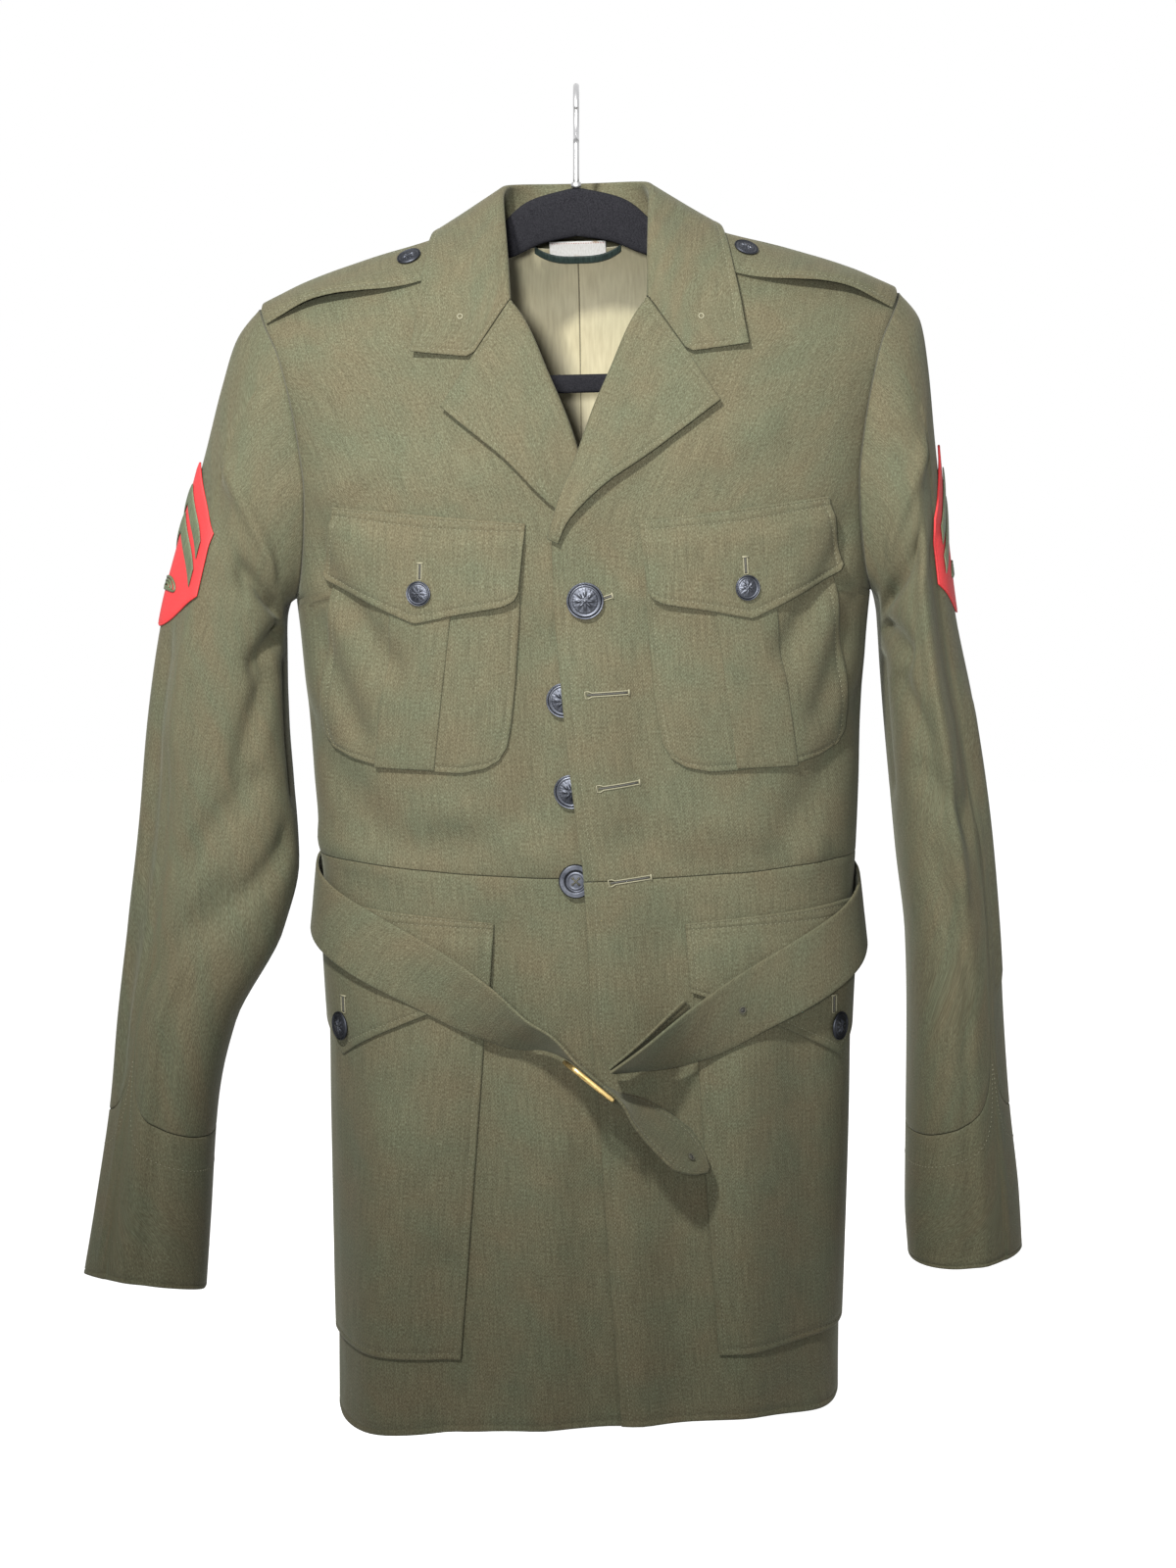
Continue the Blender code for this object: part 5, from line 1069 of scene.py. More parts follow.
def fill_at(bottom, top, left, right, u, v):
    u = u[:, None, None]
    v = v[None, :, None]
    return ((1 - v) * bottom[:, None] + v * top[:, None] + (1 - u) * left[None] + u * right[None]
            - (1 - u) * (1 - v) * bottom[0] - u * (1 - v) * bottom[-1]
            - (1 - u) * v * top[0] - u * v * top[-1])


# Points and faces of the stitches, worked details and cords of painted shade, gathered by material
THREADS_AND_SHADE_CORDS = {}
# Direction that no cord runs along, which sets where each cord's ring starts
CORD_REFERENCE = np.array([0.13, 0.97, 0.21])


def sew(key, path, out, pitch=3.3, length=2.4, radius=0.36, lift=0.1):
    """Adds a row of short stitches along a path of millimetre points, with the way out at each."""
    run = running(path, 0)
    count = int(run[-1] / pitch)
    if count < 1:
        return
    store = THREADS_AND_SHADE_CORDS.setdefault(key, [[], [], 0])
    middle = (np.arange(count) + 0.5) * run[-1] / count
    def at(d):
        return np.stack([np.interp(d, run, path[:, k]) for k in range(3)], axis=1)
    n = unit(np.stack([np.interp(middle, run, out[:, k]) for k in range(3)], axis=1))
    a = at(middle - length / 2)
    b = at(middle + length / 2)
    m = at(middle)
    side = unit(np.cross(b - a, n))
    corners = [a - n * radius * 0.6, b - n * radius * 0.6, m + side * radius + n * lift,
               m - side * radius + n * lift, m + n * (radius + lift), m - n * radius]
    points = np.stack(corners, axis=1).reshape(-1, 3)
    base = store[2] + np.arange(count)[:, None] * 6
    tris = np.array([(0, 2, 4), (0, 4, 3), (0, 3, 5), (0, 5, 2), (1, 4, 2), (1, 3, 4), (1, 5, 3), (1, 2, 5)])
    store[0].append(points)
    store[1].append((base[:, None] + tris[None]).reshape(-1, 3))
    store[2] += count * 6


def cord(key, path, radius, segments=6, closed=False):
    """Adds a round thread along a path of millimetre points."""
    path = np.asarray(path, float)
    store = THREADS_AND_SHADE_CORDS.setdefault(key, [[], [], 0])
    tangent = unit(np.roll(path, -1, 0) - np.roll(path, 1, 0) if closed else np.gradient(path, axis=0))
    a = unit(np.cross(tangent, CORD_REFERENCE))
    b = np.cross(tangent, a)
    turn = np.linspace(0, 2 * math.pi, segments, endpoint=False)
    radius = np.broadcast_to(np.asarray(radius, float), (len(path),))[:, None, None]
    spoke = a[:, None] * np.cos(turn)[None, :, None] + b[:, None] * np.sin(turn)[None, :, None]
    ring = path[:, None] + spoke * radius
    n = len(path)
    i, k = np.meshgrid(np.arange(n if closed else n - 1), np.arange(segments), indexing="ij")
    j = (i + 1) % n
    m = (k + 1) % segments
    one = np.stack([i * segments + k, i * segments + m, j * segments + m], -1).reshape(-1, 3)
    two = np.stack([i * segments + k, j * segments + m, j * segments + k], -1).reshape(-1, 3)
    faces = [one, two]
    if not closed:
        fan = np.arange(1, segments - 1)
        faces.append(np.stack([0 * fan, fan + 1, fan], -1))
        faces.append(np.stack([0 * fan, fan, fan + 1], -1) + (n - 1) * segments)
    store[0].append(ring.reshape(-1, 3))
    store[1].append(np.concatenate(faces) + store[2])
    store[2] += n * segments


def border(outer, n, key, u_low=False, u_high=False, v_low=False, v_high=False, row=STITCH_ROW):
    """Stitch rows along the chosen edges of a laid piece."""
    k = row
    if u_low:
        sew(key, outer[k, k:-k], n[k, k:-k])
    if u_high:
        sew(key, outer[-k - 1, k:-k], n[-k - 1, k:-k])
    if v_low:
        sew(key, outer[k:-k, k], n[k:-k, k])
    if v_high:
        sew(key, outer[k:-k, -k - 1], n[k:-k, -k - 1])


# Wave texture scale that makes one rib a metre: the texture has 20 radians to its unit
BAND_SCALE = 0.314159
# Turns of the twill lines in the wool and in the lining
WOOL_TWILL = math.radians(45)
LINING_TWILL = math.radians(63)


def make_tree(name):
    made = bpy.data.materials.new(name)
    made.use_nodes = True
    tree = made.node_tree
    return made, tree, tree.nodes.get("Principled BSDF")


def noise(tree, vector, scale, stretch=(1, 1, 1), detail=3.0):
    """Noise factor at so many features a metre, stretched along the cloth."""
    place = tree.nodes.new("ShaderNodeMapping")
    place.inputs["Scale"].default_value = (scale * stretch[0], scale * stretch[1], scale * stretch[2])
    tree.links.new(vector, place.inputs["Vector"])
    made = tree.nodes.new("ShaderNodeTexNoise")
    made.inputs["Scale"].default_value = 1.0
    made.inputs["Detail"].default_value = detail
    tree.links.new(place.outputs["Vector"], made.inputs["Vector"])
    return made.outputs["Fac"]


def ramp(tree, fac, *stops):
    """Colour by a factor, from (place, colour) stops."""
    made = tree.nodes.new("ShaderNodeValToRGB")
    while len(made.color_ramp.elements) < len(stops):
        made.color_ramp.elements.new(0.5)
    for element, (place, colour) in zip(made.color_ramp.elements, stops):
        element.position = place
        element.color = tuple(colour) + (1.0,)
    tree.links.new(fac, made.inputs["Fac"])
    return made.outputs["Color"]


def shades(tree, fac, low, high, spread_by=0.2):
    """Two shades about the middle of a factor."""
    return ramp(tree, fac, (0.5 - spread_by, low), (0.5 + spread_by, high))


def grey(value):
    return (value,) * 3


def multiply(tree, a, b):
    made = tree.nodes.new("ShaderNodeMix")
    made.data_type = "RGBA"
    made.blend_type = "MULTIPLY"
    made.inputs[0].default_value = 1.0
    tree.links.new(a, made.inputs[6])
    tree.links.new(b, made.inputs[7])
    return made.outputs[2]


def bump(tree, height, strength, distance, below=None):
    """Relief from a factor, on top of another relief."""
    made = tree.nodes.new("ShaderNodeBump")
    made.inputs["Strength"].default_value = strength
    made.inputs["Distance"].default_value = distance
    tree.links.new(height, made.inputs["Height"])
    if below is not None:
        tree.links.new(below, made.inputs["Normal"])
    return made.outputs["Normal"]


def cloth_place(tree):
    made = tree.nodes.new("ShaderNodeUVMap")
    made.uv_map = "cloth"
    return made.outputs["UV"]


def solid_place(tree):
    return tree.nodes.new("ShaderNodeTexCoord").outputs["Object"]


def bands(tree, vector, period, turn):
    """Even ribs at a period in metres."""
    place = tree.nodes.new("ShaderNodeMapping")
    place.inputs["Rotation"].default_value = (0, 0, turn)
    tree.links.new(vector, place.inputs["Vector"])
    made = tree.nodes.new("ShaderNodeTexWave")
    made.inputs["Scale"].default_value = BAND_SCALE / period
    made.inputs["Distortion"].default_value = 0.6
    made.inputs["Detail"].default_value = 1.0
    tree.links.new(place.outputs["Vector"], made.inputs["Vector"])
    return made.outputs["Fac"]


def sheen(shader, amount, rough, tint):
    shader.inputs["Sheen Weight"].default_value = amount
    shader.inputs["Sheen Roughness"].default_value = rough
    shader.inputs["Sheen Tint"].default_value = tuple(tint) + (1.0,)


def surface(tree, shader, colour, rough, relief):
    """Links a material's colour and relief, and sets how rough it is."""
    tree.links.new(colour, shader.inputs["Base Color"])
    shader.inputs["Roughness"].default_value = rough
    tree.links.new(relief, shader.inputs["Normal"])


def wool_material():
    """Heathered olive drab wool: brown and green fibres, yarn streaks, a 45 degree twill and a short nap."""
    made, tree, shader = make_tree("wool")
    uv = cloth_place(tree)
    fleck = ramp(tree, noise(tree, uv, 1500, (1, 0.4, 1), 2.0),
                 (0.3, (0.034, 0.03, 0.017)), (0.5, (0.05, 0.048, 0.029)), (0.7, (0.072, 0.072, 0.048)))
    yarn = shades(tree, noise(tree, uv, 700, (1, 0.06, 1), 2.0), (0.8, 0.79, 0.77), grey(1.06))
    weft = shades(tree, noise(tree, uv, 650, (0.08, 1, 1), 2.0), (0.93, 0.93, 0.92), grey(1.0))
    brown = shades(tree, noise(tree, uv, 26), (1.08, 0.99, 0.93), (0.94, 1.02, 0.99), 0.17)
    colour = multiply(tree, multiply(tree, fleck, yarn), multiply(tree, weft, brown))
    shader.inputs["Specular IOR Level"].default_value = 0.18
    sheen(shader, 0.05, 0.4, (0.75, 0.78, 0.62))
    twill = bump(tree, bands(tree, uv, 0.0014, WOOL_TWILL), 0.35, 0.00018)
    nap = bump(tree, noise(tree, uv, 1400, detail=2.0), 0.2, 0.00015, twill)
    surface(tree, shader, colour, 0.88, bump(tree, noise(tree, uv, 22, detail=2.0), 0.35, 0.003, nap))
    return made


def lining_material():
    """Fine twilled lining with a soft shine."""
    made, tree, shader = make_tree("lining")
    uv = cloth_place(tree)
    colour = shades(tree, noise(tree, uv, 500, (1, 0.1, 1), 2.0), (0.215, 0.192, 0.125), (0.265, 0.24, 0.16))
    shade = shades(tree, noise(tree, uv, 14), (0.86, 0.88, 0.86), (1.0, 0.99, 0.96), 0.15)
    shader.inputs["Anisotropic"].default_value = 0.4
    weave = bump(tree, bands(tree, uv, 0.0009, LINING_TWILL), 0.2, 0.0001)
    relief = bump(tree, noise(tree, uv, 40, (1, 0.4, 1)), 0.4, 0.002, weave)
    surface(tree, shader, multiply(tree, colour, shade), 0.48, relief)
    return made


def label_material():
    """Plain woven tape, with a brown age spot close to one end."""
    made, tree, shader = make_tree("label")
    uv = cloth_place(tree)
    ribs = shades(tree, noise(tree, uv, 1500, (1, 0.2, 1), 1.0), (0.5, 0.49, 0.46), (0.6, 0.59, 0.57))
    spots = ramp(tree, noise(tree, uv, 95, detail=2.0), (0.62, grey(1.0)), (0.72, (0.62, 0.5, 0.36)))
    relief = bump(tree, bands(tree, uv, 0.0008, 0.0), 0.4, 0.0001)
    surface(tree, shader, multiply(tree, ribs, spots), 0.75, relief)
    return made


def thread_and_shade_material(name, dark, light, rough):
    """Twisted sewing thread, and the same look for the dark cords of painted shade in seams, creases and
    holes.
    """
    made, tree, shader = make_tree(name)
    place = solid_place(tree)
    colour = shades(tree, noise(tree, place, 1400, detail=2.0), dark, light)
    surface(tree, shader, colour, rough, bump(tree, noise(tree, place, 1400, detail=1.0), 0.4, 0.0002))
    return made


def felt_material(name, dark, light):
    """Close felted cloth with a short nap."""
    made, tree, shader = make_tree(name)
    uv = cloth_place(tree)
    sheen(shader, 0.06, 0.5, light)
    colour = shades(tree, noise(tree, uv, 800), dark, light)
    surface(tree, shader, colour, 0.85, bump(tree, noise(tree, uv, 900), 0.5, 0.0003))
    return made


def satin_stitch_material(name, dark, light):
    """Rows of embroidery thread laid side by side."""
    made, tree, shader = make_tree(name)
    uv = cloth_place(tree)
    sheen(shader, 0.06, 0.4, light)
    colour = shades(tree, noise(tree, uv, 900, (1, 0.12, 1), 2.0), dark, light)
    surface(tree, shader, colour, 0.55, bump(tree, bands(tree, uv, 0.0011, 0.0), 0.6, 0.0003))
    return made


def metal_material(name, dark, light, rough, scale=120):
    """Metal with worn and tarnished places."""
    made, tree, shader = make_tree(name)
    place = solid_place(tree)
    wear = noise(tree, place, scale, detail=4.0)
    shader.inputs["Metallic"].default_value = 1.0
    relief = bump(tree, noise(tree, place, scale * 4, detail=2.0), 0.3, 0.0001)
    surface(tree, shader, shades(tree, wear, dark, light, 0.15), rough, relief)
    tree.links.new(shades(tree, wear, grey(rough + 0.15), grey(rough)), shader.inputs["Roughness"])
    return made


def flock_material():
    """Short dark velvet pile that throws almost no light back."""
    made, tree, shader = make_tree("flock")
    place = solid_place(tree)
    shader.inputs["Specular IOR Level"].default_value = 0.05
    sheen(shader, 0.03, 0.4, (0.2, 0.2, 0.22))
    colour = shades(tree, noise(tree, place, 1500, detail=2.0), (0.004, 0.004, 0.005), (0.012, 0.012, 0.014))
    surface(tree, shader, colour, 0.95, bump(tree, noise(tree, place, 1800, detail=2.0), 0.7, 0.0004))
    return made


def paper_material():
    """White studio paper, lit a little from itself so that it stays paler than its shadows."""
    made, tree, shader = make_tree("paper")
    colour = shades(tree, noise(tree, solid_place(tree), 3.0), grey(0.93), grey(0.95))
    tree.links.new(colour, shader.inputs["Base Color"])
    shader.inputs["Roughness"].default_value = 0.9
    shader.inputs["Emission Color"].default_value = (1.0, 1.0, 1.0, 1.0)
    shader.inputs["Emission Strength"].default_value = 0.15
    return made


MATERIALS = {
    "wool": wool_material(),
    "lining": lining_material(),
    "label": label_material(),
    "loop": satin_stitch_material("loop", (0.008, 0.016, 0.014), (0.025, 0.042, 0.036)),
    "scarlet": felt_material("scarlet", (0.23, 0.005, 0.006), (0.32, 0.009, 0.011)),
    "chevron": satin_stitch_material("chevron", (0.024, 0.033, 0.013), (0.055, 0.068, 0.03)),
    "brass": metal_material("brass", (0.42, 0.28, 0.1), (0.85, 0.62, 0.26), 0.28),
    "dark_metal": metal_material("dark_metal", (0.026, 0.028, 0.034), (0.062, 0.066, 0.077), 0.4),
    "flock": flock_material(),
    "steel": metal_material("steel", (0.42, 0.42, 0.42), (0.56, 0.56, 0.57), 0.25, 40),
    "wool_thread": thread_and_shade_material("wool_thread", (0.066, 0.064, 0.038), (0.105, 0.102, 0.064), 0.75),
    # Dark olive: real thread over the sewn button and round the belt holes, and painted seam shade on the
    # cords down in the seams
    "olive_thread_and_seam_shade": thread_and_shade_material("olive_thread_and_seam_shade", (0.018, 0.017, 0.01), (0.036, 0.034, 0.02), 0.9),
    # Painted shade: the dark crease line down the middle of the back lining
    "lining_crease_shade": thread_and_shade_material("lining_crease_shade", (0.06, 0.052, 0.03), (0.1, 0.088, 0.052), 0.7),
    "pale_thread": thread_and_shade_material("pale_thread", (0.075, 0.07, 0.042), (0.12, 0.113, 0.07), 0.7),
    # Painted shade in the openings of buttonholes and eyelets, and in the sewn button's holes round its
    # thread
    "thread_and_hole_shade": thread_and_shade_material("thread_and_hole_shade", (0.012, 0.012, 0.01), (0.03, 0.028, 0.022), 0.8),
    "red_thread": thread_and_shade_material("red_thread", (0.26, 0.005, 0.006), (0.36, 0.01, 0.011), 0.7),
    "green_thread": thread_and_shade_material("green_thread", (0.024, 0.033, 0.013), (0.055, 0.068, 0.03), 0.6),
}


def panel(part, plan, side, low, thick, u, v, held="hung"):
    """Wool piece for one node, from its grid on the smooth body. Gives its face and the ways out."""
    n = normal(plan)
    p = dressed(plan, side, 0.0)
    outer = laid("jacket_" + part, p, n, low, thick, u, v, "wool", [part], held)
    return outer, n


def tack(outer, n, row):
    """Sparse hem stitches along one row of a grid."""
    sew("wool_thread", outer[:, row], n[:, row], pitch=4.5, length=1.2, radius=0.22)


def front_panels(side):
    """Upper front and skirt, their edges stitched and the hem tacked up."""
    name = tag(side)
    u = spread(190, 5.0, "stitched", "seam")
    rise = spread(390, 5.0, "seam", "seam")
    plan = front_upper(side, u[0], rise[0])
    outer, n = panel("front_upper_" + name, plan, side, -CLOTH, CLOTH, u, rise)
    keep = plan[STITCH_ROW, :, 2] < EDGE_STITCH_TOP
    if side > 0:
        sew("wool_thread", outer[STITCH_ROW, keep], n[STITCH_ROW, keep])
    u = spread(185, 5.0, "stitched", "seam")
    v = spread(375, 5.0, "seam", "stitched")
    outer, n = panel("front_skirt_" + name, front_skirt(side, u[0], v[0]), side, -CLOTH, CLOTH, u, v)
    border(outer, n, "wool_thread", u_low=side > 0)
    tack(outer[4:], n[4:], TACK_ROW)


def back_panels(side):
    """Upper back and skirt of one half, with its hem tacked up."""
    name = tag(side)
    c = spread(220, 5.0)
    pin(c[0], BACK_NECK_SHARE)
    rise = spread(400, 5.0)
    panel("back_upper_" + name, back_panel(side, c[0], rise[0]), side, -CLOTH, CLOTH, c, rise)
    v = spread(382, 5.0, "seam", "stitched")
    outer, n = panel("back_skirt_" + name, back_skirt(side, c[0], v[0]), side, -CLOTH, CLOTH, c, v)
    tack(outer[3:-3], n[3:-3], TACK_ROW)


def free_edge(count):
    """Drops of a grid's columns that end in one stitched edge, in the form that spread gives."""
    drop = EDGES["stitched"][1][::-1]
    edge = np.concatenate([np.zeros(count - len(drop)), drop])
    rim = np.concatenate([np.zeros(count - 3), drop[-3:]])
    return None, edge, rim


def lapels(side):
    """One lapel, lifted a little along its free edge."""
    name = tag(side)
    rows = spread(190, 4.0, "seam", "stitched")
    grid = lapel_middle(side, rows[0], 16)
    n = grid_normals(grid)
    if np.mean(n[-1, :, 1]) > 0:
        n = -n
    share = smooth((np.linspace(0, 1, len(grid)) - 0.45) / 0.5)[:, None]
    puff = 2.4 * share * smooth(rows[0] / 0.2)[None, :]
    outer = laid("jacket_lapel_" + name, grid, n, -LAPEL_CLOTH / 2 + puff, LAPEL_CLOTH, free_edge(len(grid)),
                 rows, "wool", ["lapel_" + name])
    border(outer, n, "wool_thread", u_high=True, v_high=True)


def collar():
    """Whole collar, from the rows of one half mirrored at the centre back, where it has no seam."""
    half, drop, rim = spread(255, 4.5, "stitched", "seam")
    grid = collar_middle(half, 12)
    n = grid_normals(grid)
    if np.mean(n[-1, :, 2]) < 0:
        n = -n
    drop = np.concatenate([drop, drop[::-1][1:]])
    rim = np.concatenate([rim, rim[::-1][1:]])
    middle = len(half) - 1
    drop[middle - 4:middle + 5] = 0
    rim[middle - 4:middle + 5] = 0
    reach = smooth((np.linspace(0, 1, len(grid)) - 0.75) / 0.25)[:, None]
    ends = np.abs(np.linspace(-1, 1, grid.shape[1]))[None, :]
    lift = reach * (0.8 + 1.4 * smooth((ends - 0.5) / 0.3))
    outer = laid("jacket_collar", grid, n, -LAPEL_CLOTH / 2 + lift, LAPEL_CLOTH, free_edge(len(grid)),
                 (None, drop, rim), "wool", ["collar"], "folded")
    border(outer, n, "wool_thread", u_high=True, v_low=True, v_high=True)


def on_body(side, plan):
    """Front of the body at (distance from the middle, height)."""
    return body_at(side * plan[..., 0], plan[..., 1])


def flap_lift(q, rows, over, edge, corner):
    """Height of a flap's under face: over its pocket, and lifted more at its lower edge and corners."""
    ends = np.abs(2 * q - 1)[:, None]
    curl = edge + corner * smooth((ends - 0.25) / 0.5)
    return table(rows, over)[None, :] + curl * (rows ** 2)[None, :]


def flap(pocket, plan, side, low, q, rows):
    """One pocket flap with two rows of stitches at its seam and one round its free edges."""
    outer, n = panel(pocket + "_flap_" + tag(side), plan, side, low, TRIM, q, rows, "laid")
    for row in (4, 7):
        sew("wool_thread", outer[3:-3, row], n[3:-3, row])
    border(outer, n, "wool_thread", u_low=True, u_high=True, v_high=True)


def chest_pockets(side):
    """Patch pocket with rounded corners, its pleat strip and its pointed flap."""
    name = tag(side)
    u = spread(125, 3.0, "stitched", "stitched")
    v = spread(145, 3.5, "stitched", "seam")
    plan = fill_at(line_at(CHEST_BOTTOM, u[0]), line_at(CHEST_TOP, u[0]), line_at(CHEST_SIDE_IN[::-1], v[0]),
                   line_at(CHEST_SIDE_OUT[::-1], v[0]), u[0], v[0])
    outer, n = panel("chest_pocket_" + name, on_body(side, plan), side, POCKET_LOW, TRIM, u, v, "laid")
    border(outer, n, "wool_thread", u_low=True, u_high=True, v_low=True)
    q = spread(40, 2.5)
    rows = spread(138, 4.0)
    z = PLEAT_FROM + (PLEAT_TO - PLEAT_FROM) * rows[0][None, :] + 0 * q[0][:, None]
    t = (z - PLEAT_LEVELS[0]) / (PLEAT_LEVELS[1] - PLEAT_LEVELS[0])
    left_edge = PLEAT_TOP[0] + (PLEAT_BOTTOM[0] - PLEAT_TOP[0]) * t
    right_edge = PLEAT_TOP[1] + (PLEAT_BOTTOM[1] - PLEAT_TOP[1]) * t
    flat = on_body(side, np.stack([left_edge + (right_edge - left_edge) * q[0][:, None], z], axis=-1))
    laid("jacket_chest_pleat_" + name, dressed(flat, side, 0.0), normal(flat), POCKET_LOW + TRIM - 0.3, 1.5,
         q, rows, "wool", (), "folded")
    q = spread(130, 3.0, "stitched", "stitched")
    rows = spread(60, 3.0, "double", "stitched")
    top = line_at(CHEST_FLAP_TOP, q[0])[:, None]
    low = line_at(CHEST_FLAP_BOTTOM, q[0])[:, None]
    t = rows[0][None, :, None]
    lift = flap_lift(q[0], rows[0], CHEST_FLAP_OVER, 0.3, 1.6)
    flap("chest", on_body(side, top * (1 - t) + low * t), side, lift, q, rows)


def hip_pockets(side):
    """Large patch pocket that wraps to the side, bellied and rippled, and its pointed flap."""
    name = tag(side)
    u = spread(232, 4.5, "stitched", "stitched")
    v = spread(268, 4.5, "stitched", "seam")
    plan = hip_pocket_plan(u[0], v[0])
    flat = wrap(side * plan[..., 0], plan[..., 1])
    n = normal(flat)
    belly = 2.2 * hump(u[0])[:, None] * hump(v[0] * 1.05)[None, :] ** 0.8
    ripple = 0.7 * np.sin(plan[..., 0] / 17.0 + plan[..., 1] / 60.0) * hump(v[0])[None, :]
    ease = np.clip(belly + ripple, 0, 3.0)
    p = dressed(flat, side, 0.0)
    outer = p + n * (POCKET_LOW + TRIM + ease - np.minimum(across(u[1], v[1]), 0.8))[..., None]
    inner = p + n * (POCKET_LOW + ease * 0.6 + np.minimum(across(u[2], v[2]), 0.55))[..., None]
    sheet("jacket_hip_pocket_" + name, outer, inner, "wool", ["hip_pocket_" + name], held="laid")
    border(outer, n, "wool_thread", u_low=True, u_high=True, v_low=True)
    q = spread(236, 3.4, "stitched", "stitched")
    pin(q[0], 0.5)
    rows = spread(75, 3.4, "double", "stitched")
    plan = hip_flap_plan(q[0] * 2 - 1, rows[0])
    full = np.clip(belly.max() * 0.9, 0, 2.4)
    ease = full * smooth(rows[0] / 0.6)[None, :] * hump(q[0])[:, None] ** 0.5
    lift = flap_lift(q[0], rows[0], HIP_FLAP_OVER, 0, 1.2) + ease * 0.35
    flap("hip", wrap(side * plan[..., 0], plan[..., 1]), side, lift, q, rows)


def straps(side):
    """Shoulder strap, humped over the shoulder with its front edge lifted."""
    name = tag(side)
    t = spread(128, 3.5, "stitched", "seam")
    q = spread(52, 3.0, "stitched", "stitched")
    p, n, lift = strap(side, t[0], q[0])
    rise = 0.5 * hump(q[0])[None, :] * smooth(t[0] / 0.15)[:, None]
    rise = rise + 2.0 * smooth(1 - q[0] / 0.5)[None, :] * np.sin(math.pi * t[0])[:, None]
    outer = laid("jacket_shoulder_strap_" + name, p + n * lift[..., None], n, rise, TRIM, t, q, "wool",
                 ["shoulder_strap_" + name], "laid")
    border(outer, n, "wool_thread", u_low=True, v_low=True, v_high=True)


def tube(name, side, angle, v, rows, pull_in):
    """Sleeve or cuff as a wall round the arm. Gives its face and the ways out."""
    p, n = sleeve_face(side, angle[:, None] + 0 * v, v, np.zeros(v.shape))
    p[..., 0] = p[..., 0] - side * pull_in * (1 - smooth(v / 0.03))
    drop = np.broadcast_to(rows[1][None, :], v.shape) + 0.0
    if pull_in:
        drop[:, 0] = 0.3
    rim = np.broadcast_to(rows[2][None, :], v.shape)
    outer = p - n * np.minimum(drop, 0.8)[..., None]
    inner = p - n * (SLEEVE_CLOTH - np.minimum(rim, 0.5))[..., None]
    node = name + "_" + tag(side)
    sheet("jacket_" + node, outer, inner, "wool", [node], wrap=True, held="hung")
    return outer, n


def ring(row):
    """Row closed back to its start."""
    return np.concatenate([row, row[:1]])


def sleeves(side):
    """Sleeve from the armhole to its cuff seam, and the cuff below it."""
    turn = np.linspace(0, 2 * math.pi, 97)[:-1]
    angle = turn - 0.35 * np.sin(turn) + math.radians(CUFF_TIP_ANGLE)
    seam = cuff_share(side, angle)
    rows = spread(460, 6.0, "seam", "seam")
    tube("sleeve", side, angle, rows[0][None, :] * (seam - CUFF_GAP)[:, None], rows, HEAD_PULL)
    rows = spread(125, 5.0, "seam", "stitched")
    start = (seam + CUFF_GAP)[:, None]
    outer, n = tube("cuff", side, angle, start + (1 - start) * rows[0][None, :], rows, 0)
    sew("wool_thread", ring(outer[:, CUFF_STITCH_ROW]), ring(n[:, CUFF_STITCH_ROW]))
    p, n = sleeve_face(side, angle, CUFF_TACKS * np.ones(angle.shape), np.zeros(angle.shape))
    tack(ring(p)[:, None], ring(n)[:, None], 0)


# Middle of the motif: distance along the patch and down from its top
MOTIF_AT = np.array([0, 83])


def on_sleeve_face(side, plan):
    """Sleeve face and its ways out, at (distance round, distance down from the patch's top)."""
    angle, v = sleeve_at_height(side, plan[..., 0] + PATCH_TURN[side], PATCH_TOP - plan[..., 1])
    return sleeve_face(side, angle, v, np.zeros(v.shape))


def rim_of(g):
    """Edge of a grid, once round."""
    return np.concatenate([g[:, 0], g[-1, 1:], g[::-1, -1][1:], g[0, ::-1][1:-1]])


def patches(side):
    """Sleeve patch with its stitched outline, two chevrons and a plain leaf motif."""
    name = tag(side)
    q = spread(84, 3.0, "seam", "seam")
    pin(q[0], 0.5)
    t = spread(80, 3.0, "seam", "seam")
    p, n = on_sleeve_face(side, patch_plan(q[0] * 2 - 1, t[0]))
    outer = laid("jacket_patch_" + name, p, n, PATCH_LOW, PATCH_THICK, q, t, "scarlet", ["patch_" + name],
                 "laid")
    cord("red_thread", rim_of(outer) - rim_of(n) * 0.1, 0.85, closed=True)
    top = PATCH_LOW + PATCH_THICK
    for number, drop in enumerate(CHEVRON_DROPS, 1):
        q = spread(72, 2.4, "seam", "seam")
        pin(q[0], 0.5)
        t = spread(CHEVRON_WIDTH, 1.8, "seam", "seam")
        p, n = on_sleeve_face(side, chevron_plan(drop, q[0] * 2 - 1, t[0]))
        part = "chevron_%d_%s" % (number, name)
        thick = CHEVRON_THICK + 0.35 * hump(t[0])[None, :]
        laid("jacket_" + part, p, n, top + SEAM, thick, q, t, "chevron", [part], "laid")
    w = np.linspace(0, 2 * math.pi, 33)[:-1]
    leaf = np.stack([14.0 * np.cos(w), 4.2 * np.sin(w) + 2.0 * np.cos(2 * w)], axis=-1)
    for scale in (1.0, 0.66, 0.33):
        p, n = on_sleeve_face(side, leaf * scale + MOTIF_AT)
        cord("green_thread", p + n * (top + 0.35), 0.95, closed=True)


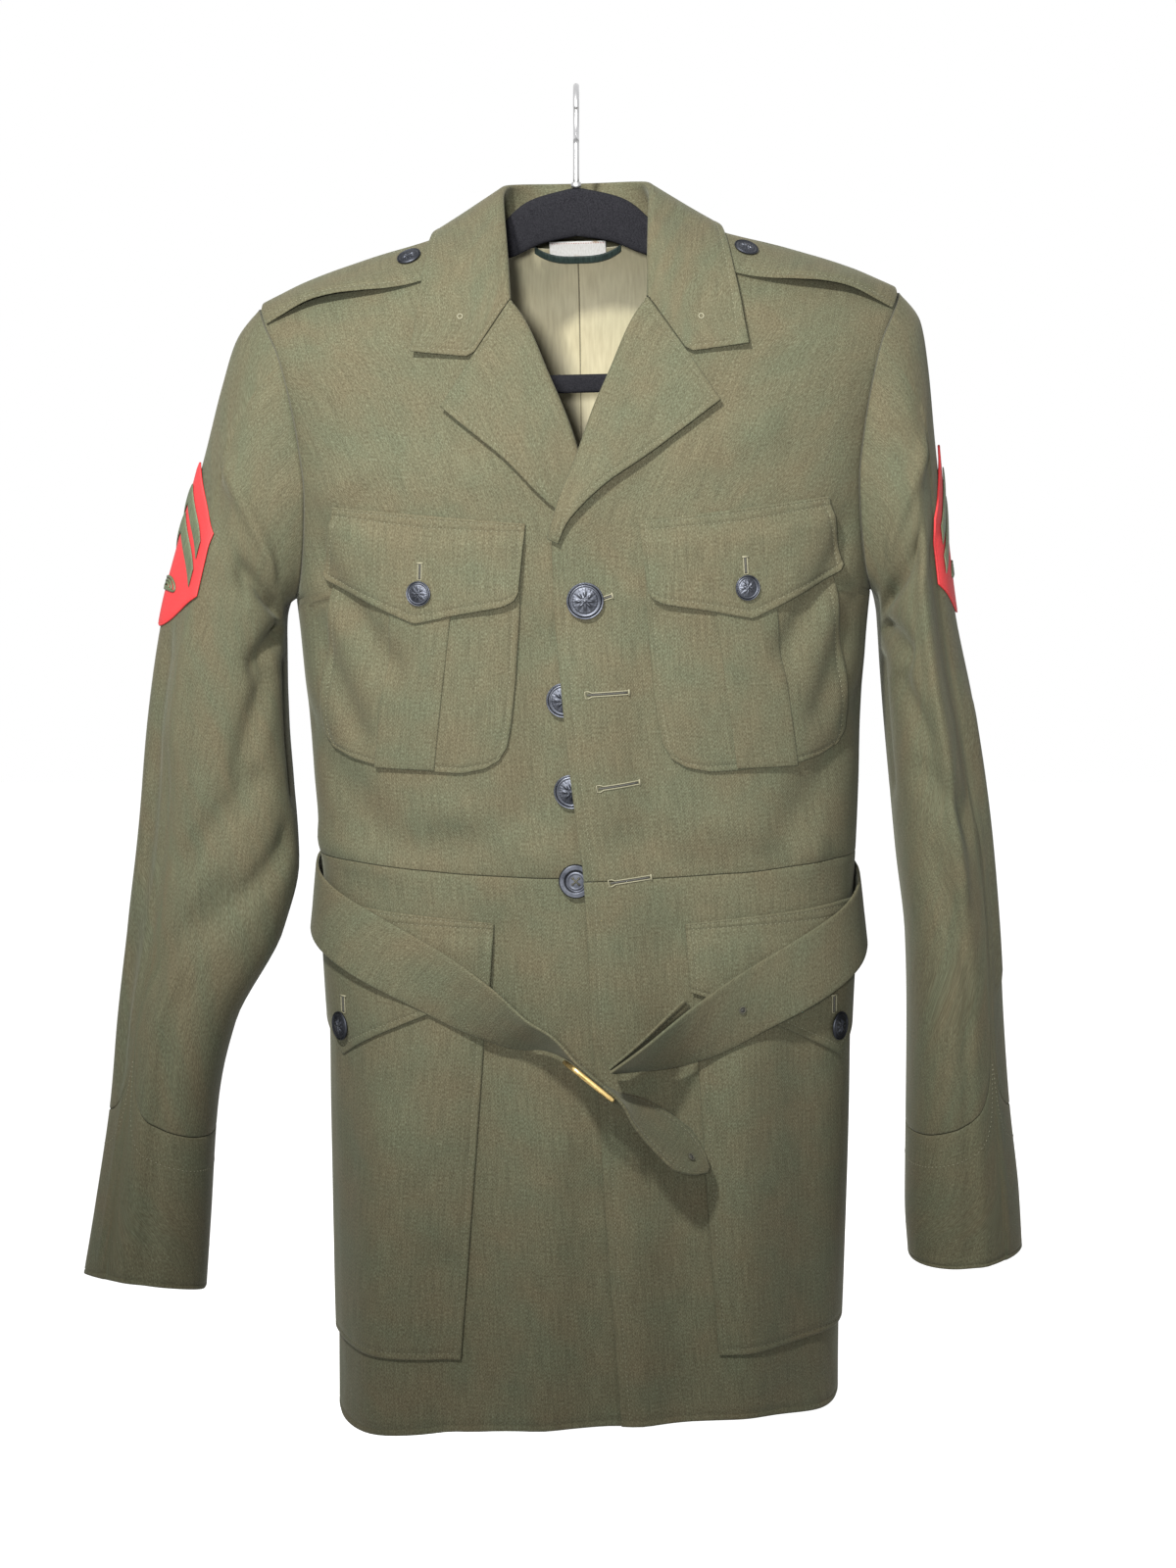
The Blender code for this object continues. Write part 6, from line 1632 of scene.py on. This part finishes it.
def belt_piece(part, path, length, half, taper=None):
    """Run of the belt, edge stitched, with a slight wave along its middle."""
    s = spread(length, 5.0, "seam", "seam")
    q = spread(2 * half, 2.2, "stitched", "stitched")
    middle = ribbon(path, s[0], q[0] * 2 - 1, half, taper)
    n = grid_normals(middle)
    if np.mean(n[..., 1]) > 0 and part != "belt":
        n = -n
    wave = 0.35 * np.sin(s[0] * length / 21.0)[:, None] * hump(q[0])[None, :]
    outer = laid("jacket_" + part, middle, n, -BELT_THICK / 2 + wave, BELT_THICK, s, q, "wool", [part],
                 "stretched")
    border(outer, n, "wool_thread", v_low=True, v_high=True)


# More twist of the tongue towards its end, in degrees
TONGUE_TURN = np.array([0, 5, 12, 12, 10, 10])


def tongue_shape(t):
    """Share of the full width along the tongue, which ends in a point."""
    return np.interp(t, [0, 0.8, 0.92, 1.0], [1, 1, 0.62, 0.08])


def turned_tongue():
    path = TONGUE_PATH.copy()
    path[:, 3] += TONGUE_TURN
    return path


def belts():
    """Belt from the buckle round the back to its other end, then its tongue and turned-back end."""
    left = BELT_PATH_LEFT
    back = BELT_PATH_RIGHT[::-1].copy()
    total = 2 * np.interp(180, ARC_ANGLES, ARC_LENGTHS)
    back[:, 0] = back[:, 0] - total
    path = np.concatenate([left, back[1:] if back[0, 0] > left[-1, 0] - 20 else back])
    reach = np.minimum(np.abs(path[:, 0]), np.abs(path[:, 0] + total))
    path[:, 3] -= 10 * smooth((reach - 110) / 40) * smooth((320 - reach) / 40)
    belt_piece("belt", path, 940, BELT_HALF)
    belt_piece("belt_tongue", turned_tongue(), 100, BELT_HALF, tongue_shape)
    belt_piece("belt_turnback", TURNBACK_PATH, 68, TURNBACK_HALF)


def buckle():
    """Rectangular brass bar frame that stands on edge."""
    centre = wrap(np.array(BUCKLE_AT[0]), np.array(BUCKLE_AT[1])) + np.array([0, -BUCKLE_OUT, 0])
    along = np.array([0.77, 0.0, -0.64])
    out = np.array([0.122, -0.982, 0.146])
    out = out / np.linalg.norm(out)
    across = np.cross(along, out)
    centre = centre - across * BUCKLE_SHIFT
    outline = []
    for sx, sy, start in ((1, 1, 0), (-1, 1, 90), (-1, -1, 180), (1, -1, 270)):
        for k in range(9):
            a = math.radians(start + 90 * k / 8)
            outline.append((sx * (BUCKLE_HALF_ALONG - BUCKLE_CORNER) + BUCKLE_CORNER * math.cos(a),
                            sy * (BUCKLE_HALF_OUT - BUCKLE_CORNER) + BUCKLE_CORNER * math.sin(a)))
    outline = np.array(outline)
    step = np.roll(outline, -1, 0) - np.roll(outline, 1, 0)
    step = step / np.linalg.norm(step, axis=1, keepdims=True)
    side = np.stack([step[:, 1], -step[:, 0]], axis=1)
    section = np.radians(np.arange(0, 360, 24))
    grid = np.zeros((len(outline), len(section), 3))
    for i, ((a, b), (na, nb)) in enumerate(zip(outline, side)):
        for j, turn in enumerate(section):
            r = BUCKLE_WIRE * math.cos(turn)
            h = BUCKLE_WIRE * math.sin(turn)
            grid[i, j] = centre + along * (a + na * r) + out * (b + nb * r) + across * h
    made = add_mesh("jacket_belt_buckle", grid.reshape(-1, 3), torus_faces(*grid.shape[:2]), "brass")
    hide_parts("belt_buckle")


def torus_faces(nu, nv):
    """Faces of a grid that is closed both ways."""
    faces = []
    for i in range(nu):
        for j in range(nv):
            k = (i + 1) % nu
            m = (j + 1) % nv
            faces.append((i * nv + j, k * nv + j, k * nv + m, i * nv + m))
    return faces


def hanger():
    """Flocked flat frame with rounded edges, and the steel hook in the plane across it."""
    t = np.linspace(0, len(FRAME) - 1, 110)
    row = curve(t, np.arange(len(FRAME)), FRAME)
    full = np.concatenate([row, (row * np.array([-1, 1, 1]))[::-1][1:-1]])
    step = np.roll(full[:, :2], -1, 0) - np.roll(full[:, :2], 1, 0)
    step = step / np.linalg.norm(step, axis=1, keepdims=True)
    out = np.stack([-step[:, 1], step[:, 0]], axis=1)
    section = np.radians(np.arange(0, 360, 18) + 9)
    grid = np.zeros((len(full), len(section), 3))
    for k, a in enumerate(section):
        reach = np.sign(math.cos(a)) * abs(math.cos(a)) ** 0.6 * full[:, 2]
        grid[:, k, 0] = full[:, 0] + out[:, 0] * reach
        grid[:, k, 2] = full[:, 1] + out[:, 1] * reach
        grid[:, k, 1] = np.sign(math.sin(a)) * abs(math.sin(a)) ** 0.6 * FRAME_HALF_DEPTH
    made = add_mesh("hanger_frame_flocked", grid.reshape(-1, 3), torus_faces(*grid.shape[:2]), "flock")
    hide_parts("hanger_frame")
    angles = np.radians(np.linspace(-90, 170, 48))
    path = [(0, 0, -64.4), (0, 0, -58), (0, 0, -50), (0, 0, -42), (0, 0, -37)]
    path += [(0, HOOK_RADIUS * math.cos(a), HOOK_MIDDLE + HOOK_RADIUS * math.sin(a)) for a in angles]
    end = angles[-1] + 0.05
    path.append((0, HOOK_RADIUS * math.cos(end), HOOK_MIDDLE + HOOK_RADIUS * math.sin(end)))
    width = np.full(len(path), HOOK_WIRE)
    width[-1] = 0.6 * HOOK_WIRE
    cord("hook", path, width, 16)
    points, faces, _ = THREADS_AND_SHADE_CORDS.pop("hook")
    made = add_mesh("hanger_hook_wire", np.concatenate(points), np.concatenate(faces).tolist(), "steel")
    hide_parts("hanger_hook")
    collar_path = np.array([(0, 0, -64.2), (0, 0, -62.8), (0, 0, -61.2), (0, 0, -60.4)])
    cord("ferrule", collar_path, np.array([3.4, 3.4, 3.2, 2.4]), 16)
    points, faces, _ = THREADS_AND_SHADE_CORDS.pop("ferrule")
    add_mesh("hanger_ferrule", np.concatenate(points), np.concatenate(faces).tolist(), "steel")


# Back lining: half width, distance below the neck seam, height of its lower edge
LINING_WIDE = 150
LINING_BELOW_NECK = 18
LINING_BOTTOM = -330
# Neck label: size and height of its lower edge
LABEL_WIDE = 39
LABEL_TALL = 13
LABEL_BOTTOM = -106
# Hanging loop: length and width, height of its middle, rise of its ends
LOOP_LONG = 60
LOOP_WIDE = 5.2
LOOP_LOWEST = -105
LOOP_SAG = 8


def linings():
    """Two halves of back lining, the neck label and the hanging loop."""
    for side in (-1, 1):
        name = tag(side)
        c = spread(LINING_WIDE, 5.0)
        t = spread(230, 5.0)
        top_x = LINING_WIDE * c[0]
        drop = table(np.minimum(top_x, NECK_HALF), NECK_BACK_DROP)
        along = np.where(top_x < NECK_HALF, drop, 0) + LINING_BELOW_NECK
        top = over_shoulder(top_x, along)
        z = top[:, 2][:, None] * (1 - t[0]) + LINING_BOTTOM * t[0]
        x = np.maximum(top_x[:, None] * (1 - 0 * t[0]), 0.2)
        flat = body_at(side * x, z, True)
        n = normal(flat)
        p = dressed(flat, side, 0.0)
        fold = 0.9 * np.sin(x / 11.0 + 1.0) * smooth(t[0])[None, :] + 1.2 * np.exp(-(x / 4.0) ** 2)
        fold = np.clip(fold, 0, 1.8)
        outer = p - n * (LINING_IN + 0.5 + fold * 0.4 + np.minimum(across(c[1], t[1]), 0.4))[..., None]
        inner = p - n * (LINING_IN + 0.5 + LINING + fold - np.minimum(across(c[2], t[2]), 0.4))[..., None]
        sheet("jacket_lining_" + name, inner, outer, "lining", ["lining_" + name], held="hung")
    u = spread(LABEL_WIDE, 1.6)
    v = spread(LABEL_TALL, 1.2)
    grid_x, grid_z = np.meshgrid(LABEL_WIDE * (u[0] - 0.5), LABEL_BOTTOM + LABEL_TALL * v[0], indexing="ij")
    p = body_at(grid_x, grid_z, True)
    n = -normal(p)
    under = LINING_IN + LINING + SEAM + 1.5
    outer = laid("jacket_neck_label", p, n, under, 0.9, u, v, "label", ["neck_label"], held="laid")
    sew("red_thread", outer[2:-2, -3], n[2:-2, -3], pitch=1.6, length=1.3, radius=0.35)
    u = spread(LOOP_LONG, 1.8)
    v = spread(LOOP_WIDE, 0.9)
    x = LOOP_LONG * (u[0] - 0.5)
    sag = LOOP_LOWEST + LOOP_SAG * (np.abs(x) / (LOOP_LONG / 2)) ** 3
    z = sag[:, None] + (LOOP_WIDE * (v[0] - 0.5))[None, :]
    p = body_at(x[:, None] + 0 * z, z, True)
    n = -normal(p)
    off = under + 1.0 + SEAM + 0.1
    laid("jacket_hanging_loop", p, n, off, 1.3, u, v, "loop", ["hanging_loop"], held=None)


def disc_grid(radius, height, rings, segments):
    """Places and heights on a button's face: rings outwards, then round."""
    r = np.linspace(0, 1, rings) * radius
    a = np.linspace(0, 2 * math.pi, segments, endpoint=False)
    rr, aa = np.meshgrid(r, a, indexing="ij")
    return rr, aa, height(rr / radius, aa)


def rosette_height(r, a):
    """Eight-petal flower in a beaded ring, with a smooth rim."""
    dome = 0.2 * (1 - r ** 2)
    petal = 0.07 * np.clip(np.cos(8 * a), -0.2, 1) * np.exp(-((r - 0.36) / 0.16) ** 2)
    inner = 0.06 * np.clip(np.cos(8 * a + math.pi), -0.1, 1) * np.exp(-((r - 0.17) / 0.07) ** 2)
    centre = 0.07 * np.exp(-(r / 0.09) ** 2)
    beads = 0.055 * np.clip(np.cos(28 * a), -0.3, 1) * np.exp(-((r - 0.68) / 0.05) ** 2)
    rim = 0.07 * np.exp(-((r - 0.88) / 0.06) ** 2)
    return dome + petal + inner + centre + beads + rim


def sewn_height(r, a):
    """Plain rim round a flat middle."""
    rim = 0.12 * smooth((r - 0.6) / 0.14)
    ring = 0.02 * np.exp(-((r - 0.5) / 0.04) ** 2)
    return 0.12 + rim + ring


def button(node, centre, axis, radius, height):
    """Domed metal button with a relief on its face. Gives the ways across and up it."""
    axis = axis / np.linalg.norm(axis)
    side = np.cross(np.array([0.0, 0.0, 1.0]), axis)
    side = side / np.linalg.norm(side)
    up = np.cross(axis, side)
    rings = 26
    segments = 72
    rr, aa, hh = disc_grid(0.94 * radius, height, rings, segments)
    grid = [(rr[i], aa[i], 0.06 * radius + hh[i] * radius) for i in range(1, rings)]
    a = aa[0]
    for r, h in ((0.975, 0.2), (1.0, 0.13), (0.995, 0.07), (0.96, 0.02), (0.9, 0.0)):
        grid.append((np.full(segments, r * radius), a, np.full(segments, h * radius)))
    points = [centre + axis * (0.06 * radius + hh[0, 0] * radius)]
    for r, t, h in grid:
        points += list(centre + axis * np.atleast_1d(h)[:, None] + side * (r * np.cos(t))[:, None]
                       + up * (r * np.sin(t))[:, None])
    points.append(centre)
    faces = []
    last = len(points) - 1
    for k in range(segments):
        n = (k + 1) % segments
        faces.append((0, 1 + k, 1 + n))
        for r in range(len(grid) - 1):
            b = 1 + r * segments
            faces.append((b + k, b + segments + k, b + segments + n, b + n))
        faces.append((1 + (len(grid) - 1) * segments + k, last, 1 + (len(grid) - 1) * segments + n))
    made = add_mesh("jacket_" + node, np.array(points), faces, "dark_metal")
    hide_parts(node)
    return side, up


def seat(p, side, offset):
    """Place of a button off the body face, and the way it faces."""
    return dressed(p[None], side, offset)[0], normal(p[None])[0]


def buttons():
    """Front, chest, hip and strap buttons. The lowest front one has a plain face, sewn through four holes."""
    for index, (name, x, z) in enumerate(FRONT_BUTTONS):
        p = body_at(np.array(x), np.array(z))
        if index == 0:
            centre, axis = seat(p, 1, BUTTON_OFF["top"])
            button(name, centre, axis, BUTTON_FRONT, rosette_height)
        else:
            centre, axis = seat(p, -1, BUTTON_OFF["front"])
            relief = sewn_height if index == 3 else rosette_height
            side, up = button(name, centre, axis, BUTTON_UNDONE, relief)
            if index == 3:
                holes = [centre + axis * 2.3 + side * (2.1 * sx) + up * (2.1 * sz)
                         for sx, sz in ((-1, -1), (1, -1), (1, 1), (-1, 1))]
                for hole in holes:
                    # Dark plugs in the four holes: the thread in them, darkened with painted shade
                    cord("thread_and_hole_shade", np.array([hole - axis * 0.6, hole + axis * 0.25]), 0.95, 10)
                cord("olive_thread_and_seam_shade", np.array([holes[0] + axis * 0.3, holes[2] + axis * 0.3]), 0.55, 6)
                cord("olive_thread_and_seam_shade", np.array([holes[1] + axis * 0.5, holes[3] + axis * 0.5]), 0.55, 6)
    for side in (-1, 1):
        name = tag(side)
        p = body_at(np.array(side * CHEST_BUTTON[0]), np.array(CHEST_BUTTON[1]))
        centre, axis = seat(p, side, BUTTON_OFF["chest"])
        button("chest_button_" + name, centre, axis, BUTTON_SMALL, rosette_height)
        p = body_at(np.array(side * HIP_BUTTON[0]), np.array(HIP_BUTTON[1]))
        centre, axis = seat(p, side, BUTTON_OFF["hip"])
        button("hip_button_" + name, centre, axis, BUTTON_HIP, rosette_height)
        p = over_shoulder(np.array(side * STRAP_BUTTON[0]), np.array(STRAP_BUTTON[1]))
        n = normal(p[None])[0]
        button("strap_button_" + name, p + n * BUTTON_OFF["strap"], n, BUTTON_SMALL, rosette_height)


def buttonhole(a, b, side, height, eye=True):
    """Worked slot between two places on the body, with a bar at one end, its opening a dark cord of painted
    shade.
    """
    a = np.array(a, float)
    b = np.array(b, float)
    run = b - a
    length = np.linalg.norm(run)
    run = run / length
    cross = np.array([-run[1], run[0]])
    half = 1.2
    t = np.linspace(0, 1, 14)
    loop = [a + run * length * s + cross * half * (1 + (0.9 if eye and s < 0.14 else 0)) for s in t]
    loop += [a + run * length * s - cross * half * (1 + (0.9 if eye and s < 0.14 else 0)) for s in t[::-1]]
    loop = np.array(loop)
    flat = body_at(loop[:, 0], loop[:, 1])
    p = dressed(flat, side, height + 0.25)
    cord("pale_thread", p, 0.45, closed=True)
    t = np.linspace(0.04, 0.96, 10)[:, None]
    slot = a + run * length * t
    flat = body_at(slot[:, 0], slot[:, 1])
    # Painted shade: dark cord in the slot's opening
    cord("thread_and_hole_shade", dressed(flat, side, height + 0.1), 0.6)
    bar = np.array([b + cross * 2.1, b - cross * 2.1])
    flat = body_at(bar[:, 0], bar[:, 1])
    cord("pale_thread", dressed(flat, side, height + 0.4), 0.7)


def eyelet(p, n, radius, key="pale_thread"):
    """Ring of thread with a dark middle of painted shade in its hole, at a place with its way out."""
    n = n / np.linalg.norm(n)
    side = np.cross(n, np.array([0, 0, 1.0]))
    side = side / np.linalg.norm(side)
    up = np.cross(n, side)
    a = np.linspace(0, 2 * math.pi, 17)[:-1]
    ring = p + side * (radius * np.cos(a))[:, None] + up * (radius * np.sin(a))[:, None]
    cord(key, ring + n * 0.2, 0.5, closed=True)
    # Painted shade: dark disc in the eyelet's hole
    cord("thread_and_hole_shade", np.array([p - n * 0.3, p + n * 0.12]), radius - 0.2, 12)


# Front buttonholes: ends (x, height) on the upper front, and whether the outer end is round
FRONT_HOLES = [
    ((0.4, -393), (29, -392), True), ((6.8, -454.7), (35, -451.7), True),
    ((13, -517.8), (41, -514.4), True), ((12.5, -331), (19, -329), False)]
# Lapel eyelets: x, height
LAPEL_EYELETS = [(-76.8, -149), (78.7, -152.6)]


def details():
    """Buttonholes of the front and the flaps, and the eyelets of the lapels."""
    for a, b, eye in FRONT_HOLES:
        buttonhole(a, b, 1, 0.0, eye)
    for side in (-1, 1):
        buttonhole((side * 104.5, -317), (side * 104, -306), side, 3.6 + TRIM, False)
        buttonhole((side * 162, -614), (side * 162, -602), side, 3.1 + TRIM + 0.7, False)
    for x, z in LAPEL_EYELETS:
        flat = body_at(np.array([x]), np.array([z]))
        n = normal(flat)
        eyelet((flat + n * (LEAF + LAPEL_CLOTH / 2))[0], n[0], 1.6)


def belt_eyelet(path, share, middle, reach, height, taper=None):
    """Worked hole on a belt path, with its face taken from three places close to it."""
    across_belt = middle + reach * np.array([-1.0, 0.0, 1.0])
    p = ribbon(path, np.array([0.0, 0.001]) + share, across_belt, BELT_HALF, taper)
    n = np.cross(p[1, 1] - p[0, 1], p[0, 2] - p[0, 0])
    n = n if n[1] < 0 else -n
    n = n / np.linalg.norm(n)
    eyelet(p[0, 1] + n * (BELT_THICK / 2 + height), n, 2.2, "olive_thread_and_seam_shade")


def belt_eyelets():
    """Two worked holes on the belt: one in the right run and one in the tongue."""
    share = (4 + (97 - 107) / 35.0) / (len(BELT_PATH_RIGHT) - 1)
    belt_eyelet(BELT_PATH_RIGHT, share, 0.0, 0.1, 0.5)
    belt_eyelet(turned_tongue(), 0.86, 0.1, 0.2, 0.4, tongue_shape)


def seam_fillers():
    """Cloth seen down in the seams, painted darker than the wool as shade: round the armholes, down the sides
    and the centre back, and a line of painted shade down the middle of the lining.
    """
    # Painted shade: dark cords down in the armhole, side and centre back seams, and a dark crease line on the
    # lining
    turn = np.linspace(0, 2 * math.pi, 161)[:-1]
    for side in (-1, 1):
        ring = armhole_ring(side, turn) + np.array([side * SLEEVE_GAP / 2, 0, 0])
        cord("olive_thread_and_seam_shade", ring - normal(ring) * 0.95, 0.8, closed=True)
    for side in (-1, 1):
        z = np.linspace(-338, -894, 120)
        flat = body_round(np.full(z.shape, side * 90.0), z)
        cord("olive_thread_and_seam_shade", dressed(flat, side, -1.0), 0.55)
    start = float(over_shoulder(0.1, 40.0)[2])
    z = np.linspace(start - 2, HEM_BACK + 1, 160)
    flat = body_at(0 * z, z, True)
    cord("olive_thread_and_seam_shade", dressed(flat, 1, -1.1), 0.55)
    z = np.linspace(float(over_shoulder(0.1, 57.0)[2]), -328, 60)
    flat = body_at(0 * z, z, True)
    # Painted shade: dark crease line down the middle of the back lining
    cord("lining_crease_shade", dressed(flat, 1, -LINING_IN - 2.4), 0.7)


def threads_and_shade_cords():
    """One object for each kind of thread and of painted shade cord, with all its stitches and cords."""
    for key, (points, faces, _) in THREADS_AND_SHADE_CORDS.items():
        add_mesh("jacket_" + key, np.concatenate(points), np.concatenate(faces).tolist(), key)


def add_light(name, place, aim, watts, beam, colour=(1, 1, 1)):
    """Soft-edged spotlight with its beam in degrees."""
    data = bpy.data.lights.new(name, "SPOT")
    data.energy = watts
    data.color = colour
    data.spot_size = math.radians(beam)
    data.spot_blend = 1.0
    data.shadow_soft_size = 0.09
    made = bpy.data.objects.new(name, data)
    bpy.context.scene.collection.objects.link(made)
    made.location = place
    made.rotation_euler = (Vector(aim) - Vector(place)).to_track_quat("-Z", "Y").to_euler()
    return made


def plane(name, corners, kind):
    """Flat sheet with one material."""
    mesh = bpy.data.meshes.new(name)
    mesh.from_pydata(corners, [], [(0, 1, 2, 3)])
    mesh.materials.append(kind)
    made = bpy.data.objects.new(name, mesh)
    bpy.context.scene.collection.objects.link(made)
    return made


# Photo height and focal length in its pixels, sensor height in millimetres
PHOTO_HEIGHT = 1600.0
FOCAL = 3234.0
SENSOR = 36.0
# Camera place in metres, and how far it looks down in radians
CAMERA_AT = (0.0079, -2.150, -0.167)
CAMERA_DROP = math.atan(450 / 3235)
FLOOR = -1.3


def stage():
    """White paper floor, white surroundings, two lights and the photo's camera."""
    corners = [(-6, -5, FLOOR), (6, -5, FLOOR), (6, 6, FLOOR), (-6, 6, FLOOR)]
    floor = plane("floor", corners, paper_material())
    world = bpy.data.worlds.new("studio")
    world.use_nodes = True
    world.node_tree.nodes["Background"].inputs["Color"].default_value = (1.0, 1.0, 1.0, 1.0)
    world.node_tree.nodes["Background"].inputs["Strength"].default_value = 1.0
    bpy.context.scene.world = world
    key = add_light("key", (-0.6, -1.6, 1.05), (-0.02, 0.0, -0.26), 550, 37, (1.0, 0.99, 0.96))
    front = add_light("front", (-0.15, -2.3, -0.05), (0.0, 0.0, -0.24), 360, 31)
    bpy.context.scene.view_settings.view_transform = "Standard"
    data = bpy.data.cameras.new("camera")
    data.sensor_fit = "VERTICAL"
    data.sensor_height = SENSOR
    data.lens = FOCAL / PHOTO_HEIGHT * SENSOR
    data.clip_end = 20.0
    data.dof.use_dof = False
    made = bpy.data.objects.new("camera", data)
    made.location = CAMERA_AT
    made.rotation_euler = (math.pi / 2 - CAMERA_DROP, 0, 0)
    bpy.context.scene.collection.objects.link(made)
    bpy.context.scene.camera = made


for one in (-1, 1):
    front_panels(one)
    back_panels(one)
    lapels(one)
    chest_pockets(one)
    hip_pockets(one)
    straps(one)
    sleeves(one)
    patches(one)
collar()
belts()
buckle()
hanger()
linings()
buttons()
details()
belt_eyelets()
seam_fillers()
threads_and_shade_cords()
stage()
